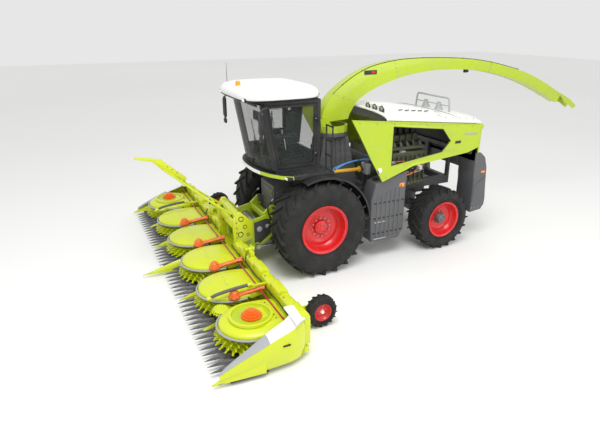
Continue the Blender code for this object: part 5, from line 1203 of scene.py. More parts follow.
def makeChopperTrim():
    # bolted covers, inspection hatch and the drum bearings on the chopper's housing
    bm = bmesh.new()
    for side in (1, -1):
        x = side * 0.360
        cover = [(-0.62, 0.74), (-0.62, 1.62), (-0.32, 1.74), (0.0, 1.55), (0.0, 1.20), (-0.26, 1.08),
            (-0.26, 0.74)]
        addPrism(bm, cover, "X", x, x + side * 0.010, coverGrey, 0.003, 2)
        addLathe(bm, [(0, 0.0), (0.115, 0.0), (0.115, 0.010), (0.095, 0.016), (0.06, 0.018), (0, 0.018)],
            here(x, -0.28, 1.42), "X", side, 40, pulleyGrey)
        for k in range(8):
            a = math.pi * k / 4
            addLathe(bm, [(0, 0), (0.010, 0), (0.010, 0.008), (0, 0.008)],
                here(x + side * 0.012, -0.28 + 0.098 * math.cos(a), 1.42 + 0.098 * math.sin(a)), "X", side, 6,
                brightSteel)
        addBolts(bm, (x + side * 0.010, -0.60, 0.78), (0, 0, 0.10), 9, "X", side, 0.010, brightSteel)
    addBox(bm, (-0.33, 0.33), (-0.688, -0.681), (0.72, 1.20), coverGrey, 0.003)
    addBox(bm, (-0.30, 0.30), (-0.690, -0.681), (1.34, 1.64), coverGrey, 0.003)
    for x in (-0.26, 0.26):
        addBolts(bm, (x, -0.690, 1.38), (0, 0, 0.11), 3, "Y", -1, 0.010, brightSteel)
    one = bmesh.new()
    addBox(one, (-0.30, -0.285), (-0.6905, -0.6875), (0.76, 1.16), 0, 0.001, 1)
    addRow(bm, one, 9, (0.073, 0, 0), greyPaint, coverGrey)
    return finishPiece(bm, "chopper_covers", "chassis", driveFinishes, 35)


makeCardans()
makeBeltDrive()
makePumps()
makeHoses()
makeFeedRoll("feed_roll_front", *driveLine["frontRoll"])
makeFeedRoll("feed_roll_rear", *driveLine["rearRoll"])
makeFeeder()
makeChopperTrim()
print("drive line made")


# cab

cab = {"half": 0.85, "rear": 0.16, "footFront": -0.82, "lean": 0.26, "bulge": 0.17, "floor": 2.16,
    "top": 3.56, "roofBack": 0.22, "roofFront": -1.45, "deckTop": 2.1595}
cabFinishes = [blackPlastic, whitePaint, darkTrim, bareSteel, limePaint, clearLens, amberLens, redLens,
    hoseRubber, lightGreyPaint, seatCloth, glass]
(cabTrim, roofWhite, cabLining, cabSteel, noseLime, lampClear, beaconAmber, buttonRed, sealRubber,
 cabSilver, cushionCloth, cabPane) = range(12)


def screenLine(z, x, out=0.0):
    # the windscreen bows forward at its middle and leans out towards its top
    share = (z - cab["floor"]) / (cab["top"] - cab["floor"])
    front = cab["footFront"] - cab["lean"] * share
    t = min(1.0, abs(x) / cab["half"])
    return here(x, front - cab["bulge"] * (1 - t ** 2.1) - out, z)


def makeRoof():
    bm = bmesh.new()
    middle = (cab["roofBack"] + cab["roofFront"]) / 2
    length = (cab["roofBack"] - cab["roofFront"]) / 2 - 0.001
    wide = cab["half"] + 0.149
    levels = [(3.562, 0.90), (3.565, 0.955), (3.585, 0.985), (3.60, 0.992), (3.605, 0.985), (3.625, 0.996),
        (3.66, 1.0), (3.70, 0.992), (3.74, 0.965), (3.775, 0.92), (3.80, 0.86), (3.82, 0.77), (3.833, 0.64),
        (3.840, 0.46), (3.843, 0.22)]
    rings = []
    for z, share in levels:
        ring = []
        for k in range(64):
            a = 2 * math.pi * (k + 0.5) / 64
            c, s = math.cos(a), math.sin(a)
            ring.append(here(wide * share * abs(c) ** 0.44 * (1 if c > 0 else -1),
                middle + length * share * abs(s) ** 0.44 * (1 if s > 0 else -1), z))
        rings.append(ring)
    addLoft(bm, rings[:5], cabTrim)
    addLoft(bm, rings[4:], roofWhite)
    # pressed rib along each side of the crown and a raised hatch
    for side in (1, -1):
        addTube(bm, smoothPath([here(side * 0.55, y, 3.826 - 0.03 * abs(y - middle) ** 2) for y in (-1.15,
            -0.8, -0.4, -0.05)], 4), 0.012, 8, roofWhite)
    addBox(bm, (-0.28, 0.28), (-0.78, -0.38), (3.82, 3.842), roofWhite, 0.01, 3)
    # work lights under the front and rear edges
    for x in (-0.72, -0.50, -0.28, 0.28, 0.50, 0.72):
        addBox(bm, (x - 0.075, x + 0.075), (-1.43 + 0.04 * abs(x), -1.36), (3.572, 3.640), cabTrim, 0.012, 2)
        addBox(bm, (x - 0.060, x + 0.060), (-1.438 + 0.04 * abs(x), -1.425 + 0.04 * abs(x)), (3.583, 3.630),
            lampClear, 0.006)
    for x in (-0.62, 0.62):
        addBox(bm, (x - 0.07, x + 0.07), (0.16, 0.212), (3.60, 3.66), cabTrim, 0.01)
        addBox(bm, (x - 0.055, x + 0.055), (0.205, 0.219), (3.61, 3.65), lampClear, 0.005)
    # beacon on its stalk and the aerial
    addLathe(bm, [(0, 0.0), (0.055, 0.0), (0.055, 0.02), (0.045, 0.025)], here(0.10, -1.28, 3.775), "Z", 1,
        24, cabTrim)
    addLathe(bm, [(0.045, 0.024), (0.050, 0.04), (0.048, 0.095), (0.036, 0.118), (0, 0.124)],
        here(0.10, -1.28, 3.775), "Z", 1, 24, beaconAmber)
    addLathe(bm, [(0, -0.02), (0.03, -0.02), (0.03, 0.03), (0.012, 0.06), (0, 0.06)],
        here(-0.86, -1.20, 3.70), "Z", 1, 16, cabTrim)
    addTube(bm, [here(-0.86, -1.20, 3.75), here(-0.865, -1.20, 4.16)], [0.007, 0.003], 8, cabTrim)
    return finishPiece(bm, "cab_roof_moulded", "chassis", cabFinishes, 40, ["cab_roof"])


def makeCabTrim():
    # seals, wiper, lining and the controls that show through the glass
    bm = bmesh.new()
    low, high = cab["floor"] + 0.05, cab["top"] - 0.045
    foot = [screenLine(low, x, 0.011) for x in [0.82 * k / 8 for k in range(-8, 9)]]
    head = [screenLine(high, x, 0.011) for x in [0.82 * k / 8 for k in range(8, -9, -1)]]
    addTube(bm, foot + head + foot[:1], 0.012, 8, sealRubber)
    for side in (1, -1):
        post = [screenLine(low + (high - low) * k / 6, side * 0.835, 0.003) for k in range(7)]
        addTube(bm, post, 0.026, 10, cabTrim)
    # wiper parked across the foot of the screen
    pivot = screenLine(2.27, 0.10, 0.018)
    addLathe(bm, [(0, -0.02), (0.022, -0.02), (0.022, 0.02), (0, 0.02)], pivot, "Y", 1, 14, cabTrim)
    addTube(bm, [pivot, screenLine(2.55, 0.30, 0.028), screenLine(2.86, 0.44, 0.022)], 0.006, 8, cabTrim)
    addTube(bm, [screenLine(2.45, 0.44, 0.014), screenLine(2.85, 0.44, 0.014), screenLine(3.2, 0.43, 0.014)],
        0.007, 6, sealRubber)
    # side and rear gaskets
    x, frontLow, frontHigh = -0.862, -0.82, -1.02
    loop = [here(x, 0.14, 2.43), here(x, frontLow, 2.43), here(x, frontHigh, 3.50), here(x, 0.14, 3.50)]
    addTube(bm, loop + loop[:1], 0.010, 8, sealRubber)
    loop = [here(-0.83, 0.172, 2.43), here(0.79, 0.172, 2.43), here(0.79, 0.172, 3.50),
        here(-0.83, 0.172, 3.50)]
    addTube(bm, loop + loop[:1], 0.010, 8, sealRubber)
    # headlining, floor mat and sun blind
    addBox(bm, (-0.76, 0.76), (-0.98, 0.06), (3.515, 3.555), cabLining, 0.015)
    addBox(bm, (-0.74, 0.74), (-0.90, 0.06), (2.2108, 2.222), sealRubber, 0.004)
    one = bmesh.new()
    addBox(one, (-0.70, 0.70), (-0.86, -0.845), (2.222, 2.226), 0, 0.001, 1)
    addRow(bm, one, 14, (0, 0.06, 0), hoseRubber, sealRubber)
    addTube(bm, [here(-0.60, -1.10, 3.46), here(0.60, -1.10, 3.46)], 0.022, 10, cabLining)
    # monitor on its arm, and the pedals
    addTube(bm, smoothPath([here(-0.36, -0.52, 2.80), here(-0.40, -0.66, 2.92), here(-0.42, -0.72, 3.05)], 4),
        0.014, 8, cabTrim)
    addBox(bm, (-0.56, -0.28), (-0.755, -0.725), (3.00, 3.20), cabTrim, 0.012, 3)
    addBox(bm, (-0.54, -0.30), (-0.728, -0.720), (3.02, 3.18), cabSilver, 0.004)
    for x in (0.16, 0.27):
        addPrism(bm, [(-0.86, 2.24), (-0.845, 2.23), (-0.80, 2.40), (-0.815, 2.405)], "X", x, x + 0.075,
            cabTrim, 0.003)
    # grab handles inside the posts
    addTube(bm, smoothPath([screenLine(2.80, 0.76, -0.06), screenLine(2.95, 0.74, -0.09),
        screenLine(3.15, 0.74, -0.09), screenLine(3.30, 0.76, -0.06)], 4), 0.012, 8, cabLining)
    return finishPiece(bm, "cab_trim", "chassis", cabFinishes, 40)


def makeDoorTrim():
    bm = bmesh.new()
    x = cab["half"] + 0.002
    outline = [(0.065, 2.245), (-0.745, 2.245), (-0.97, 3.475), (0.065, 3.475)]
    loop = [here(x, y, z) for y, z in outline]
    addTube(bm, loop + loop[:1], 0.009, 8, sealRubber)
    inner = [here(x, y, z) for y, z in ((0.01, 2.30), (-0.70, 2.30), (-0.90, 3.42), (0.01, 3.42))]
    addTube(bm, inner + inner[:1], 0.006, 8, sealRubber)
    addBox(bm, (x, x + 0.014), (-0.72, -0.60), (2.66, 2.70), cabTrim, 0.004)
    addTube(bm, smoothPath([here(x + 0.004, -0.60, 2.62), here(x + 0.030, -0.62, 2.66),
        here(x + 0.030, -0.64, 2.80), here(x + 0.004, -0.64, 2.84)], 4), 0.008, 8, cabSteel)
    for z in (2.46, 3.16):
        addBolts(bm, (x + 0.022, 0.035, z + 0.028), (0, 0.016, 0), 2, "X", 1, 0.005, cabSteel)
    return finishPiece(bm, "cab_door_trim", "cab_door", cabFinishes, 40)


def addPad(bm, centre, across, up, out, size, channels, slot):
    # a crowned closed cushion: its sides pull in between the corners and sewn channels cross it
    n = 22
    top, bottom = [], []
    for i in range(n + 1):
        for j in range(n + 1):
            u, v = -1 + 2 * i / n, -1 + 2 * j / n
            a = size[0] * u * (1 - 0.035 * (1 - u * u) * abs(v)) * (1 - 0.04 * (1 - v * v) * abs(u) ** 4)
            b = size[1] * v * (1 - 0.04 * (1 - u * u) * abs(v) ** 4)
            full = (1 - abs(u) ** 7) ** 0.4 * (1 - abs(v) ** 7) ** 0.4
            crown = size[2] * (0.55 + 0.45 * full) if full > 0 else size[2] * 0.5
            crown += 0.014 * (1 - u * u) * (1 - v * v)
            for c in channels:
                crown -= 0.010 * math.exp(-((v - c) / 0.035) ** 2) * full
            crown -= 0.007 * (math.exp(-((u - 0.62) / 0.03) ** 2)
                + math.exp(-((u + 0.62) / 0.03) ** 2)) * full
            top.append(centre + across * a + up * b + out * crown)
            bottom.append(centre + across * a * 0.97 + up * b * 0.97 - out * size[2] * (0.35 + 0.1 * full))
    faces = []
    m = n + 1
    for i in range(n):
        for j in range(n):
            faces.append((i * m + j, (i + 1) * m + j, (i + 1) * m + j + 1, i * m + j + 1))
    count = m * m
    faces += [tuple(count + k for k in reversed(f)) for f in faces]
    ring = [i * m for i in range(n)] + [n * m + j for j in range(n)] + [i * m + n for i in range(n, 0, -1)]
    ring += [j for j in range(n, 0, -1)]
    for k, a in enumerate(ring):
        b = ring[(k + 1) % len(ring)]
        faces.append((a, b, count + b, count + a))
    addFaces(bm, top + bottom, faces, slot)
    piping = [top[k] * 0.55 + bottom[k] * 0.45 for k in ring]
    addTube(bm, piping + piping[:1], 0.0045, 6, sealRubber)


def makeSeat():
    floor = cab["floor"] + 0.0505
    y = -0.28
    across = Vector((1, 0, 0))
    cushions = bmesh.new()
    addPad(cushions, here(0, y - 0.03, floor + 0.40), across, Vector((0, 1, 0)), Vector((0, 0, 1)),
        (0.252, 0.235, 0.085), (-0.35, 0.15, 0.6), cushionCloth)
    lean = Vector((0, 0.09, 0.70)).normalized()
    ahead = Vector((0, -0.70, 0.09)).normalized()
    addPad(cushions, here(0, y + 0.235, floor + 0.74), across, lean, ahead, (0.235, 0.245, 0.075),
        (-0.5, 0.0, 0.5), cushionCloth)
    addPad(cushions, here(0, y + 0.275, floor + 1.055), across, lean, ahead, (0.14, 0.075, 0.055), (0.0,),
        cushionCloth)
    pads = finishPiece(cushions, "driver_seat_cushions", "chassis", cabFinishes, 60,
        ["driver_seat"])
    bm = bmesh.new()
    # suspension bellows, slides, shell, arm rests and the control console
    profile = [(0.0, 0.0), (0.17, 0.0)]
    for k in range(6):
        profile += [(0.175, 0.04 + 0.045 * k), (0.145, 0.062 + 0.045 * k)]
    profile += [(0.17, 0.31), (0.0, 0.31)]
    addLathe(bm, profile, here(0, y, floor + 0.005), "Z", 1, 32, sealRubber)
    addBox(bm, (-0.20, 0.20), (y - 0.19, y + 0.19), (floor + 0.0005, floor + 0.03), cabTrim, 0.006)
    addBox(bm, (-0.24, 0.24), (y - 0.24, y + 0.22), (floor + 0.31, floor + 0.365), cabTrim, 0.012, 3)
    back = [(y + 0.24, floor + 0.36), (y + 0.275, floor + 0.36), (y + 0.355, floor + 1.10),
        (y + 0.32, floor + 1.12)]
    addPrism(bm, back, "X", -0.22, 0.22, cabTrim, 0.012, 3)
    for side in (1, -1):
        addBox(bm, sorted((side * 0.262, side * 0.33)), (y - 0.22, y + 0.16), (floor + 0.56, floor + 0.60),
            cabLining, 0.015, 3)
        addTube(bm, [here(side * 0.29, y + 0.18, floor + 0.45), here(side * 0.29, y + 0.12, floor + 0.57)],
            0.018, 10, cabTrim)
    addBox(bm, (-0.455, -0.335), (y - 0.39, y + 0.11), (floor + 0.44, floor + 0.575), cabLining, 0.02, 3)
    addTube(bm, [here(-0.41, y - 0.33, floor + 0.57), here(-0.41, y - 0.335, floor + 0.65)], 0.013, 10,
        sealRubber)
    addLathe(bm, [(0, 0), (0.022, 0.0), (0.030, 0.03), (0.026, 0.065), (0.012, 0.08), (0, 0.082)],
        here(-0.41, y - 0.335, floor + 0.64), "Z", 1, 18, cabTrim)
    for k in range(5):
        addBox(bm, (-0.44, -0.42), (y - 0.18 + 0.045 * k, y - 0.155 + 0.045 * k),
            (floor + 0.574, floor + 0.581), (beaconAmber, cabSilver, noseLime, cabSilver, buttonRed)[k],
            0.002)
    return finishPiece(bm, "driver_seat_frame", "chassis", cabFinishes, 40, ["driver_seat"])


def makeSteering():
    bm = bmesh.new()
    floor = cab["floor"] + 0.0505
    foot, top = Vector((0, -0.82, floor)), Vector((0, -0.66, floor + 0.62))
    tilt = Matrix.Rotation(math.radians(-20), 4, "X")
    addLathe(bm, [(0, 0), (0.11, 0), (0.10, 0.03), (0.07, 0.06), (0.06, 0.07)], here(*foot), "Z", 1, 28,
        sealRubber)
    addTube(bm, [here(*foot) + Vector((0, 0.01, 0.04)), here(*(foot + (top - foot) * 0.6)), here(*top)],
        [0.048, 0.040, 0.034], 16, cabTrim)
    rim = [here(*(top + tilt @ Vector((0.183 * math.cos(a), 0.183 * math.sin(a),
        0.024)))) for a in [2 * math.pi * k / 40 for k in range(41)]]
    addTube(bm, rim, 0.015, 12, sealRubber, caps=False)
    for a in (0.5, 2.64, 4.71):
        end = here(*(top + tilt @ Vector((0.175 * math.cos(a), 0.175 * math.sin(a), 0.022))))
        addTube(bm, [here(*top) + Vector((0, 0, 0.012)), end], [0.014, 0.010], 8, cabSilver)
    addTube(bm, [here(*top), here(*(top + tilt @ Vector((0, 0, 0.03))))], 0.045, 20, cabTrim)
    addTube(bm, [here(*(top + Vector((0.03, 0.0, -0.05)))), here(*(top + Vector((0.13, 0.02, -0.02))))],
        0.007, 8, cabTrim)
    return finishPiece(bm, "steering_wheel", "chassis", cabFinishes, 40, ["steering_column"])


def makeMirror(label, side):
    bm = bmesh.new()
    x, y = side * 1.10, -1.20

    def shellRings(half, deep, low, high, corner):
        rings = []
        for k in range(11):
            t = k / 10
            z = low + (high - low) * t
            pinch = min(1.0,
                (t * (high - low) / corner) ** 0.5 if t < 0.5 else ((1 - t) * (high - low) / corner) ** 0.5)
            w, d = half * (0.70 + 0.30 * pinch), deep * (0.45 + 0.55 * pinch)
            rings.append([here(x + w * math.cos(a) * (abs(math.cos(a)) ** -0.3 if abs(math.cos(a)) > 0.05
                else 1), y - 0.005 - d * max(-0.35, -math.sin(a)),
                z) for a in [2 * math.pi * (i + 0.5) / 24 for i in range(24)]])
        return rings
    addLoft(bm, shellRings(0.096, 0.036, 2.99, 3.437, 0.06), cabTrim)
    addLoft(bm, shellRings(0.082, 0.032, 2.862, 2.975, 0.04), cabTrim)
    addBox(bm, (x - 0.078, x + 0.078), (y + 0.005, y + 0.012), (3.01, 3.415), cabSilver, 0.004)
    addBox(bm, (x - 0.062, x + 0.062), (y + 0.005, y + 0.012), (2.875, 2.960), cabSilver, 0.004)
    arm = [here(side * 0.86, -1.04, 3.49), here(side * 1.0, -1.05, 3.50), here(x, -1.08, 3.49),
        here(x, -1.17, 3.47), here(x, y - 0.01, 3.40)]
    addTube(bm, smoothPath(arm, 5), 0.017, 12, cabTrim)
    addTube(bm, [here(x, y - 0.012, 2.90), here(x, y - 0.012, 3.38)], 0.014, 10, cabTrim)
    addBox(bm, sorted((side * 0.8505, side * 0.879)), (-1.07, -1.01), (3.46, 3.52), cabTrim, 0.005)
    return finishPiece(bm, "mirror_{}_moulded".format(label), "chassis", cabFinishes, 40,
        ["mirror_" + label])


def makeDeck():
    # walkway with tread bars, mudguards with a return edge, handrails, lamps and the painted nose strip
    bm = bmesh.new()
    top = cab["deckTop"]
    nose = [(-1.236, 0.296), (-1.236, -0.42), (-1.19, -0.58), (-1.05, -0.775), (-0.82, -0.93),
        (-0.55, -1.035), (-0.28, -1.085), (0, -1.097)]
    outline = nose + [(-x, y) for x, y in nose[-2::-1]]
    addPrism(bm, outline, "Z", top - 0.09, top, cabTrim, 0.012, 3)
    for side in (1, -1):
        one = bmesh.new()
        addBox(one, sorted((side * 0.90, side * 1.20)), (-0.55, -0.535), (top - 0.001, top + 0.005), 0, 0.002,
            1)
        addRow(bm, one, 16, (0, 0.05, 0), bareSteel, cabSteel)
        # mudguard
        rings = []
        for k in range(33):
            a = math.radians(6 + 106 * k / 32)
            section = []
            for x, r in ((0.785, 1.060), (0.782, 1.100), (0.80, 1.1055), (1.38, 1.1055), (1.412, 1.098),
                    (1.418, 1.062), (1.405, 1.062), (1.400, 1.088), (0.80, 1.088), (0.796, 1.060)):
                section.append(here(side * x, r * math.cos(a), 1.01 + r * math.sin(a)))
            rings.append(section)
        addLoft(bm, rings, cabTrim)
        for x in (0.95, 1.10, 1.25):
            bead = [here(side * x, 1.1055 * math.cos(a),
                1.01 + 1.1055 * math.sin(a)) for a in [math.radians(10 + 98 * k / 24) for k in range(25)]]
            addTube(bm, bead, 0.007, 6, cabTrim)
        addBox(bm, sorted((side * 0.84, side * 1.16)), (-0.05, 0.05), (2.085, 2.12), cabTrim, 0.006)
        # handrail frame behind the door
        for x in (0.94, 1.20):
            addTube(bm, [here(side * x, 0.25, top - 0.01), here(side * x, 0.25, top + 0.89)], 0.016, 12,
                cabTrim)
            addLathe(bm, [(0, 0), (0.035, 0), (0.035, 0.008), (0.018, 0.012)], here(side * x, 0.25, top), "Z",
                1, 16, cabTrim)
        for z in (0.30, 0.60, 0.893):
            addTube(bm, [here(side * 0.925, 0.25, top + z), here(side * 1.215, 0.25, top + z)], 0.017, 12,
                cabTrim)
        # marker and working lamps on the deck's nose
        addBox(bm, sorted((side * 1.06, side * 1.20)), (-0.72, -0.60), (top - 0.080, top - 0.020), cabTrim,
            0.010)
        addBox(bm, sorted((side * 1.075, side * 1.185)), (-0.728, -0.715), (top - 0.072, top - 0.028),
            lampClear, 0.005)
    # nose strip, white at the middle and lime at both ends
    def strip(first, last, slot):
        rings = []
        for x, y in outline[first:last]:
            grow = 0.012
            d = math.hypot(x, y + 0.2)
            ox, oy = x / d * grow, (y + 0.2) / d * grow
            rings.append([here(x, y, top - 0.082), here(x + ox, y + oy, top - 0.075),
                here(x + ox, y + oy, top - 0.018), here(x, y, top - 0.010)])
        addLoft(bm, rings, slot)
    strip(2, 6, noseLime)
    strip(5, 10, roofWhite)
    strip(9, 13, noseLime)
    # far-side access ladder rail
    for y in (-0.30, -0.05):
        addTube(bm, smoothPath([here(-1.21, y, top - 0.05), here(-1.215, y, top + 0.5),
            here(-1.20, y, top + 0.85)], 4), 0.014, 10, cabTrim)
    for z in (0.2, 0.4, 0.6, 0.8):
        addTube(bm, [here(-1.212, -0.30, top + z), here(-1.212, -0.05, top + z)], 0.011, 8, cabTrim)
    return finishPiece(bm, "cab_deck_formed", "chassis", cabFinishes, 35, ["cab_deck"])


makeRoof()
makeCabTrim()
makeDoorTrim()
makeSeat()
makeSteering()
makeDeck()
for label, side in (("left", 1), ("right", -1)):
    makeMirror(label, side)
print("cab made")


# body

body = {"half": 1.30, "front": 0.62, "rear": 4.00, "height": 3.20, "slope": 0.103, "hoodFront": 1.46,
    "sheet": 0.03}
bodyFinishes = [limePaint, whitePaint, greyPaint, blackPlastic, bareSteel, darkTrim, lightGreyPaint, redLens,
    clearLens, enginePaint, amberLens, hoseRubber, bluePaint, orangePaint]
(bodyLime, bodyWhite, bodyGrey, bodyDark, bodyMetal, bodyTrim, bodyPale, bodyTail, bodyLamp,
 bodyCast, bodyAmber, bodyHose, bodyBlue, bodyOrange) = range(14)


def shoulder(y):
    return body["height"] - body["slope"] * (y - body["front"])


def crownLine(y, half, drop=0.0, steps=12):
    # the hood's section: a rolled shoulder that flattens towards the middle
    out = []
    for k in range(steps + 1):
        t = k / steps
        out.append((half * math.cos(t * math.pi / 2) ** 0.62,
            shoulder(y) - drop + 0.13 * math.sin(t * math.pi / 2) ** 0.9))
    return out + [(-x, z) for x, z in out[-2::-1]]


def makeHood():
    bm = bmesh.new()
    half = body["half"] - 0.012
    rings = []
    for y in (body["hoodFront"] + 0.002, 1.48, 1.52, 2.0, 2.5, 3.0, 3.5, 3.94, 3.985, 3.998):
        drop = 0.014 if y in (body["hoodFront"] + 0.002, 3.998) else (0.004 if y in (1.48, 3.985) else 0.0)
        outer = [here(x, y, z) for x, z in crownLine(y, half, drop)]
        inner = [here(x * 0.985, y, z - 0.022) for x, z in crownLine(y, half, drop)]
        rings.append(outer + inner[::-1])
    addLoft(bm, rings, bodyWhite)
    # panel joints across the hood, as dark rubber strips let into it
    for y in (2.98, 3.42):
        addTube(bm, [here(x * 0.985, y, z + 0.0005) for x, z in crownLine(y, half)], 0.006, 6, bodyDark)
    for x in (-0.62, 0.62):
        line = [here(x, y, shoulder(y) + 0.121) for y in (3.0, 3.2, 3.4)]
        addTube(bm, line, 0.005, 6, bodyDark)
    # cooling louvres on the far half
    for k in range(9):
        y = 1.75 + 0.085 * k
        addBox(bm, (-0.86, -0.42), (y, y + 0.045), (shoulder(y) + 0.090, shoulder(y) + 0.118), bodyDark,
            0.004)
        addBox(bm, (-0.85, -0.43), (y + 0.030, y + 0.050), (shoulder(y) + 0.095, shoulder(y) + 0.127),
            bodyWhite, 0.004)
    addBolts(bm, (half - 0.10, 3.05, shoulder(3.05) + 0.075), (0, 0.2, -0.0206), 5, "Z", 1, 0.009, bodyMetal)
    addBolts(bm, (-half + 0.10, 3.05, shoulder(3.05) + 0.075), (0, 0.2, -0.0206), 5, "Z", 1, 0.009, bodyMetal)
    # service frame and exhaust cones
    foot = shoulder(3.72) + 0.09
    top = foot + 0.345
    bow = [here(0.62, 3.64, foot - 0.02), here(0.60, 3.64, foot + 0.20), here(0.565, 3.64, top - 0.02),
        here(0.50, 3.64, top), here(0.25, 3.64, top), here(0, 3.64, top)]
    path = smoothPath(bow, 5)
    path += [Vector((-p.x, p.y, p.z)) for p in path[-2::-1]]
    addTube(bm, path, 0.021, 12, bodyPale)
    addTube(bm, [here(-0.58, 3.64, foot + 0.17), here(0.58, 3.64, foot + 0.17)], 0.012, 10, bodyPale)
    for side in (1, -1):
        addLathe(bm, [(0.125, -0.05), (0.125, 0.0), (0.118, 0.03), (0.085, 0.09), (0.060, 0.15),
            (0.048, 0.22), (0.040, 0.22), (0.052, 0.15), (0.060, 0.10)], here(side * 0.24, 3.64, foot), "Z",
            1, 32, bodyPale)
        addLathe(bm, [(0.130, -0.01), (0.136, 0.0), (0.130, 0.010), (0.12, 0.012)],
            here(side * 0.24, 3.64, foot), "Z", 1, 32, bodyDark)
        addLathe(bm, [(0, -0.02), (0.05, -0.02), (0.05, 0.012), (0, 0.012)], here(side * 0.62, 3.64, foot),
            "Z", 1, 16, bodyMetal)
    return finishPiece(bm, "hood_crowned", "chassis", bodyFinishes, 35, ["hood_top"])


def makeIntake():
    bm = bmesh.new()
    x0, x1 = 0.245, 1.035
    y0, y1 = 1.60, 2.95
    rings = []
    for k, (y, rise, inset) in enumerate(((y0 - 0.015, 0.02, 0.0), (y0 - 0.045, 0.215, 0.0),
            (y0 - 0.02, 0.245, 0.012), (y0 + 0.20, 0.265, 0.02), (2.2, 0.245, 0.02), (y1 - 0.14, 0.195, 0.02),
            (y1 - 0.05, 0.12, 0.01), (y1 - 0.004, 0.02, 0.0))):
        base = shoulder(y)
        a, b, r = x0 + inset, x1 - inset, 0.05
        # the foot follows the hood's crown
        foot = [base + 0.13 - 0.075 * (x / 1.3) ** 2 for x in (b, a)]
        top = max(base + rise, max(foot) + 0.004)
        rings.append([here(b, y, foot[0]), here(b, y, max(foot[0], top - r)),
            here(b - r * 0.3, y, top - r * 0.3), here(b - r, y, top), here((a + b) / 2, y, top + 0.003),
            here(a + r, y, top), here(a + r * 0.3, y, top - r * 0.3), here(a, y, max(foot[1], top - r)),
            here(a, y, foot[1])])
    addLoft(bm, rings, bodyWhite)
    for k in range(3):
        x = x0 + (x1 - x0) * (k + 0.5) / 3
        z = shoulder(y0) + 0.165
        addLathe(bm, [(0.076, 0.012), (0.076, -0.006), (0.070, -0.012), (0.062, -0.010), (0.058, 0.02),
            (0, 0.024)], here(x, y0 - 0.040, z), "Y", 1, 28, bodyDark)
        for j in range(-2, 3):
            w = math.sqrt(max(0.0, 0.058 ** 2 - (j * 0.02) ** 2))
            addTube(bm, [here(x - w, y0 - 0.046, z + j * 0.02), here(x + w, y0 - 0.046, z + j * 0.02)], 0.003,
                6, bodyMetal)
    for k in range(5):
        y = 1.90 + 0.17 * k
        addBox(bm, (x1 - 0.022, x1 + 0.001), (y, y + 0.11), (shoulder(y) + 0.165, shoulder(y) + 0.180),
            bodyDark, 0.003)
    return finishPiece(bm, "air_intake_moulded", "chassis", bodyFinishes, 35,
        ["air_intake_box"])


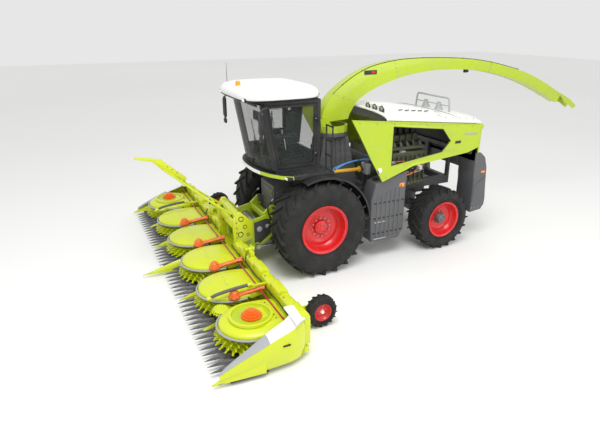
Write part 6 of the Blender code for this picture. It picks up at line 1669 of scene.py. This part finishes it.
def makeSidePanel(label, side):
    # a lime body side: a folded skin with a raised field, a crease and, on the left, an open service window
    node = "side_panel_" + label
    bm = bmesh.new()
    lip = body["sheet"] + 0.0005
    outer = [(body["front"], shoulder(body["front"]) - lip), (body["rear"], shoulder(body["rear"]) - lip),
        (body["rear"] + 0.018, 2.30), (3.70, 2.202), (2.20, 2.062), (1.42, 1.802), (1.12, 2.30), (0.84, 2.80)]
    face, back = side * (body["half"] - 0.002), side * (body["half"] - 0.028)

    def rim(points, shift):
        # the outline drawn in towards its middle by about the shift
        cy = sum(p[0] for p in points) / len(points)
        cz = sum(p[1] for p in points) / len(points)
        out = []
        for y, z in points:
            d = math.hypot(y - cy, z - cz)
            out.append((cy + (y - cy) * (d - shift) / d, cz + (z - cz) * (d - shift) / d))
        return out

    def dense(points, parts=5):
        out = []
        for i, p in enumerate(points):
            q = points[(i + 1) % len(points)]
            out += [(p[0] + (q[0] - p[0]) * k / parts,
                p[1] + (q[1] - p[1]) * k / parts) for k in range(parts)]
        return out

    def bridge(loops, slot):
        rings = [[here(x, y, z) for y, z in points] for points, x in loops]
        addLoft(bm, rings, slot, caps=False)

    edge = dense(outer)
    if side > 0:
        # from the outline's edge to the window's edge, ring by ring
        hole = dense([(1.62, 2.96), (2.92, 2.80), (3.16, 2.52), (2.95, 2.30), (2.28, 2.215), (1.62, 2.14),
            (1.62, 2.42), (1.62, 2.69)], 5)
        bridge([(rim(edge, 0.0), back), (rim(edge, 0.0), face - side * 0.006), (rim(edge, 0.006), face),
            (rim(edge, 0.035), face), (rim(edge, 0.045), face - side * 0.006),
            (rim(hole, -0.040), face - side * 0.006), (rim(hole, -0.030), face), (rim(hole, -0.006), face),
            (rim(hole, 0.0), face - side * 0.006), (rim(hole, 0.0), back), (rim(edge, 0.0), back)], bodyLime)
        seal = [here(face - side * 0.004, y, z) for y, z in rim(hole, 0.004)]
        addTube(bm, seal + seal[:1], 0.010, 8, bodyDark)
    else:
        bridge([(rim(edge, 0.0), back), (rim(edge, 0.0), face - side * 0.006), (rim(edge, 0.006), face),
            (rim(edge, 0.035), face), (rim(edge, 0.045), face - side * 0.006),
            (rim(edge, 0.30), face - side * 0.006)], bodyLime)
        inner = [here(face - side * 0.006, y, z) for y, z in rim(edge, 0.30)]
        addFaces(bm, inner, [tuple(range(len(inner)))], bodyLime)
        addFaces(bm, [here(back, y, z) for y, z in edge], [tuple(range(len(edge)))], bodyLime)
        for k in range(10):
            y = 1.75 + 0.13 * k
            addPrism(bm, [(y, 2.45), (y + 0.07, 2.45), (y + 0.11, 2.78), (y + 0.04, 2.78)], "X",
                *sorted((face - side * 0.004, face - side * 0.012)), bodyDark, 0.002)
    # blank round badge, handle, hinges and edge screws
    addLathe(bm, [(0, 0.0), (0.058, 0.0), (0.062, -0.003), (0.062, -0.010)], here(face, 1.335, 2.06), "X",
        side, 36, bodyWhite)
    addBox(bm, sorted((face - side * 0.010, face + side * 0.001)), (3.30, 3.46), (2.44, 2.50), bodyDark,
        0.006)
    addBolts(bm, (face - side * 0.003, 1.50, 1.90), (0, 0.34, 0.058), 3, "X", side, 0.008, bodyMetal)
    addBolts(bm, (face - side * 0.003, 0.80, 3.10), (0, 0.42, -0.0433), 8, "X", side, 0.008, bodyMetal)
    addPrism(bm, [(3.55, 2.66), (3.92, 2.64), (3.92, 2.60), (3.55, 2.62)], "X",
        *sorted((face, face - side * 0.012)), bodyPale, 0.003)
    return finishPiece(bm, node + "_pressed", node, bodyFinishes, 35, [node])


def makeEngine():
    # the cast block with its heads, filters, pipes and belts, as far as the service window shows them
    bm = bmesh.new()
    low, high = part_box("engine_block")
    x0, x1 = low.x, high.x
    y0, y1 = low.y - axleY, high.y - axleY
    z0, z1 = low.z, high.z
    wide, long, tall = x1 - x0, y1 - y0, z1 - z0
    addBox(bm, (x0 + 0.05 * wide, x1 - 0.05 * wide), (y0 + 0.04, y1 - 0.04), (z0, z0 + 0.62 * tall), bodyCast,
        0.02, 3)
    for k in range(9):
        y = y0 + 0.10 + (long - 0.2) * k / 8
        addBox(bm, (x0 + 0.02 * wide, x1 - 0.02 * wide), (y - 0.012, y + 0.012),
            (z0 + 0.10 * tall, z0 + 0.55 * tall), bodyCast, 0.006)
    for k in range(6):
        y = y0 + 0.07 + (long - 0.14) * k / 6
        w = (long - 0.14) / 6
        addBox(bm, (x0 + 0.28 * wide, x1 - 0.22 * wide), (y + 0.01, y + w - 0.01),
            (z0 + 0.62 * tall, z0 + 0.86 * tall), bodyCast, 0.02, 3)
        addBox(bm, (x0 + 0.33 * wide, x1 - 0.27 * wide), (y + 0.03, y + w - 0.03),
            (z0 + 0.86 * tall, z1 - 0.01), bodyDark, 0.015)
        port = [here(x1 - 0.22 * wide, y + w / 2, z0 + 0.74 * tall),
            here(x1 - 0.13 * wide, y + w / 2, z0 + 0.75 * tall),
            here(x1 - 0.08 * wide, y + w / 2 - 0.02, z0 + 0.68 * tall)]
        addTube(bm, smoothPath(port, 4), 0.035, 12, bodyMetal)
    addTube(bm, [here(x1 - 0.08 * wide, y0 + 0.08, z0 + 0.68 * tall),
        here(x1 - 0.08 * wide, y1 - 0.12, z0 + 0.68 * tall)], 0.045, 16, bodyCast)
    # filters, alternator and turbocharger on the left face
    for y, z, r, finish in ((y1 - 0.22, z0 + 0.40 * tall, 0.070, bodyWhite),
            (y1 - 0.40, z0 + 0.38 * tall, 0.060, bodyDark)):
        spot = here(x1 - 0.055, y, z)
        addLathe(bm, [(0, -0.14), (r * 0.9, -0.14), (r, -0.12), (r, 0.10), (r * 0.92, 0.12), (r * 0.5, 0.13),
            (0, 0.13)], spot, "Z", 1, 24, finish)
    addLathe(bm, [(0, -0.08), (0.08, -0.08), (0.10, -0.05), (0.10, 0.04), (0.07, 0.055), (0, 0.055)],
        here(x1 - 0.06, y0 + 0.20, z0 + 0.42 * tall), "X", 1, 28, bodyMetal)
    addLathe(bm, [(0, -0.03), (0.115, -0.03), (0.12, -0.01), (0.10, 0), (0.12, 0.01), (0.115, 0.03),
        (0, 0.03)], here(x1 - 0.12, y0 + 0.50, z0 + 0.56 * tall), "X", 1, 32, bodyMetal)
    for k in range(4):
        z = z0 + (0.18 + 0.09 * k) * tall
        hose = [here(x1 - 0.03 * wide, y0 + 0.08, z), here(x1 - 0.02 * wide, y0 + 0.4, z + 0.04),
            here(x1 - 0.02 * wide, y0 + 0.8, z - 0.03), here(x1 - 0.03 * wide, y1 - 0.10, z + 0.02)]
        addTube(bm, smoothPath(hose, 6), 0.011, 8, (bodyHose, bodyMetal, bodyHose, bodyOrange)[k])
    addBolts(bm, (x1 - 0.05 * wide, y0 + 0.1, z0 + 0.05 * tall), (0, (long - 0.2) / 11, 0), 12, "X", 1, 0.012,
        bodyMetal)
    return finishPiece(bm, "engine_dressed", "chassis", bodyFinishes, 35, ["engine_block"])


def makeRearEnd():
    bm = bmesh.new()
    low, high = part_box("rear_end")
    y = body["rear"] - 0.019
    top = shoulder(y + 0.16) - 0.032
    # framed cooling grille with slats
    addBox(bm, (-1.26, 1.26), (y, y + 0.05), (1.95, top - 0.02), bodyDark, 0.006)
    one = bmesh.new()
    addPrism(one, [(y + 0.05, 2.06), (y + 0.085, 2.045), (y + 0.085, 2.052), (y + 0.05, 2.068)], "X", -1.16,
        1.16)
    addRow(bm, one, 24, (0, 0, (top - 0.22 - 2.06) / 23), darkTrim, bodyTrim)
    for x in (-0.58, 0, 0.58):
        addBox(bm, (x - 0.012, x + 0.012), (y + 0.04, y + 0.093), (2.02, top - 0.14), bodyTrim, 0.003)
    for a, b, c, d in ((-1.26, -1.15, 1.96, top - 0.10), (1.15, 1.26, 1.96, top - 0.10)):
        addBox(bm, (a, b), (y, y + 0.10), (c, d), bodyLime, 0.012, 3)
    addBox(bm, (-1.26, 1.26), (y, y + 0.155), (top - 0.11, top), bodyLime, 0.02, 3)
    addBox(bm, (-1.16, 1.16), (y, y + 0.10), (1.96, 2.03), bodyLime, 0.01)
    for side in (1, -1):
        addBox(bm, sorted((side * 0.86, side * 1.12)), (y + 0.15, y + 0.165), (top - 0.085, top - 0.030),
            bodyLamp, 0.006)
        addBox(bm, sorted((side * 1.165, side * 1.245)), (y + 0.095, y + 0.108), (2.10, 2.36), bodyTail,
            0.006)
        addBox(bm, sorted((side * 1.165, side * 1.245)), (y + 0.095, y + 0.108), (2.38, 2.48), bodyAmber,
            0.006)
    # lower corner shells: a creased moulding each side
    front = low.y - axleY
    back = high.y - axleY
    under = 1.45
    for side in (1, -1):
        outline = [(front + 0.02, 0.69), (back - 0.10, 0.725), (back - 0.02, 0.84), (back - 0.004, 0.97),
            (back - 0.05, 1.40), (back - 0.08, 1.78), (back - 0.16, 2.02), (back - 0.30, 2.145), (y, 2.145),
            (y, under + 0.15), (front + 0.02, under)]
        xs = sorted((side * 0.745, side * 1.285))
        addPrism(bm, outline, "X", xs[0], xs[1], bodyGrey, 0.022, 3)
        crease = [(front + 0.03, 0.95), (back - 0.06, 1.10), (back - 0.09, 1.55), (front + 0.05, 1.36)]
        addPrism(bm, crease, "X", *sorted((side * 1.284, side * 1.297)), bodyGrey, 0.008)
        addBox(bm, sorted((side * 0.82, side * 1.20)), (back - 0.070, back - 0.030), (1.22, 1.34), bodyDark,
            0.01)
        addBox(bm, sorted((side * 0.84, side * 1.00)), (back - 0.050, back - 0.022), (1.24, 1.32), bodyTail,
            0.005)
        addBox(bm, sorted((side * 1.02, side * 1.18)), (back - 0.050, back - 0.022), (1.24, 1.32), bodyAmber,
            0.005)
        addBolts(bm, (side * 1.286, front + 0.06, 0.80), (0, 0.09, 0.004), 3, "X", side, 0.010, bodyMetal)
        # side marker
        addBox(bm, sorted((side * 1.285, side * 1.298)), (back - 0.24, back - 0.14), (1.66, 1.70), bodyAmber,
            0.004)
    # cross member with an anonymous blank plate
    addBox(bm, (-0.80, 0.80), (y, y + 0.35), (1.72, 2.00), bodyGrey, 0.018, 3)
    addBox(bm, (-0.26, 0.26), (y + 0.345, y + 0.356), (1.80, 1.92), bodyWhite, 0.004)
    addBox(bm, (-0.30, 0.30), (y + 0.335, y + 0.350), (1.77, 1.95), bodyDark, 0.006)
    one = bmesh.new()
    addBox(one, (-0.72, -0.69), (y + 0.05, y + 0.30), (1.998, 2.010), 0, 0.003)
    addRow(bm, one, 16, (0.094, 0, 0), darkTrim, bodyTrim)
    return finishPiece(bm, "rear_end_moulded", "chassis", bodyFinishes, 35, ["rear_end"])


def makeSideBox(label, side):
    # rotomoulded tank with pressed ribs, a filler and steps
    node = "fuel_tank_" + label
    bm = bmesh.new()
    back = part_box(node)[1].y - axleY
    outline = [(1.24, 0.42), (1.60, 0.405), (back - 0.14, 0.40), (back - 0.02, 0.62), (back - 0.02, 1.50),
        (back, 1.97), (1.30, 1.76), (1.20, 1.40), (1.205, 0.9)]
    xs = sorted((side * 0.862, side * 1.250))
    addPrism(bm, outline, "X", xs[0], xs[1], bodyGrey, 0.03, 3)
    face = side * 1.250
    for k in range(6):
        y = 1.34 + 0.115 * k
        addPrism(bm, [(y, 0.50), (y + 0.05, 0.50), (y + 0.05, 1.44 + 0.05 * k), (y, 1.42 + 0.05 * k)], "X",
            *sorted((face - side * 0.01, face + side * 0.012)), bodyGrey, 0.010)
    for z in (0.60, 0.95, 1.30):
        addBox(bm, sorted((face - side * 0.01, face + side * 0.006)), (1.27, back - 0.06), (z, z + 0.03),
            bodyDark, 0.004)
    addLathe(bm, [(0, 0.03), (0.055, 0.03), (0.06, 0.02), (0.06, -0.01)], here(side * 1.06, 1.40, 1.79), "Z",
        1, 24, bodyDark)
    # two folding steps with grip holes
    for z in (0.47, 0.86):
        addBox(bm, sorted((side * 1.18, side * 1.262)), (1.30, 1.62), (z, z + 0.03), bodyMetal, 0.006)
        for k in range(6):
            addLathe(bm, [(0, 0.0), (0.014, 0.0), (0.014, -0.003)],
                here(side * 1.222, 1.335 + 0.05 * k, z + 0.031), "Z", 1, 10, bodyDark)
    addBox(bm, sorted((face, face + side * 0.010)), (back - 0.20, back - 0.08), (1.62, 1.70), bodyAmber,
        0.004)
    for y in (back - 0.40, back - 0.14):
        addBox(bm, sorted((side * 0.4605, side * 0.87)), (y, y + 0.10), (1.225, 1.415), bodyGrey, 0.008)
        addBolts(bm, (side * 0.50, y + 0.03, 1.415), (side * 0.06, 0, 0), 4, "Z", 1, 0.011, bodyMetal)
    return finishPiece(bm, node + "_moulded", "chassis", bodyFinishes, 35, [node])


def makeTower():
    # folded discharge tower with stiffening ribs, and the slewing collar with its bolts
    bm = bmesh.new()
    low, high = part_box("discharge_tower")
    base, neck = low.z, high.z
    rings = []
    for k in range(13):
        t = k / 12
        grow = 0.012 if k % 3 == 1 else 0.0
        x = 0.285 - 0.03 * t + grow
        a, b = 0.43 + 0.14 * t - grow, 1.29 - 0.14 * t + grow
        z = base + (neck - 0.09 - base) * t
        rings.append([here(-x, a, z), here(x, a, z), here(x, b, z), here(-x, b, z)])
    addLoft(bm, rings, bodyGrey)
    for side in (1, -1):
        for k in range(5):
            y = 0.60 + 0.12 * k
            addBox(bm, sorted((side * 0.262, side * 0.296)), (y, y + 0.03), (base + 0.06, neck - 0.16),
                bodyGrey, 0.006)
    addLathe(bm, [(0.30, neck - 0.12), (0.35, neck - 0.10), (0.368, neck - 0.085), (0.368, neck - 0.012),
        (0.36, neck - 0.001), (0, neck - 0.001)], here(0, 0.86, 0), "Z", 1, 64, bodyGrey)
    for k in range(20):
        a = 2 * math.pi * k / 20
        addLathe(bm, [(0, 0), (0.012, 0), (0.012, 0.012), (0, 0.012)],
            here(0.345 * math.cos(a), 0.86 + 0.345 * math.sin(a), neck - 0.012), "Z", 1, 6, bodyMetal)
    return finishPiece(bm, "discharge_tower_folded", "chassis", bodyFinishes, 35,
        ["discharge_tower"])


makeHood()
makeIntake()
makeEngine()
makeRearEnd()
makeTower()
for label, side in (("left", 1), ("right", -1)):
    makeSidePanel(label, side)
    makeSideBox(label, side)
print("body made")


# discharge spout

spout = {"half": 0.17, "wall": 0.010, "taper": 0.22,
    "outer": [(0.52, 2.93), (0.60, 3.22), (0.84, 3.52), (1.19, 3.78), (1.55, 3.97), (1.94, 4.09),
    (2.60, 4.18), (3.45, 4.19), (4.35, 4.15), (5.05, 4.07), (5.68, 3.95), (6.45, 3.76), (7.20, 3.48),
    (7.95, 3.13)], "inner": [(1.20, 2.97), (1.25, 3.12), (1.40, 3.33), (1.62, 3.48), (1.88, 3.60),
    (2.17, 3.70), (2.68, 3.83), (3.47, 3.92), (4.33, 3.91), (4.98, 3.84), (5.58, 3.73), (6.32, 3.53),
    (7.06, 3.25), (7.82, 2.90)]}


def makeSpoutArm():
    bm = bmesh.new()
    steps = 6
    outer = smoothPath([Vector((0, y, z)) for y, z in spout["outer"]], steps)
    inner = smoothPath([Vector((0, y, z)) for y, z in spout["inner"]], steps)
    count = len(outer)
    rings, bores, tops, lows = [], [], [], []
    for k, (a, b) in enumerate(zip(outer, inner)):
        part = k / steps
        half = spout["half"] * (1 - spout["taper"] * max(0.0, part - 2) / (len(spout["outer"]) - 3)) - 0.001
        down = (b - a).normalized()
        c = 0.022

        def section(w, top, low, corner):
            return [here(-w, (top + down * corner).y, (top + down * corner).z),
                here(-w + corner * 0.3, (top + down * corner * 0.3).y, (top + down * corner * 0.3).z),
                here(-w + corner, top.y, top.z), here(0, top.y, top.z), here(w - corner, top.y, top.z),
                here(w - corner * 0.3, (top + down * corner * 0.3).y, (top + down * corner * 0.3).z),
                here(w, (top + down * corner).y, (top + down * corner).z),
                here(w, (a * 0.5 + b * 0.5).y, (a * 0.5 + b * 0.5).z), here(w, low.y, low.z),
                here(0, low.y, low.z), here(-w, low.y, low.z),
                here(-w, (a * 0.5 + b * 0.5).y, (a * 0.5 + b * 0.5).z)]
        rings.append(section(half, a + down * 0.002, b, c))
        bores.append(section(half - spout["wall"], a + down * 0.012, b - down * 0.010, c * 0.6))
        tops.append((a, down, half))
        lows.append((b, down, half))
    addLoft(bm, rings, bodyLime, caps=False)
    addLoft(bm, bores[::-1], bodyLime, caps=False)
    for end in (0, count - 1):
        n = len(rings[end])
        faces = [(i, (i + 1) % n, n + (i + 1) % n, n + i) for i in range(n)]
        addFaces(bm, rings[end] + bores[end], faces, bodyLime)
    # rolled flanges along both edges of the underside, with rivets
    for side in (1, -1):
        edge = [here(side * (h - 0.002), p.y, p.z) for p, d, h in lows[4:-3]]
        addTube(bm, edge, 0.008, 8, bodyLime)
        upper = [here(side * (h - 0.004), (p + d * 0.05).y, (p + d * 0.05).z) for p, d, h in tops[10:-3]]
        addTube(bm, upper, 0.0045, 6, bodyLime)
        for k in range(14, count - 3, 2):
            p, d, h = tops[k]
            low = lows[k][0]
            for share in (0.24, 0.88):
                spot = p + (low - p) * share
                addLathe(bm, [(0.010, -0.001), (0.009, 0.004), (0.005, 0.0055), (0, 0.006)],
                    here(side * h, spot.y, spot.z) - Vector((side * 0.001, 0, 0)), "X", side, 8, bodyMetal)
    # collars where the sections are bolted together
    for k in (12, 34, 56):
        a, d, h = tops[k]
        b = lows[k][0]
        ahead = (tops[k + 1][0] - tops[k - 1][0]).normalized()
        for shift in (-0.012, 0.012):
            ring = []
            grown = h - 0.0005
            for w, q in ((-grown, a + d * 0.001), (grown, a + d * 0.001), (grown, b), (-grown, b)):
                ring.append((w, q + ahead * shift))
            lo = [here(w, (q - ahead * 0.006).y, (q - ahead * 0.006).z) for w, q in ring]
            hi = [here(w, (q + ahead * 0.006).y, (q + ahead * 0.006).z) for w, q in ring]
            addLoft(bm, [lo, hi], bodyLime, caps=False)
        for side in (1, -1):
            for share in (0.15, 0.4, 0.65, 0.9):
                spot = a + (b - a) * share
                addBolts(bm, (side * h, spot.y, spot.z), (0, 0, 0), 1, "X", side, 0.010, bodyMetal)
    # sensor window, camera and the flap's jack on the near side
    a, d, h = tops[26]
    spot = a + d * 0.10
    addBox(bm, (h - 0.002, h + 0.010), (spot.y - 0.16, spot.y + 0.16), (spot.z - 0.045, spot.z + 0.045),
        bodyDark, 0.01)
    addBox(bm, (h + 0.006, h + 0.013), (spot.y + 0.02, spot.y + 0.12), (spot.z - 0.025, spot.z + 0.025),
        bodyTail, 0.005)
    b, d, h = lows[50]
    addBox(bm, (-0.03, 0.03), (b.y - 0.05, b.y + 0.06), (b.z - 0.085, b.z - 0.01), bodyDark, 0.012)
    addLathe(bm, [(0, 0), (0.024, 0), (0.026, -0.02), (0.02, -0.05)], here(0, b.y + 0.085, b.z - 0.05), "Y",
        1, 20, bodyDark)
    a, d, h = tops[66]
    e = tops[77][0]
    jack = [here(0.05, a.y, a.z - 0.004), here(0.05, (a.y * 0.45 + e.y * 0.55),
        (a.z * 0.45 + e.z * 0.55) + 0.004)]
    addTube(bm, jack, 0.020, 12, bodyDark)
    addTube(bm, [jack[1], here(0.05, e.y, e.z - 0.002)], 0.009, 10, bodyMetal)
    hose = [here(0.11, tops[k][0].y, tops[k][0].z + 0.004) for k in range(12, 68, 4)]
    addTube(bm, smoothPath(hose, 3), 0.008, 8, bodyHose)
    for k in range(16, 66, 8):
        p, d, h = tops[k]
        addBox(bm, (0.092, 0.128), (p.y - 0.01, p.y + 0.01), (p.z - 0.006, p.z + 0.016), bodyDark, 0.003)
    # ears that hold the flap's pins
    ahead = (tops[-1][0] - tops[-2][0]).normalized()
    top, down, h = tops[-1]
    for side in (1, -1):
        corners = [top - ahead * 0.10 + down * 0.012, top + ahead * 0.045 + down * 0.016,
            top + ahead * 0.045 + down * 0.056, top - ahead * 0.10 + down * 0.11]
        xs = sorted((side * (h - 0.002), side * (h + 0.010)))
        addPrism(bm, [(c.y, c.z) for c in corners], "X", xs[0], xs[1], bodyLime, 0.003)
        pinAt = top + ahead * 0.025 + down * 0.035
        addLathe(bm, [(0, 0.013), (0.012, 0.013), (0.012, -0.004), (0, -0.004)],
            here(side * h, pinAt.y, pinAt.z), "X", side, 16, bodyMetal)
    return finishPiece(bm, "spout_arm_folded", "spout_arm", bodyFinishes, 30, ["spout_arm"])


makeSpoutArm()
print("spout made")


# axle details

gearFinishes = [castSteel, bareSteel, greyPaint, limePaint, blackPlastic, lightGreyPaint, redLens]
castSlot, boltSlot, greySlot, limeSlot, blackSlot, paleSlot, lensSlot = range(7)
gear = {"frontAxle": (0.0, 1.01), "rearAxle": (3.10, 0.76), "turret": (0.86, 2.72), "turretRadius": 0.37,
    "ringBolts": 16}


def boltCircle(bm, centre, axis, side, radius, count, size):
    for k in range(count):
        a = 2 * math.pi * k / count
        u, v = radius * math.cos(a), radius * math.sin(a)
        offset = {"X": (0, u, v), "Y": (u, 0, v), "Z": (u, v, 0)}[axis]
        addLathe(bm, [(0, 0), (size, 0), (size, size * 0.8), (0, size * 0.8)], centre + Vector(offset), axis,
            side, 6, boltSlot)


def makeAxleDetail():
    bm = bmesh.new()
    y, z = gear["frontAxle"]
    for face, side in ((-0.150, -1), (0.150, 1)):
        addLathe(bm, [(0, -0.002), (0.120, -0.002), (0.120, 0.012), (0.098, 0.022), (0.06, 0.028),
            (0, 0.028)], here(0, y + face, z - 0.01), "Y", side, 36, castSlot)
        boltCircle(bm, here(0, y + face + side * 0.012, z - 0.01), "Y", side, 0.107, 10, 0.009)
        for x in (-0.40, -0.24, 0.24, 0.40):
            addBox(bm, (x - 0.011, x + 0.011), sorted((y + face, y + face + side * 0.014)),
                (z - 0.13, z + 0.11), castSlot, 0.004, 2)
    for side in (1, -1):
        boltCircle(bm, here(side * 0.62, y - 0.151, z - 0.01), "Y", -1, 0.055, 6, 0.009)
    y, z = gear["rearAxle"]
    for face, side in ((-0.110, -1), (0.110, 1)):
        for x in (-0.42, -0.26, 0.26, 0.42):
            addBox(bm, (x - 0.011, x + 0.011), sorted((y + face, y + face + side * 0.012)),
                (z - 0.10, z + 0.085), castSlot, 0.004, 2)
        addLathe(bm, [(0, -0.002), (0.085, -0.002), (0.085, 0.012), (0.05, 0.018), (0, 0.018)],
            here(0, y + face, z - 0.01), "Y", side, 28, castSlot)
        boltCircle(bm, here(0, y + face + side * 0.012, z - 0.01), "Y", side, 0.068, 8, 0.008)
    return finishPiece(bm, "axle_details", "chassis", gearFinishes, 35)


makeAxleDetail()
print("gear made")


# floor, light and camera

studio = {"floorSize": 120.0, "keyPower": 860.0, "fillPower": 280.0, "sky": 0.80,
    "cameraPlace": (9.663, -4.457, 4.985), "lookAlong": (-0.8441, 0.3988, -0.3584), "lens": 29.96}

floorMaterial, tree, shader, place = emptyMaterial("pale_studio_floor")
tone = addNode(tree, "ShaderNodeTexNoise", {"Scale": 0.05}, {"Vector": place})
mix = addNode(tree, "ShaderNodeMix", {"data_type": "RGBA", "6": hexColour("F1F1EF"),
    "7": hexColour("FAFAF9")}, {"0": tone.outputs[0]})
tree.links.new(mix.outputs[2], shader.inputs["Base Color"])
shader.inputs["Roughness"].default_value = 0.8
bm = bmesh.new()
half = studio["floorSize"] / 2
addFaces(bm, [(-half, -half, -0.002), (half, -half, -0.002), (half, half, -0.002), (-half, half, -0.002)],
    [(0, 1, 2, 3)])
floorMesh = bpy.data.meshes.new("studio_floor")
bm.to_mesh(floorMesh)
bm.free()
floorMesh.materials.append(floorMaterial)
studioFloor = bpy.data.objects.new("studio_floor", floorMesh)
bpy.context.scene.collection.objects.link(studioFloor)

world = bpy.data.worlds.new("studio_sky")
world.use_nodes = True
world.node_tree.nodes["Background"].inputs[0].default_value = (1, 1, 1, 1)
world.node_tree.nodes["Background"].inputs[1].default_value = studio["sky"]
bpy.context.scene.world = world


def areaLight(name, place, target, size, power):
    lamp = bpy.data.lights.new(name, "AREA")
    lamp.shape = "DISK"
    lamp.size = size
    lamp.energy = power
    made = bpy.data.objects.new(name, lamp)
    bpy.context.scene.collection.objects.link(made)
    made.location = place
    made.rotation_euler = (Vector(target) - Vector(place)).to_track_quat("-Z", "Y").to_euler()


areaLight("key_light", here(6, -2, 12), here(0, 1, 1), 7, studio["keyPower"])
areaLight("fill_light", here(12, 8, 7), here(0, 2, 1.5), 9, studio["fillPower"])

cameraData = bpy.data.cameras.new("studio_camera")
cameraData.sensor_width = 36
cameraData.lens = studio["lens"]
cameraData.clip_end = 300
camera = bpy.data.objects.new("studio_camera", cameraData)
bpy.context.scene.collection.objects.link(camera)
camera.location = here(*studio["cameraPlace"])
camera.rotation_euler = Vector(studio["lookAlong"]).to_track_quat("-Z", "Y").to_euler()
bpy.context.scene.camera = camera
bpy.context.scene.view_settings.view_transform = "Standard"
print("floor, light and camera made")

bpy.context.view_layer.update()
